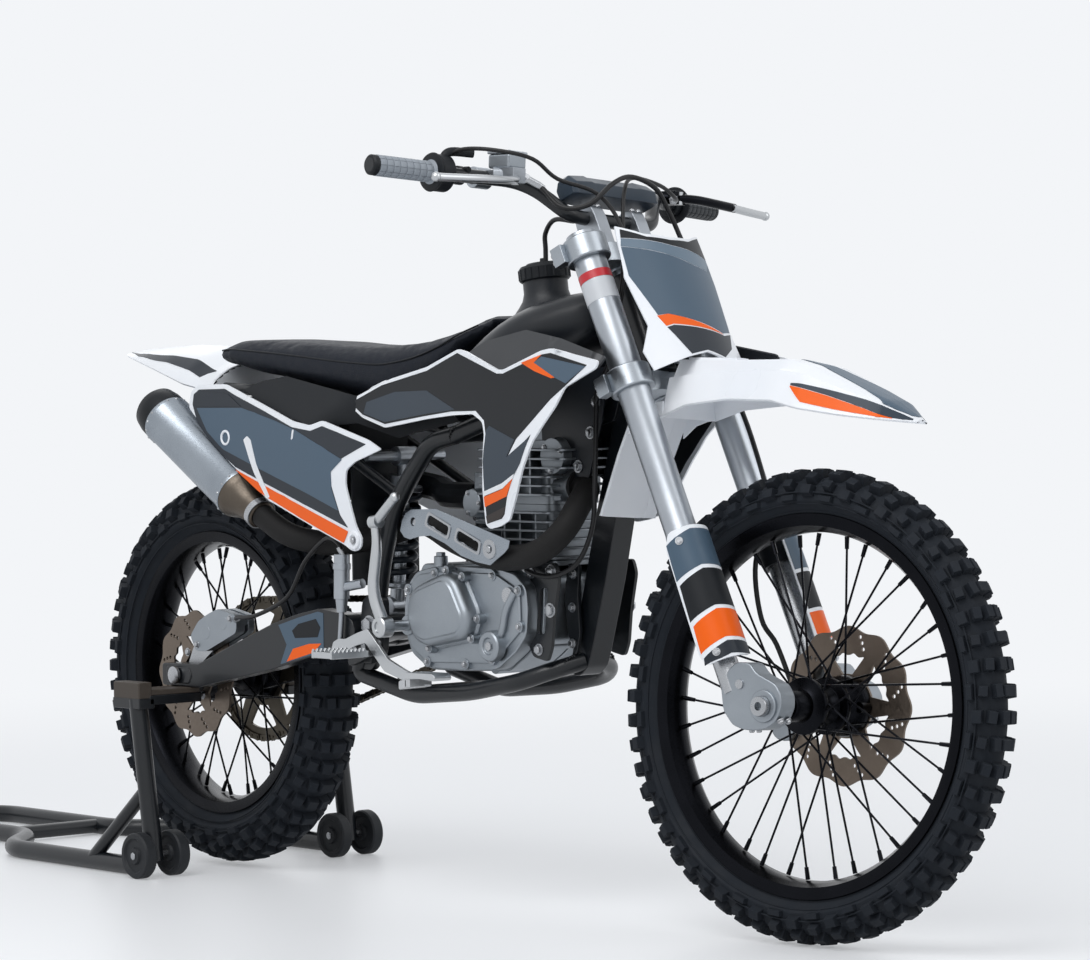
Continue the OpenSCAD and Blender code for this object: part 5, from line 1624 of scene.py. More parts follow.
def build_stand():
    """Tubular stand with its arms, pads, handle and castors."""
    loop = [(12, 218), (-380, 218), (-500, 96), (-870, 96), (-930, 40), (-930, -40), (-870, -96),
            (-500, -96), (-380, -218), (12, -218)]
    bm = bmesh.new()
    bmesh_pipe(bm, rounded([(x, y, 16) for x, y in loop], 50, 8), 15.9, 24)
    bmesh_rod(bm, (-560, -96, 16), (-560, 96, 16), 13, 24)
    for side in (1, -1):
        bmesh_rod(bm, (56, side * 207, 26), (14, side * 207, 300), 15.8, 24)
        bmesh_rod(bm, (-110, side * 220, 20), (40, side * 207, 150), 12, 20)
        bmesh_rod(bm, (6, side * 218, 16), (56, side * 207, 42), 9, 16)
    on_chassis(bm, "stand_tubes", *ENAMEL, ("paddock_stand",), 40)
    bm = bmesh.new()
    for side in (1, -1):
        bmesh_rod(bm, (60, side * 159.5, 39), (60, side * 254.5, 39), 6, 16)
        for y in (163, 251):
            bmesh_bolt(bm, (60, side * y, 39), (0, side if y > 200 else -side, 0), 6, 3.2)
    on_chassis(bm, "stand_axles", "frame_black", "zinc_plated_steel", (), 32)
    # lifting arms: channels that carry the swingarm on brown rubber pads
    bm = bmesh.new()
    for side in (1, -1):
        bmesh_side_box(bm, side, (-28, 40), (92, 200), (290, 306))
        bmesh_side_box(bm, side, (-40, 40), (190, 222), (284, 302))
    on_chassis(bm, "stand_arms", *ENAMEL, (), 32, 2.0, 2)
    bm = bmesh.new()
    for side in (1, -1):
        bmesh_side_box(bm, side, (-25, 38), (94, 200), (305, 315.6))
        bmesh_side_box(bm, side, (-38, 39), (194, 222), (300, 329))
    on_chassis(bm, "stand_pads", "frame_black", "brown_pad", (), 32, 3.0, 3)
    bm = bmesh.new()
    bmesh_pipe(bm, rounded([(-906, -64, 16), (-930, -40, 16), (-930, 40, 16), (-906, 64, 16)], 20, 5),
               15.98, 24)
    on_chassis(bm, "stand_handle_sleeve", "stand_rubber", "black_nylon", (), 50)
    for side, word in ((1, "left"), (-1, "right")):
        bm = bmesh.new()
        for y in (173, 241):
            at = Matrix.Translation((60, side * y, 39)) @ ACROSS
            bmesh_lathe(bm, [(6.4, -12), (13, -12), (15, -8), (27, -8), (30, -11.4), (37, -11), (39, -8),
                             (39, 8), (37, 11), (30, 11.4),
                             (27, 8), (15, 8), (13, 12), (6.4, 12)], at, 48, True)
        finish_mesh(bm, "stand_castors_" + word, BIKE, "stand_wheel_" + word, "stand_rubber",
                    "wheel_rubber", ("stand_wheels_" + word,), 32)


# ---- engine ----
def ring_of_bolts(bm, spots, y, side, r=4.2, height=4.0):
    """Bolts that face one side, at places in x and z."""
    for x, z in spots:
        bmesh_bolt(bm, (x, y, z), (0, side, 0), r, height)


def build_crankcase():
    """Both halves of the crankcase, and the drive sprocket."""
    bm = bmesh.new()
    case = [(700, 542), (777, 545), (900, 545), (926, 532), (935, 518), (934, 470), (929, 430),
            (890, 402), (849, 378), (700, 372)]
    bmesh_plate(bm, round_corners(case, 8.0, 3), -74, -2)
    bmesh_plate(bm, round_corners(case, 8.0, 3), 2, 74)
    bmesh_plate(bm, round_corners([(702, 538), (898, 541), (930, 518), (925, 434), (848, 382),
                                   (702, 376)], 8.0, 2), -3, 3)
    box = [(613, 504), (634, 542), (708, 542), (708, 372), (650, 372), (620, 396), (606, 420)]
    bmesh_plate(bm, round_corners(box, 9.0, 3), -74, 46)
    for x, z, r in ((720, 388, 13), (812, 384, 12), (905, 424, 12), (918, 512, 13), (648, 520, 12)):
        bmesh_rod(bm, (x, -75, z), (x, 75 if x > 700 else 47, z), r, 20)
    on_chassis(bm, "crankcase_halves", *CAST, ("crankcase",), 32, 2.2, 2)
    bm = bmesh.new()
    bmesh_rod(bm, (640, 40, 447), (640, 62, 447), 12, 24)
    teeth = []
    for k in range(13):
        for at, radius in ((0.0, 28.5), (0.25, 31), (0.42, 36.6), (0.58, 36.6), (0.75, 31)):
            a = math.tau * (k + at) / 13
            teeth.append((640 + radius * math.cos(a), 447 + radius * math.sin(a)))
    bmesh_plate(bm, teeth, 66.4, 71.6)
    bmesh_rod(bm, (640, 60, 447), (640, 73, 447), 15, 24)
    on_chassis(bm, "drive_sprocket", "chain_steel", "chain_steel", (), 32, 0.4, 1)


def build_engine_covers():
    """Right, clutch and left covers with their bosses, bolts and brackets."""
    bm = bmesh.new()
    cover = [(620, 440), (622, 480), (632, 510), (654, 531), (702, 540), (790, 542), (860, 541),
             (900, 534), (925, 513), (929, 480),
             (925, 440), (900, 412), (852, 382), (770, 377), (680, 377), (638, 400)]
    bmesh_plate(bm, round_corners(cover, 10.0, 3), -104, -74)
    face = [(630, 446), (634, 500), (660, 526), (706, 532), (856, 533), (914, 508), (916, 446),
            (846, 392), (684, 386), (642, 408)]
    bmesh_plate(bm, round_corners(face, 10.0, 3), -108, -103)
    on_chassis(bm, "right_cover", *CAST, ("engine_covers",), 32, 3.2, 3)
    # clutch cover: rounded triangle with a stepped rim
    bm = bmesh.new()
    rings = [(716, 466, 54), (760, 490, 44), (784, 462, 38)]
    steps = ((2.0, -104), (2.0, -112), (-1.0, -116), (-2.5, -116), (-3.5, -128), (-6, -134),
             (-9.5, -137), (-13, -138), (-15.5, -140.5), (-19, -141.4))
    sections = [[(x, y, z) for x, z in hull_outline(rings, grow)] for grow, y in steps]
    bmesh_loft(bm, sections)
    on_chassis(bm, "clutch_cover", *CAST, (), 28, 0.0)
    bm = bmesh.new()
    edge = hull_outline(rings, 3.0, 7)
    rim_bolts = ((638, 502), (632, 448), (684, 388), (846, 398), (914, 452), (912, 508), (850, 530),
                 (706, 530), (780, 388))
    for x, z in edge:
        bmesh_rod(bm, (x, -106, z), (x, -121, z), 8.5, 20, 7.6)
    for x, z in rim_bolts:
        bmesh_rod(bm, (x, -74, z), (x, -109.6, z), 9, 20)
    bmesh_lathe(bm, [(0.01, 0), (25, 0), (24, 14), (21.5, 17), (14, 17), (12, 13), (0.01, 13)],
                Matrix.Translation((855, -107, 420)) @ ACROSS.inverted(), 48)
    bmesh_rod(bm, (636, -90, 444), (636, -111, 444), 19, 32, 16)
    bmesh_rod(bm, (700, -90, 520), (700, -90, 556), 12, 24, 11)
    bmesh_rod(bm, (700, -90, 552), (700, -90, 562), 8, 6)
    bmesh_rod(bm, (862, -90, 545), (862, -90, 558), 10, 20)
    bmesh_plate(bm, round_corners([(846, 548), (846, 562), (876, 566), (880, 552)], 3.0, 2), -98, -84)
    bmesh_pipe(bm, rounded([(905, -108.5, 506), (884, -111, 476), (878, -111, 446), (862, -110, 428)],
                           16, 4), 6, 12)
    on_chassis(bm, "cover_bosses", *CAST, (), 32, 0.9, 2)
    bm = bmesh.new()
    ring_of_bolts(bm, edge, -120.6, -1, 3.9, 4.2)
    ring_of_bolts(bm, rim_bolts, -109.2, -1, 3.9, 4)
    bmesh_rod(bm, (855, -119, 420), (855, -123.4, 420), 7.5, 6)
    bmesh_rod(bm, (890, -107, 500), (890, -112, 500), 13, 28)
    on_chassis(bm, "right_cover_bolts", *ZINC, (), 32, 0.3, 1)
    # black brackets between the crankcase and the frame, at the front
    bm = bmesh.new()
    bracket = round_corners([(900, 520), (906, 548), (972, 552), (980, 530), (966, 470), (960, 420),
                             (950, 398), (916, 404), (904, 424), (918, 470)], 7.0, 3)
    window = round_corners([(926, 440), (944, 440), (954, 512), (934, 512)], 6.0, 3)
    bmesh_flat(bm, bracket, 0, 6, [window], place=lambda u, v, h: (u, -76 - h, v))
    bmesh_flat(bm, bracket, 0, 6, [], place=lambda u, v, h: (u, 76 + h, v))
    on_chassis(bm, "engine_brackets", *ENAMEL, (), 32, 1.0, 2)
    bm = bmesh.new()
    for x, z, r in ((914, 534, 6), (962, 538, 8), (958, 478, 8), (930, 416, 6.5)):
        for side in (-1, 1):
            bmesh_bolt(bm, (x, side * 81.6, z), (0, side, 0), r, 6)
    on_chassis(bm, "engine_bracket_bolts", *ZINC, (), 32, 0.4, 1)
    bm = bmesh.new()
    bmesh_lathe(bm, [(0.01, 52), (20, 52), (22, 50), (48, 49), (58, 46), (64, 39), (65.4, 28),
                     (65.4, 12), (69, 10), (69, 0), (0.01, 0)],
                Matrix.Translation((800, 74, 474)) @ Matrix.Rotation(math.radians(-90), 4, "X"), 72)
    for k in range(6):
        x, z = polar(66, math.tau * (k + 0.3) / 6)
        bmesh_rod(bm, (800 + x, 74, 474 + z), (800 + x, 90, 474 + z), 8.5, 18)
    guard = [(642, 498), (656, 506), (700, 511), (737, 501), (740, 470), (740, 397), (722, 388),
             (700, 386), (664, 394), (646, 402)]
    bmesh_plate(bm, round_corners(guard, 8.0, 3), 84, 95.6)
    for x, z in ((715, 500), (715, 400)):
        bmesh_rod(bm, (x, 74, z), (x, 85, z), 10, 20)
    on_chassis(bm, "left_covers", *CAST, (), 32, 1.6, 2)
    bm = bmesh.new()
    for k in range(6):
        x, z = polar(66, math.tau * (k + 0.3) / 6)
        bmesh_bolt(bm, (800 + x, 89.6, 474 + z), (0, 1, 0), 3.9, 4)
    ring_of_bolts(bm, ((715, 500), (715, 400)), 95.2, 1, 4.2, 4)
    bmesh_rod(bm, (800, 125, 474), (800, 127.6, 474), 11, 6)
    on_chassis(bm, "left_cover_bolts", *ZINC, (), 32, 0.3, 1)


def fin(bm, x0, x1, half, z, thick):
    """One cooling fin with round corners."""
    outline = round_corners([(x0, -half), (x1, -half), (x1, half), (x0, half)], 16.0, 4)
    bmesh_plate(bm, outline, z, z + thick, place=level)


def build_cylinder(sizes):
    """Finned barrel and head, with the plug cap."""
    bm = bmesh.new()
    block = [(792, -50), (928, -50), (928, 50), (792, 50)]
    bmesh_plate(bm, round_corners(block, 20.0, 4), 545, 640, place=level)
    bmesh_plate(bm, round_corners([(780, -60), (940, -60), (940, 60), (780, 60)], 16.0, 4), 545, 553,
                place=level)
    for k in range(6):
        fin(bm, 772, 952, 79.6, 556 + 14 * k, sizes.fin * 1000)
    for side in (1, -1):
        for x in (800, 838, 876, 914):
            bmesh_side_box(bm, side, (x, x + 4), (50, 74), (556, 628))
    on_chassis(bm, "finned_barrel", "cast_aluminium", "dark_cast_aluminium", ("cylinder_barrel",), 32,
               0.7, 2)
    bm = bmesh.new()
    bmesh_plate(bm, round_corners([(790, -52), (930, -52), (930, 52), (790, 52)], 16.0, 4), 640, 690,
                place=level)
    bmesh_plate(bm, round_corners([(792, -50), (944, -50), (944, 50), (792, 50)], 16.0, 4), 688, 740,
                place=level)
    for k in range(3):
        fin(bm, 772, 952, 79.6, 654 + 14 * k, sizes.fin * 1000)
        fin(bm, 772, 984, 77.6, 696 + 14 * k, sizes.fin * 1000)
    cover = [(812, -43), (928, -43), (928, 43), (812, 43)]
    bmesh_plate(bm, round_corners(cover, 12.0, 3), 739, 766, place=level)
    bmesh_rod(bm, (945, -40, 716), (945, -63, 716), 30, 40, 28)
    bmesh_rod(bm, (930, -24, 668), (972, -32, 668), 24, 32)
    bmesh_box(bm, (922, -46, 646), (944, -2, 690))
    for side in (1, -1):
        for x in (802, 850, 900):
            bmesh_side_box(bm, side, (x, x + 4), (50, 72), (654, 728))
    on_chassis(bm, "finned_head", "cast_aluminium", "dark_cast_aluminium", ("cylinder_head",), 32, 0.7, 2)
    bm = bmesh.new()
    for side in (1, -1):
        for x in (826, 914):
            bmesh_bolt(bm, (x, side * 34, 766), (0, 0, 1), 6, 5)
    for k in range(3):
        x, z = polar(22, math.tau * k / 3 + 0.4)
        bmesh_bolt(bm, (945 + x, -62.6, 716 + z), (0, -1, 0), 3.6, 3.6)
    bmesh_rod(bm, (854, -76, 690), (854, -84, 688), 6.5, 6)
    on_chassis(bm, "head_bolts", *ZINC, (), 32, 0.3, 1)
    # spark plug cap and its lead up to the frame
    bm = bmesh.new()
    bmesh_pipe(bm, rounded([(856, -66, 692), (854, -90, 690), (852, -100, 698), (850, -96, 726)], 12, 4),
               8.4, 16)
    bmesh_pipe(bm, smooth_route([(850, -96, 724), (850, -92, 750), (868, -70, 772), (900, -46, 782)], 6),
               4, 10)
    on_chassis(bm, "plug_cap", *NYLON, (), 40)


def build_intake():
    """Carburettor body with its screws."""
    bm = bmesh.new()
    bmesh_rod(bm, (702, 0, 650), (769, 0, 658), 22, 32)
    for at, r in ((704, 24.5), (762, 26)):
        bmesh_rod(bm, (at, 0, 650 + (at - 700) * 0.116), (at + 7, 0, 651 + (at - 700) * 0.116), r, 32)
    bmesh_box(bm, (714, -31, 606), (762, 31, 688))
    bmesh_rod(bm, (738, 0, 606), (738, 0, 596.6), 20, 24, 15)
    bmesh_rod(bm, (738, -31, 640), (738, -57, 640), 24, 32, 22)
    on_chassis(bm, "carburettor_body", *CAST, ("carburettor",), 32, 1.8, 2)
    bm = bmesh.new()
    for k in range(3):
        x, z = polar(18, math.tau * k / 3)
        bmesh_bolt(bm, (738 + x, -56.6, 640 + z), (0, -1, 0), 2.8, 2.6)
    bmesh_rod(bm, (730, -31, 616), (730, -44, 616), 5, 12)
    on_chassis(bm, "carburettor_screws", *ZINC)


def build_exhaust():
    """Header pipe, heat shield and silencer."""
    header = [(975, -33, 668), (1004, -40, 666), (1030, -78, 648), (1034, -112, 606), (980, -122, 566),
              (880, -124, 556),
              (770, -122, 584), (690, -100, 606), (610, -60, 606), (520, -58, 585), (420, -88, 566),
              (330, -116, 580), (262, -120, 614)]
    bm = bmesh.new()
    bmesh_pipe(bm, rounded(header, 40, 7), 19.8, 28)
    bmesh_lathe(bm, [(19, 0), (27, 0), (27, 5), (19, 5)],
                Matrix.Translation((976, -33.4, 668)) @ Matrix.Rotation(math.radians(90), 4, "Y"), 32,
                True)
    on_chassis(bm, "header_pipe", "exhaust_black", "heatproof_black", ("exhaust_header",), 40)
    # heat shield with two long slots and a ring hole
    outline = [(676, 598), (680, 614), (688, 626), (702, 632), (764, 634), (850, 613), (948, 588),
               (944, 577), (934, 569), (896, 549),
               (864, 553), (827, 562), (790, 580), (752, 592), (724, 590), (700, 585), (686, 588)]
    slope = math.radians(-20)

    def slot_at(x, z, long, high):
        turned = [(math.cos(slope) * a - math.sin(slope) * b, math.sin(slope) * a + math.cos(slope) * b)
                  for a, b in ((-long, -high), (long, -high), (long, high), (-long, high))]
        return round_corners([(x + a, z + b) for a, b in turned], 6.0, 3)

    holes = [slot_at(772, 608, 27, 8), slot_at(846, 585, 27, 8), circle(708, 613, 7, 20)]
    bow = lambda u, v: (u, -149.5 - 3.2 * (1 - ((v - 592) / 46) ** 2), v)
    bm = bmesh.new()
    bmesh_panel(bm, outline, bow, 2.2, 13.0, holes=holes, facing=(0, -1, 0))
    on_chassis(bm, "heat_shield_plate", "bright_aluminium", "brushed_aluminium", ("heat_shield",), 32,
               0.7, 2)
    bm = bmesh.new()
    for x, z in ((772, 608), (846, 585)):
        rim = lambda u, v: (u, bow(u, v)[1] - 1.2, v)
        bmesh_panel(bm, slot_at(x, z, 32, 12), rim, 2.4, 7.0, holes=[slot_at(x, z, 27.5, 8.4)],
                    facing=(0, -1, 0))
    bmesh_rod(bm, (898, -124, 570), (898, -149, 574), 7, 16)
    bmesh_rod(bm, (708, -112, 606), (708, -149, 612), 5, 16)
    bmesh_lathe(bm, [(7, 0), (16, 0), (15, 3), (11, 4), (7, 3)],
                Matrix.Translation((898, -150.4, 574)) @ ACROSS.inverted(), 32, True)
    bmesh_bolt(bm, (898, -150.6, 574), (0, -1, 0), 5.4, 4.4)
    on_chassis(bm, "heat_shield_bolts", *ZINC, (), 32, 0.3, 1)
    # silencer: reducing cone, clamp, body, end cap
    start_, finish_ = Vector((208, -120, 646)), Vector((-45, -120, 796))
    along = aimed(start_, finish_)
    full = (finish_ - start_).length
    bm = bmesh.new()
    bmesh_lathe(bm, [(21, -62), (24, -60), (27, -36), (31, -20), (40, -4), (43.4, 3), (44.2, 12),
                     (40, 12), (36, 2), (24, -30), (20, -62)], along, 56, True)
    on_chassis(bm, "silencer_cone", "exhaust_black", "heated_steel", (), 35)
    bm = bmesh.new()
    bmesh_lathe(bm, [(44.6, 8), (45, 9), (45, 16), (43.8, 17.5), (43.8, full - 54), (45, full - 52),
                     (45, full - 44), (42, full - 44), (42, 8)],
                along, 64, True)
    on_chassis(bm, "silencer_body", "bright_aluminium", "brushed_aluminium", ("silencer",), 35)
    bm = bmesh.new()
    bmesh_lathe(bm, [(43.2, full - 45), (44.2, full - 42), (43.6, full - 22), (40.6, full - 6),
                     (36, full - 0.6), (26, full), (22.5, full - 2),
                     (22, full - 8), (22, full - 60), (20, full - 60), (20, full - 46), (42, full - 46)],
                     along, 64, True)
    on_chassis(bm, "silencer_end", "exhaust_black", "black_nylon", (), 35)
    bm = bmesh.new()
    for k in range(16):
        for z in (12.5, full - 48):
            x, y = polar(44.8, math.tau * k / 16)
            out = Vector((x, y, 0)).normalized()
            bmesh_rod(bm, along @ Vector((x, y, z)), along @ (Vector((x, y, z)) + out * 1.6), 2.6, 10,
                      1.4)
    bmesh_lathe(bm, [(25, -60), (27, -60), (27, -48), (25, -48)], along, 40, True)
    on_chassis(bm, "silencer_rivets", *ZINC, (), 32)
    bm = bmesh.new()
    bmesh_plate(bm, round_corners([(70, 744), (96, 760), (110, 778), (92, 786), (72, 770), (58, 756)],
                                  4.0, 2), -84, -78)
    on_chassis(bm, "silencer_hanger", "exhaust_black", "black_nylon", (), 32, 0.6, 1)


# ---- rear suspension, drive and controls ----
def build_swingarm():
    """Swingarm legs and yoke, chain guide, adjusters and rear axle."""
    leg = [(-45, 318), (-40, 316), (60, 316), (276, 357), (391, 384), (480, 400), (496, 410), (504, 428),
           (496, 446), (480, 456),
           (406, 463), (350, 453), (278, 434), (166, 395), (60, 356), (-41, 354), (-45, 351)]
    bm = bmesh.new()
    for side in (1, -1):
        bmesh_plate(bm, round_corners(leg, 4.0, 2), side * 84.2, side * 114.8)
        bmesh_plate(bm, round_corners([(-30, 321), (36, 321), (44, 335), (36, 349), (-30, 349)], 3.0, 2),
                    side * 112, side * 116.6)
    on_chassis(bm, "swingarm_legs", *ENAMEL, ("swingarm",), 32, 3.2, 3)
    bm = bmesh.new()
    wall = [(430, 396), (545, 420), (545, 456), (430, 455)]
    for lo, hi in ((-84, -22), (22, 84)):
        bmesh_plate(bm, round_corners(wall, 6.0, 2), lo, hi)
    bmesh_plate(bm, round_corners([(494, 409), (545, 420), (545, 456), (494, 456)], 4.0, 2), -23, 23)
    bmesh_plate(bm, round_corners([(396, 392), (444, 400), (444, 455), (396, 452)], 4.0, 2), -64, 64)
    on_chassis(bm, "swingarm_yoke", *ENAMEL, (), 32, 2.4, 2)
    surface = lambda u, v: (u, -115.0, v)
    for name, shape, material, lift in (
            ("grey", [(300, 367), (392, 387), (420, 394), (420, 456), (405, 458), (350, 446), (296, 432),
                      (318, 400)], "slate_film", 0.4),
            ("orange", [(318, 372), (392, 390), (414, 406), (380, 404), (336, 394)], "orange_film", 0.8),
            ("black", [(342, 412), (404, 416), (412, 432), (400, 446), (352, 436), (334, 424)],
             "black_film", 0.8)):
        decal("swingarm_" + name, shape, surface, material, "chassis", BIKE, (0, -1, 0), lift, 24.0)
    # chain guide and chain guard on the left, axle adjusters on both sides
    bm = bmesh.new()
    guide = round_corners([(150, 300), (200, 296), (214, 318), (206, 352), (150, 340)], 6.0, 2)
    bmesh_plate(bm, guide, 78.6, 84.4)
    bmesh_plate(bm, guide, 53, 59)
    bmesh_plate(bm, round_corners([(452, 458), (520, 462), (548, 468), (548, 474), (500, 470),
                                   (452, 466)], 3.0, 2), 56, 84)
    on_chassis(bm, "chain_guide", *NYLON, (), 32, 1.2, 2)
    bm = bmesh.new()
    for side in (1, -1):
        bmesh_rod(bm, (-45, side * 99, 335), (-55, side * 99, 335), 4, 12)
        bmesh_rod(bm, (-48, side * 99, 335), (-54, side * 99, 335), 7, 6)
    on_chassis(bm, "chain_adjusters", *ZINC, (), 32, 0.3, 1)
    bm = bmesh.new()
    bmesh_lathe(bm, [(0.01, -126), (9, -126), (15, -124), (15, -119), (10, -118.6), (10, 118.6),
                     (17, 118.8), (17, 121), (14.6, 121.6),
                     (14.6, 125.6), (9, 126), (0.01, 126)], steps=40)
    bmesh_rod(bm, (0, 0, -84), (0, 0, -79), 15, 32)
    bmesh_rod(bm, (0, 0, 76), (0, 0, 84), 15, 32)
    finish_mesh(bm, "rear_axle_shaft", REAR_WHEEL, "chassis", *ZINC, ("rear_axle",), 32)


def build_shock():
    """Shock absorber with its coil spring."""
    low, high = Vector((474, 0, 505)), Vector((491, 0, 655))
    up = (high - low).normalized()
    turn = Matrix.Translation(low) @ up.to_track_quat("Z", "Y").to_matrix().to_4x4()
    full = (high - low).length
    coil = []
    turns, steps = 7, 24
    for k in range(turns * steps + 1):
        x, y = polar(26, math.tau * k / steps)
        coil.append(turn @ Vector((x, y, 6 + (full - 12) * k / (turns * steps))))
    bm = bmesh.new()
    bmesh_pipe(bm, coil, 5.4, 10)
    on_chassis(bm, "shock_spring", "shock_steel", "charcoal_film", ("shock_absorber",), 60)
    bm = bmesh.new()
    bmesh_rod(bm, (470, 0, 470), (496, 0, 700), 12, 28)
    bmesh_lathe(bm, [(0.01, -9), (28, -9), (31, -6), (31, 0), (18, 1), (0.01, 1)], turn, 40)
    bmesh_lathe(bm, [(0.01, full - 1), (22, full - 1), (32, full), (32, full + 8), (24, full + 10),
                     (24, full + 26), (0.01, full + 26)], turn, 40)
    bmesh_rod(bm, (468, -18, 464), (468, 18, 464), 16, 28)
    bmesh_rod(bm, (497, -20, 712), (497, 20, 712), 16, 28)
    bmesh_rod(bm, (497, -80, 712), (497, 80, 712), 8, 20)
    on_chassis(bm, "shock_body", "shock_steel", "anodised_aluminium", (), 32, 0.6, 1)


# the chain's pitch, and the two sprockets' centres in x and z with the radii of their pitch circles
CHAIN_PITCH = 15.875
REAR_SPROCKET_AT, REAR_SPROCKET_R = (0, REAR_AXLE_Z), 121.4
DRIVE_SPROCKET_AT, DRIVE_SPROCKET_R = (640, 447), 33.2


def chain_route():
    """Closed pitch line round both sprockets."""
    big, small = Vector(REAR_SPROCKET_AT), Vector(DRIVE_SPROCKET_AT)
    r1, r2 = REAR_SPROCKET_R, DRIVE_SPROCKET_R
    line = small - big
    far, tilt = line.length, math.atan2(line.y, line.x)
    lean = math.asin((r1 - r2) / far)
    a_top, a_low = tilt + math.pi / 2 - lean, tilt - math.pi / 2 + lean
    points = []
    sweep = math.tau - (a_top - a_low)
    for k in range(81):
        a = a_top + sweep * k / 80
        points.append(big + r1 * Vector((math.cos(a), math.sin(a))))
    for k in range(41):
        a = a_low + (a_top - a_low) * k / 40
        points.append(small + r2 * Vector((math.cos(a), math.sin(a))))
    return points + [points[0]]


def build_chain():
    """Drive chain, with inner and outer links by turns."""
    line = chain_route()
    total = sum((b - a).length for a, b in zip(line, line[1:]))
    count = 2 * round(total / CHAIN_PITCH / 2)
    pitch = total / count
    spots = []
    at, walked = 0, 0.0
    for k in range(count):
        goal = pitch * k
        while walked + (line[at + 1] - line[at]).length < goal:
            walked += (line[at + 1] - line[at]).length
            at += 1
        seg = line[at + 1] - line[at]
        spots.append(line[at] + seg * ((goal - walked) / seg.length))
    bm = bmesh.new()
    for k in range(count):
        a, b = spots[k], spots[(k + 1) % count]
        along = (b - a).normalized()
        side = Vector((-along.y, along.x))
        outer = k % 2 == 0
        ring = []
        for centre, sign in ((b, 1), (a, -1)):
            for d in (-60, 0, 60):
                c, s = math.cos(math.radians(d)), math.sin(math.radians(d))
                ring.append(centre + sign * (along * c + side * s) * 6.6)
        ring.insert(3, (a + b) / 2 + side * 5.0)
        ring.append((a + b) / 2 - side * 5.0)
        for low in ((74.4, 75.9) if outer else (72.6, 73.9)), ((62.1, 63.6) if outer else (64.1, 65.4)):
            bmesh_plate(bm, [(p.x, p.y) for p in ring], low[0], low[1])
        bmesh_rod(bm, (a.x, 60.9, a.y), (a.x, 77.1, a.y), 2.6, 6)
        bmesh_rod(bm, (a.x, 65.6, a.y), (a.x, 72.4, a.y), 4.9, 8)
    on_chassis(bm, "drive_chain", "chain_steel", "chain_steel", ("chain",), 40)


def build_rear_brake():
    """Rear caliper, master cylinder and hose."""
    body = [(16, 402), (40, 428), (70, 442), (98, 451), (148, 442), (152, 428), (150, 412), (118, 399),
            (62, 377), (32, 377)]
    bm = bmesh.new()
    bmesh_plate(bm, round_corners(body, 6.0, 2), -97.6, -79)
    bmesh_plate(bm, round_corners(body, 6.0, 2), -72, -59)
    bmesh_plate(bm, round_corners([(100, 446), (150, 440), (150, 424), (104, 424)], 4.0, 2), -90, -64)
    for x, z in ((62, 410), (112, 428)):
        bmesh_rod(bm, (x, -97, z), (x, -98, z), 12, 28)
    on_chassis(bm, "rear_caliper_body", "forged_aluminium", "cast_aluminium", ("rear_caliper",), 32, 2.0,
               2)
    bm = bmesh.new()
    bmesh_plate(bm, round_corners([(-12, 350), (4, 380), (24, 402), (70, 382), (42, 364), (24, 350)],
                                  5.0, 2), -83.4, -79.6)
    for x, z in ((36, 388), (134, 436)):
        bmesh_bolt(bm, (x, -97.4, z), (0, -1, 0), 4.4, 4)
    on_chassis(bm, "rear_caliper_fixings", *ZINC, (), 32, 0.5, 1)
    bm = bmesh.new()
    bmesh_rod(bm, (482, -122, 555), (479.6, -122, 482), 13, 28)
    bmesh_rod(bm, (481.5, -122, 540), (481, -122, 530), 14.6, 28)
    bmesh_rod(bm, (479.6, -122, 482), (479, -122, 460), 10.5, 24, 8)
    bmesh_rod(bm, (479, -122, 460), (474, -122, 414), 4.4, 12)
    bmesh_rod(bm, (480, -122, 500), (524, -112, 508), 8, 20)
    on_chassis(bm, "rear_master_body", "forged_aluminium", "anodised_aluminium",
               ("rear_master_cylinder",), 32, 0.6, 1)
    route = [(486, -122, 552), (478, -128, 574), (440, -124, 578), (380, -121, 540), (330, -121, 480),
             (240, -121, 446), (176, -112, 440),
             (150, -96, 434)]
    hoses("rear_brake_hose", None, [route], 3.6, BIKE, "chassis")
    bm = bmesh.new()
    for at, on in (((486, -122, 552), (478, -128, 574)), ((150, -96, 434), (176, -112, 440))):
        at, on = Vector(at), Vector(on)
        bmesh_rod(bm, at, at + (on - at).normalized() * 16, 5.4, 14)
    on_chassis(bm, "rear_hose_fittings", *ZINC, (), 32)


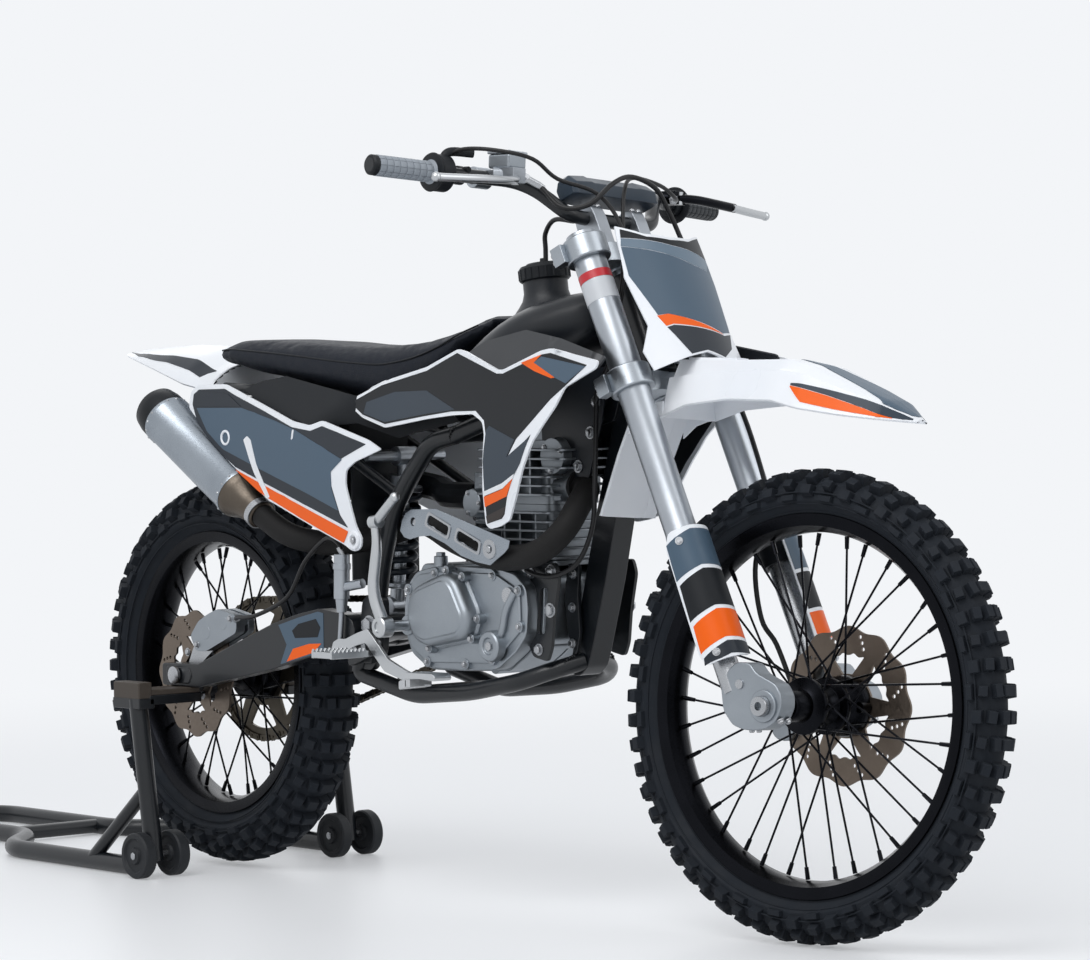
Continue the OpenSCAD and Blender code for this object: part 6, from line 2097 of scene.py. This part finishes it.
def build_pedals():
    """Brake pedal, kick lever, gear lever and footpegs."""
    bm = bmesh.new()
    arm = [(464, 398), (470, 412), (484, 418), (502, 418), (530, 428), (561, 437), (585, 416),
           (614, 390), (660, 374), (706, 362), (706, 349),
           (655, 357), (604, 370), (580, 392), (556, 413), (530, 408), (508, 400), (490, 391), (472, 391)]
    bmesh_plate(bm, round_corners(arm, 3.0, 2), -134, -128)
    bmesh_plate(bm, round_corners([(700, 362), (720, 366), (720, 352), (700, 348)], 3.0, 2), -180, -128)
    bmesh_box(bm, (716, -180, 353), (729, -150, 367))
    bmesh_rod(bm, (515, -128, 408), (515, -126, 408), 8, 20)
    on_chassis(bm, "brake_pedal_arm", *FORGED, ("brake_pedal",), 32, 1.4, 2)
    bm = bmesh.new()
    tip = [(718, 366), (724, 377), (792, 377.6), (799, 372), (797, 366), (760, 368)]
    bmesh_plate(bm, round_corners(tip, 3.0, 2), -185, -151)
    for i in range(6):
        for j in range(3):
            bmesh_rod(bm, (732 + i * 11, -178 + j * 10, 376.6), (732 + i * 11, -178 + j * 10, 377.9),
                      3.2, 4, 1.4)
    on_chassis(bm, "brake_pedal_tip", *FORGED, (), 32, 0.8, 1)
    # kick-start lever: forged hub, bent stem, folding foot piece
    bm = bmesh.new()
    bmesh_rod(bm, (636, -109, 444), (636, -168, 444), 9, 24)
    bmesh_lathe(bm, [(9.2, 0), (15, 0), (17, 2), (17, 22), (15, 24), (9.2, 24)],
                Matrix.Translation((636, -146, 444)) @ ACROSS.inverted(), 36, True)
    stem = rounded([(635, -158, 450), (618, -166, 500), (638, -170, 575), (634, -170, 606)], 40, 8)
    bmesh_pipe(bm, stem, [10.5 - 3.2 * i / (len(stem) - 1) for i in range(len(stem))], 20)
    on_chassis(bm, "kick_stem", *FORGED, ("kick_lever",), 40, 0.0)
    bm = bmesh.new()
    bmesh_rod(bm, (628, -171, 611), (646, -171, 613.4), 11, 24)
    bmesh_rod(bm, (636, -171, 611), (688, -172, 652), 8, 24, 7.4)
    bmesh.ops.create_uvsphere(bm, u_segments=20, v_segments=12, radius=8.2,
                              matrix=Matrix.Translation((688, -172, 652)))
    on_chassis(bm, "kick_foot", *FORGED, (), 40)
    bm = bmesh.new()
    bmesh_rod(bm, (650, 46, 375), (650, 122, 375), 7, 20)
    bmesh_plate(bm, round_corners([(640, 370), (658, 367), (730, 376), (800, 386), (800, 396),
                                   (730, 388), (656, 388), (642, 384)], 4.0, 2), 112, 121.6)
    bmesh_rod(bm, (795, 112, 391), (795, 122, 391), 10, 20)
    on_chassis(bm, "gear_lever_arm", *FORGED, ("gear_lever",), 32, 1.4, 2)
    bm = bmesh.new()
    bmesh_lathe(bm, [(0.01, 0), (8, 0)] + [(7.9 if k % 2 else 6.9,
                                            3 + 2.4 * k) for k in range(12)] + [(7.6, 33), (6, 36),
            (0.01, 36)],
                Matrix.Translation((795, 122, 391)) @ Matrix.Rotation(math.radians(-90), 4, "X"), 28)
    on_chassis(bm, "gear_lever_rubber", *NYLON, (), 32)
    # footpegs: open cleated frames with saw teeth along both long edges
    bm = bmesh.new()
    for x0, x1 in ((520, 525.5), (568.5, 574)):
        edge = [(148, 392), (216, 392), (216, 403)]
        teeth = []
        for k in range(9):
            y = 214 - k * 8.2
            teeth += [(y, 408), (y - 4.1, 402.4)]
        shape = edge + teeth + [(141, 402.4), (141, 392)]
        bmesh_plate(bm, shape, x0, x1, place=lambda u, v, h: (h, u, v))
    for y in (141, 163, 186, 210):
        bmesh_box(bm, (523, y, 392.6), (571, y + 5.5, 403))
    bmesh_box(bm, (526, 120, 391), (558, 144, 401))
    mirrored(bm)
    on_chassis(bm, "footpeg_cleats", *FORGED, ("footpegs",), 32, 0.9, 1)
    bm = bmesh.new()
    bmesh_plate(bm, round_corners([(500, 373), (530, 382), (556, 392), (574, 392), (574, 407),
                                   (548, 408), (520, 408), (497, 388)], 4.0, 2), 111.2, 125.8)
    bmesh_box(bm, (518, 101, 379), (544, 113, 397))
    mirrored(bm)
    on_chassis(bm, "footpeg_brackets", *ENAMEL, (), 32, 1.6, 2)
    bm = bmesh.new()
    bmesh_rod(bm, (542, 126, 390), (542, 126, 413), 5, 16)
    bmesh_rod(bm, (542, 126, 411), (542, 126, 413.6), 8, 6)
    mirrored(bm)
    on_chassis(bm, "footpeg_pins", *ZINC, (), 32)


def paint_packed():
    """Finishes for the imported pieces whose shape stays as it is."""
    for name, material in (("airbox", "black_nylon"),):
        mesh = NODES[name].data
        mesh.materials.clear()
        mesh.materials.append(MATERIALS[material])


# ---- stage ----
BACKDROP = "#f3f5f8"
FLOOR_HALF = 60.0
# the camera's place in the bike's own frame, in metres, and its yaw, pitch and roll in degrees
CAMERA_AT = (5.807, -4.173, 0.848)
CAMERA_TURN = (139.89, -1.52, -0.85)
SENSOR_WIDTH = 36.0
LAMPS_AIM_AT = (0.1, 0.0, 0.5)


def seen_directly(tree):
    """1 for the rays of the camera and of reflections, and 0 for the light that reaches the pieces."""
    path = add(tree, "ShaderNodeLightPath")
    rays = {0: path.outputs["Is Camera Ray"], 1: path.outputs["Is Glossy Ray"]}
    return add(tree, "ShaderNodeMath", rays, operation="MAXIMUM").outputs["Value"]


def build_stage(stage):
    """Pale floor with a backdrop, soft light from above, and the camera."""
    scene = bpy.context.scene
    scene.view_settings.view_transform = "Standard"
    bm = bmesh.new()
    bmesh.ops.create_grid(
        bm, x_segments=1, y_segments=1, size=FLOOR_HALF, matrix=Matrix.Translation((0, 0, CAD_BOX[0][2])))
    mesh = bpy.data.meshes.new("floor")
    bm.to_mesh(mesh)
    bm.free()
    floor = bpy.data.objects.new("floor", mesh)
    scene.collection.objects.link(floor)
    # painted studio floor: pale, smooth, barely reflecting
    material = bpy.data.materials.new("studio_floor_paint")
    material.use_nodes = True
    tree = material.node_tree
    shader = tree.nodes["Principled BSDF"]
    where = add(tree, "ShaderNodeTexCoord").outputs["Object"]
    cloud = add(tree, "ShaderNodeTexNoise", {"Vector": where, "Scale": 1.3, "Detail": 2.0}).outputs["Fac"]
    tint(tree, cloud, stage.floor, stage.floor, shader.inputs["Base Color"])
    vary(tree, cloud, 0.34, 0.4, shader.inputs["Roughness"])
    # far from the motorcycle the floor that is seen runs into the backdrop's colour
    far = add(tree, "ShaderNodeVectorMath", {0: where}, operation="LENGTH").outputs["Value"]
    away = add(tree, "ShaderNodeMapRange", {"Value": far, "From Min": 1.3, "From Max": 4.5,
                                            "To Min": 0.3}, interpolation_type="SMOOTHSTEP")
    share = add(tree, "ShaderNodeMath", {0: away.outputs["Result"], 1: seen_directly(tree)},
                operation="MULTIPLY")
    glow = add(tree, "ShaderNodeEmission", {"Color": linear(BACKDROP), "Strength": 1.0})
    both = add(tree, "ShaderNodeMixShader", {0: share.outputs["Value"], 1: shader.outputs["BSDF"],
                                             2: glow.outputs["Emission"]})
    tree.links.new(both.outputs["Shader"], tree.nodes["Material Output"].inputs["Surface"])
    mesh.materials.append(material)
    world = bpy.data.worlds.new("studio")
    world.use_nodes = True
    scene.world = world
    tree = world.node_tree
    back = tree.nodes["Background"]
    strength = add(tree, "ShaderNodeMapRange", {"Value": seen_directly(tree), "To Min": stage.sky,
                                             "To Max": 1.0})
    tree.links.new(strength.outputs["Result"], back.inputs["Strength"])
    back.inputs["Color"].default_value = linear(BACKDROP)
    for name, at, power, size in (("key", (1.5, -3.2, 4.6), stage.key, 3.5),
                                  ("fill", (4.2, 1.8, 3.4), stage.fill, 3.0),
                                  ("back", (-3.5, 2.6, 3.6), stage.fill * 0.6, 3.0)):
        lamp = bpy.data.lights.new(name, "AREA")
        lamp.energy, lamp.size = power, size
        piece = bpy.data.objects.new(name, lamp)
        scene.collection.objects.link(piece)
        piece.location = at
        piece.rotation_euler = (Vector(LAMPS_AIM_AT) - Vector(at)).to_track_quat("-Z", "Y").to_euler()
    yaw, pitch, roll = map(math.radians, CAMERA_TURN)
    ahead = Vector((math.cos(pitch) * math.cos(yaw), math.cos(pitch) * math.sin(yaw), math.sin(pitch)))
    right = ahead.cross(Vector((0, 0, 1))).normalized()
    above = right.cross(ahead)
    turned = math.cos(roll) * right + math.sin(roll) * above
    risen = math.cos(roll) * above - math.sin(roll) * right
    camera = bpy.data.cameras.new("camera")
    camera.lens, camera.sensor_width, camera.sensor_fit = stage.lens, SENSOR_WIDTH, "HORIZONTAL"
    viewer = bpy.data.objects.new("camera", camera)
    scene.collection.objects.link(viewer)
    place = Matrix((turned, risen, -ahead)).transposed().to_4x4()
    place.translation = MOVE @ Vector(CAMERA_AT)
    viewer.matrix_world = place
    scene.camera = viewer


# ---- settings ----
class BodyworkSettings(bpy.types.PropertyGroup):
    """Colours of the plastics and of their printed film."""

    white: FloatVectorProperty(name="White", description="Colour of the white plastics", size=3,
                               subtype="COLOR",
                               min=0.0, max=1.0, default=linear("#e3e8ef")[:3])
    slate: FloatVectorProperty(name="Slate", description="Colour of the grey printed film", size=3,
                               subtype="COLOR",
                               min=0.0, max=1.0, default=linear("#455869")[:3])
    charcoal: FloatVectorProperty(name="Charcoal", description="Colour of the dark grey printed film",
                                  size=3, subtype="COLOR",
                                  min=0.0, max=1.0, default=linear("#1f252d")[:3])
    orange: FloatVectorProperty(name="Orange", description="Colour of the stripes", size=3,
                                subtype="COLOR",
                                min=0.0, max=1.0, default=linear("#ee5c04")[:3])
    grip: FloatVectorProperty(name="Grips", description="Colour of the grips' rubber", size=3,
                              subtype="COLOR",
                              min=0.0, max=1.0, default=linear("#848b93")[:3])
    film: FloatProperty(name="Film thickness", description="Thickness of the printed film",
                        unit="LENGTH", subtype="DISTANCE",
                        default=0.0005, min=0.0002, max=0.001)


class WheelSettings(bpy.types.PropertyGroup):
    """Sizes of the tread and of the spokes."""

    knob: FloatProperty(name="Knob height", description="Height of the tread blocks", unit="LENGTH",
                        subtype="DISTANCE",
                        default=0.013, min=0.006, max=0.018)
    spoke: FloatProperty(name="Spoke radius", description="Radius of a spoke", unit="LENGTH",
                         subtype="DISTANCE",
                         default=0.00175, min=0.001, max=0.003)
    spokes: IntProperty(name="Spokes", description="Number of spokes in each wheel", default=36, min=28,
                        max=40)


class SeatSettings(bpy.types.PropertyGroup):
    """How the cover stands over the foam."""

    swell: FloatProperty(name="Swell", description="Most that the cover moves out over the foam",
                         unit="LENGTH", subtype="DISTANCE",
                         default=0.005, min=0.0, max=0.016)
    fill: FloatProperty(name="Fill", description="From 0, slack, to 1, tight", subtype="FACTOR",
                        default=0.8, min=0.0, max=1.0)


class EngineSettings(bpy.types.PropertyGroup):
    """Sizes of the fins."""

    fin: FloatProperty(name="Fin thickness", description="Thickness of the cooling fins", unit="LENGTH",
                       subtype="DISTANCE",
                       default=0.0034, min=0.002, max=0.005)


class StageSettings(bpy.types.PropertyGroup):
    """Floor, light and camera."""

    floor: FloatVectorProperty(name="Floor", description="Colour of the floor", size=3, subtype="COLOR",
                               min=0.0, max=1.0,
                               default=linear("#eff1f4")[:3])
    sky: FloatProperty(name="Sky", description="Strength of the even light", default=0.56, min=0.0,
                       max=2.0)
    key: FloatProperty(name="Key light", description="Power of the main soft light, in watts",
                       default=150.0, min=0.0, max=1000.0)
    fill: FloatProperty(name="Fill light", description="Power of the second soft light, in watts",
                        default=45.0, min=0.0, max=1000.0)
    lens: FloatProperty(name="Lens", description="Focal length of the camera, in millimetres",
                        subtype="DISTANCE_CAMERA",
                        default=135.7, min=20.0, max=400.0)


# ---- operators ----
class MOTO_OT_materials(bpy.types.Operator):
    """Make the finishes that all the pieces share."""

    bl_idname = "moto.materials"
    bl_label = "Finishes"
    bl_options = {"REGISTER", "UNDO"}

    def execute(self, context):
        make_materials(context.scene.moto_bodywork)
        return {"FINISHED"}


class MOTO_OT_front_wheel(bpy.types.Operator):
    """Make the front tyre, rim, spokes, hub and brake disc."""

    bl_idname = "moto.front_wheel"
    bl_label = "Front Wheel"
    bl_options = {"REGISTER", "UNDO"}

    def execute(self, context):
        build_front_wheel(context.scene.moto_wheels)
        return {"FINISHED"}


class MOTO_OT_rear_wheel(bpy.types.Operator):
    """Make the rear tyre, rim, spokes, hub, brake disc and sprocket."""

    bl_idname = "moto.rear_wheel"
    bl_label = "Rear Wheel"
    bl_options = {"REGISTER", "UNDO"}

    def execute(self, context):
        build_rear_wheel(context.scene.moto_wheels)
        return {"FINISHED"}


class MOTO_OT_fork(bpy.types.Operator):
    """Make the fork tubes, legs, axle lugs and axle."""

    bl_idname = "moto.fork"
    bl_label = "Fork"
    bl_options = {"REGISTER", "UNDO"}

    def execute(self, context):
        build_fork()
        return {"FINISHED"}


class MOTO_OT_fork_guards(bpy.types.Operator):
    """Make the shields of the lower legs."""

    bl_idname = "moto.fork_guards"
    bl_label = "Fork Guards"
    bl_options = {"REGISTER", "UNDO"}

    def execute(self, context):
        build_fork_guards()
        return {"FINISHED"}


class MOTO_OT_clamps(bpy.types.Operator):
    """Make the upper and lower clamps and the bar clamps."""

    bl_idname = "moto.clamps"
    bl_label = "Fork Clamps"
    bl_options = {"REGISTER", "UNDO"}

    def execute(self, context):
        build_clamps()
        return {"FINISHED"}


class MOTO_OT_handlebar(bpy.types.Operator):
    """Make the handlebar and its pad."""

    bl_idname = "moto.handlebar"
    bl_label = "Handlebar"
    bl_options = {"REGISTER", "UNDO"}

    def execute(self, context):
        build_handlebar()
        return {"FINISHED"}


class MOTO_OT_grips(bpy.types.Operator):
    """Make the moulded grips."""

    bl_idname = "moto.grips"
    bl_label = "Grips"
    bl_options = {"REGISTER", "UNDO"}

    def execute(self, context):
        build_grips()
        return {"FINISHED"}


class MOTO_OT_controls(bpy.types.Operator):
    """Make the brake and clutch levers and the throttle."""

    bl_idname = "moto.controls"
    bl_label = "Controls"
    bl_options = {"REGISTER", "UNDO"}

    def execute(self, context):
        build_controls()
        return {"FINISHED"}


class MOTO_OT_cables(bpy.types.Operator):
    """Make the cables and hoses with their fittings."""

    bl_idname = "moto.cables"
    bl_label = "Cables and Hoses"
    bl_options = {"REGISTER", "UNDO"}

    def execute(self, context):
        build_cables()
        return {"FINISHED"}


class MOTO_OT_front_brake(bpy.types.Operator):
    """Make the front caliper."""

    bl_idname = "moto.front_brake"
    bl_label = "Front Brake"
    bl_options = {"REGISTER", "UNDO"}

    def execute(self, context):
        build_front_caliper()
        return {"FINISHED"}


class MOTO_OT_front_fender(bpy.types.Operator):
    """Make the front fender and its skirt."""

    bl_idname = "moto.front_fender"
    bl_label = "Front Fender"
    bl_options = {"REGISTER", "UNDO"}

    def execute(self, context):
        build_front_fender()
        return {"FINISHED"}


class MOTO_OT_number_plate(bpy.types.Operator):
    """Make the front plate."""

    bl_idname = "moto.number_plate"
    bl_label = "Number Plate"
    bl_options = {"REGISTER", "UNDO"}

    def execute(self, context):
        build_number_plate()
        return {"FINISHED"}


class MOTO_OT_frame(bpy.types.Operator):
    """Make the frame's tubes, plates, welds and bolts."""

    bl_idname = "moto.frame"
    bl_label = "Frame"
    bl_options = {"REGISTER", "UNDO"}

    def execute(self, context):
        build_frame()
        return {"FINISHED"}


class MOTO_OT_subframe(bpy.types.Operator):
    """Make the tubes under the seat."""

    bl_idname = "moto.subframe"
    bl_label = "Subframe"
    bl_options = {"REGISTER", "UNDO"}

    def execute(self, context):
        build_subframe()
        return {"FINISHED"}


class MOTO_OT_stand(bpy.types.Operator):
    """Make the stand with its pads and castors."""

    bl_idname = "moto.stand"
    bl_label = "Paddock Stand"
    bl_options = {"REGISTER", "UNDO"}

    def execute(self, context):
        build_stand()
        return {"FINISHED"}


class MOTO_OT_engine(bpy.types.Operator):
    """Make the crankcase, its covers, the finned barrel and the head."""

    bl_idname = "moto.engine"
    bl_label = "Engine"
    bl_options = {"REGISTER", "UNDO"}

    def execute(self, context):
        build_crankcase()
        build_engine_covers()
        build_cylinder(context.scene.moto_engine)
        return {"FINISHED"}


class MOTO_OT_intake(bpy.types.Operator):
    """Make the carburettor."""

    bl_idname = "moto.intake"
    bl_label = "Intake"
    bl_options = {"REGISTER", "UNDO"}

    def execute(self, context):
        build_intake()
        return {"FINISHED"}


class MOTO_OT_exhaust(bpy.types.Operator):
    """Make the header pipe, heat shield and silencer."""

    bl_idname = "moto.exhaust"
    bl_label = "Exhaust"
    bl_options = {"REGISTER", "UNDO"}

    def execute(self, context):
        build_exhaust()
        return {"FINISHED"}


class MOTO_OT_tank(bpy.types.Operator):
    """Make the tank and its cap."""

    bl_idname = "moto.tank"
    bl_label = "Fuel Tank"
    bl_options = {"REGISTER", "UNDO"}

    def execute(self, context):
        build_tank()
        return {"FINISHED"}


class MOTO_OT_seat(bpy.types.Operator):
    """Make the padded seat."""

    bl_idname = "moto.seat"
    bl_label = "Seat"
    bl_options = {"REGISTER", "UNDO"}

    def execute(self, context):
        build_seat(context.scene.moto_seat)
        return {"FINISHED"}


class MOTO_OT_side_panels(bpy.types.Operator):
    """Make the side panels with their film."""

    bl_idname = "moto.side_panels"
    bl_label = "Side Panels"
    bl_options = {"REGISTER", "UNDO"}

    def execute(self, context):
        build_side_panels()
        return {"FINISHED"}


class MOTO_OT_shrouds(bpy.types.Operator):
    """Make the shrouds with their film."""

    bl_idname = "moto.shrouds"
    bl_label = "Shrouds"
    bl_options = {"REGISTER", "UNDO"}

    def execute(self, context):
        build_shrouds()
        return {"FINISHED"}


class MOTO_OT_rear_fender(bpy.types.Operator):
    """Make the rear fender."""

    bl_idname = "moto.rear_fender"
    bl_label = "Rear Fender"
    bl_options = {"REGISTER", "UNDO"}

    def execute(self, context):
        build_rear_fender()
        return {"FINISHED"}


class MOTO_OT_swingarm(bpy.types.Operator):
    """Make the swingarm, chain guide and rear axle."""

    bl_idname = "moto.swingarm"
    bl_label = "Swingarm"
    bl_options = {"REGISTER", "UNDO"}

    def execute(self, context):
        build_swingarm()
        return {"FINISHED"}


class MOTO_OT_shock(bpy.types.Operator):
    """Make the shock absorber and its spring."""

    bl_idname = "moto.shock"
    bl_label = "Shock Absorber"
    bl_options = {"REGISTER", "UNDO"}

    def execute(self, context):
        build_shock()
        return {"FINISHED"}


class MOTO_OT_chain(bpy.types.Operator):
    """Make the drive chain link by link."""

    bl_idname = "moto.chain"
    bl_label = "Chain"
    bl_options = {"REGISTER", "UNDO"}

    def execute(self, context):
        build_chain()
        return {"FINISHED"}


class MOTO_OT_rear_brake(bpy.types.Operator):
    """Make the rear caliper, its master cylinder and hose."""

    bl_idname = "moto.rear_brake"
    bl_label = "Rear Brake"
    bl_options = {"REGISTER", "UNDO"}

    def execute(self, context):
        build_rear_brake()
        return {"FINISHED"}


class MOTO_OT_pedals(bpy.types.Operator):
    """Make the pedals, levers and footpegs."""

    bl_idname = "moto.pedals"
    bl_label = "Pedals and Pegs"
    bl_options = {"REGISTER", "UNDO"}

    def execute(self, context):
        build_pedals()
        return {"FINISHED"}


class MOTO_OT_packed(bpy.types.Operator):
    """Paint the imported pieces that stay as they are."""

    bl_idname = "moto.packed"
    bl_label = "Packed Pieces"
    bl_options = {"REGISTER", "UNDO"}

    def execute(self, context):
        paint_packed()
        return {"FINISHED"}


class MOTO_OT_stage(bpy.types.Operator):
    """Make the floor, the lights and the camera."""

    bl_idname = "moto.stage"
    bl_label = "Stage"
    bl_options = {"REGISTER", "UNDO"}

    def execute(self, context):
        build_stage(context.scene.moto_stage)
        return {"FINISHED"}


class MOTO_PT_build(bpy.types.Panel):
    """Lists the settings and the pieces of the motorcycle."""

    bl_idname = "MOTO_PT_build"
    bl_label = "Off-road Motorcycle"
    bl_space_type = "VIEW_3D"
    bl_region_type = "UI"
    bl_category = "Motorcycle"

    def draw(self, context):
        layout = self.layout
        for name in SETTINGS:
            group = getattr(context.scene, name)
            for key in group.bl_rna.properties.keys():
                if key not in ("rna_type", "name"):
                    layout.prop(group, key)
        for operator in OPERATORS:
            layout.operator(operator.bl_idname)


SETTINGS = {
    "moto_bodywork": BodyworkSettings,
    "moto_wheels": WheelSettings,
    "moto_seat": SeatSettings,
    "moto_engine": EngineSettings,
    "moto_stage": StageSettings,
}
OPERATORS = (
    MOTO_OT_materials,
    MOTO_OT_front_wheel,
    MOTO_OT_rear_wheel,
    MOTO_OT_fork,
    MOTO_OT_fork_guards,
    MOTO_OT_clamps,
    MOTO_OT_handlebar,
    MOTO_OT_grips,
    MOTO_OT_controls,
    MOTO_OT_cables,
    MOTO_OT_front_brake,
    MOTO_OT_front_fender,
    MOTO_OT_number_plate,
    MOTO_OT_frame,
    MOTO_OT_subframe,
    MOTO_OT_stand,
    MOTO_OT_engine,
    MOTO_OT_intake,
    MOTO_OT_exhaust,
    MOTO_OT_tank,
    MOTO_OT_seat,
    MOTO_OT_side_panels,
    MOTO_OT_shrouds,
    MOTO_OT_rear_fender,
    MOTO_OT_swingarm,
    MOTO_OT_shock,
    MOTO_OT_chain,
    MOTO_OT_rear_brake,
    MOTO_OT_pedals,
    MOTO_OT_packed,
    MOTO_OT_stage,
)


def register():
    for name, group in SETTINGS.items():
        bpy.utils.register_class(group)
        setattr(bpy.types.Scene, name, bpy.props.PointerProperty(type=group))
    for kind in (*OPERATORS, MOTO_PT_build):
        bpy.utils.register_class(kind)


def unregister():
    for kind in reversed((*OPERATORS, MOTO_PT_build)):
        bpy.utils.unregister_class(kind)
    for name, group in reversed(list(SETTINGS.items())):
        delattr(bpy.types.Scene, name)
        bpy.utils.unregister_class(group)


def main():
    register()
    for operator in OPERATORS:
        group, name = operator.bl_idname.split(".")
        getattr(getattr(bpy.ops, group), name)()


if __name__ == "__main__":
    main()
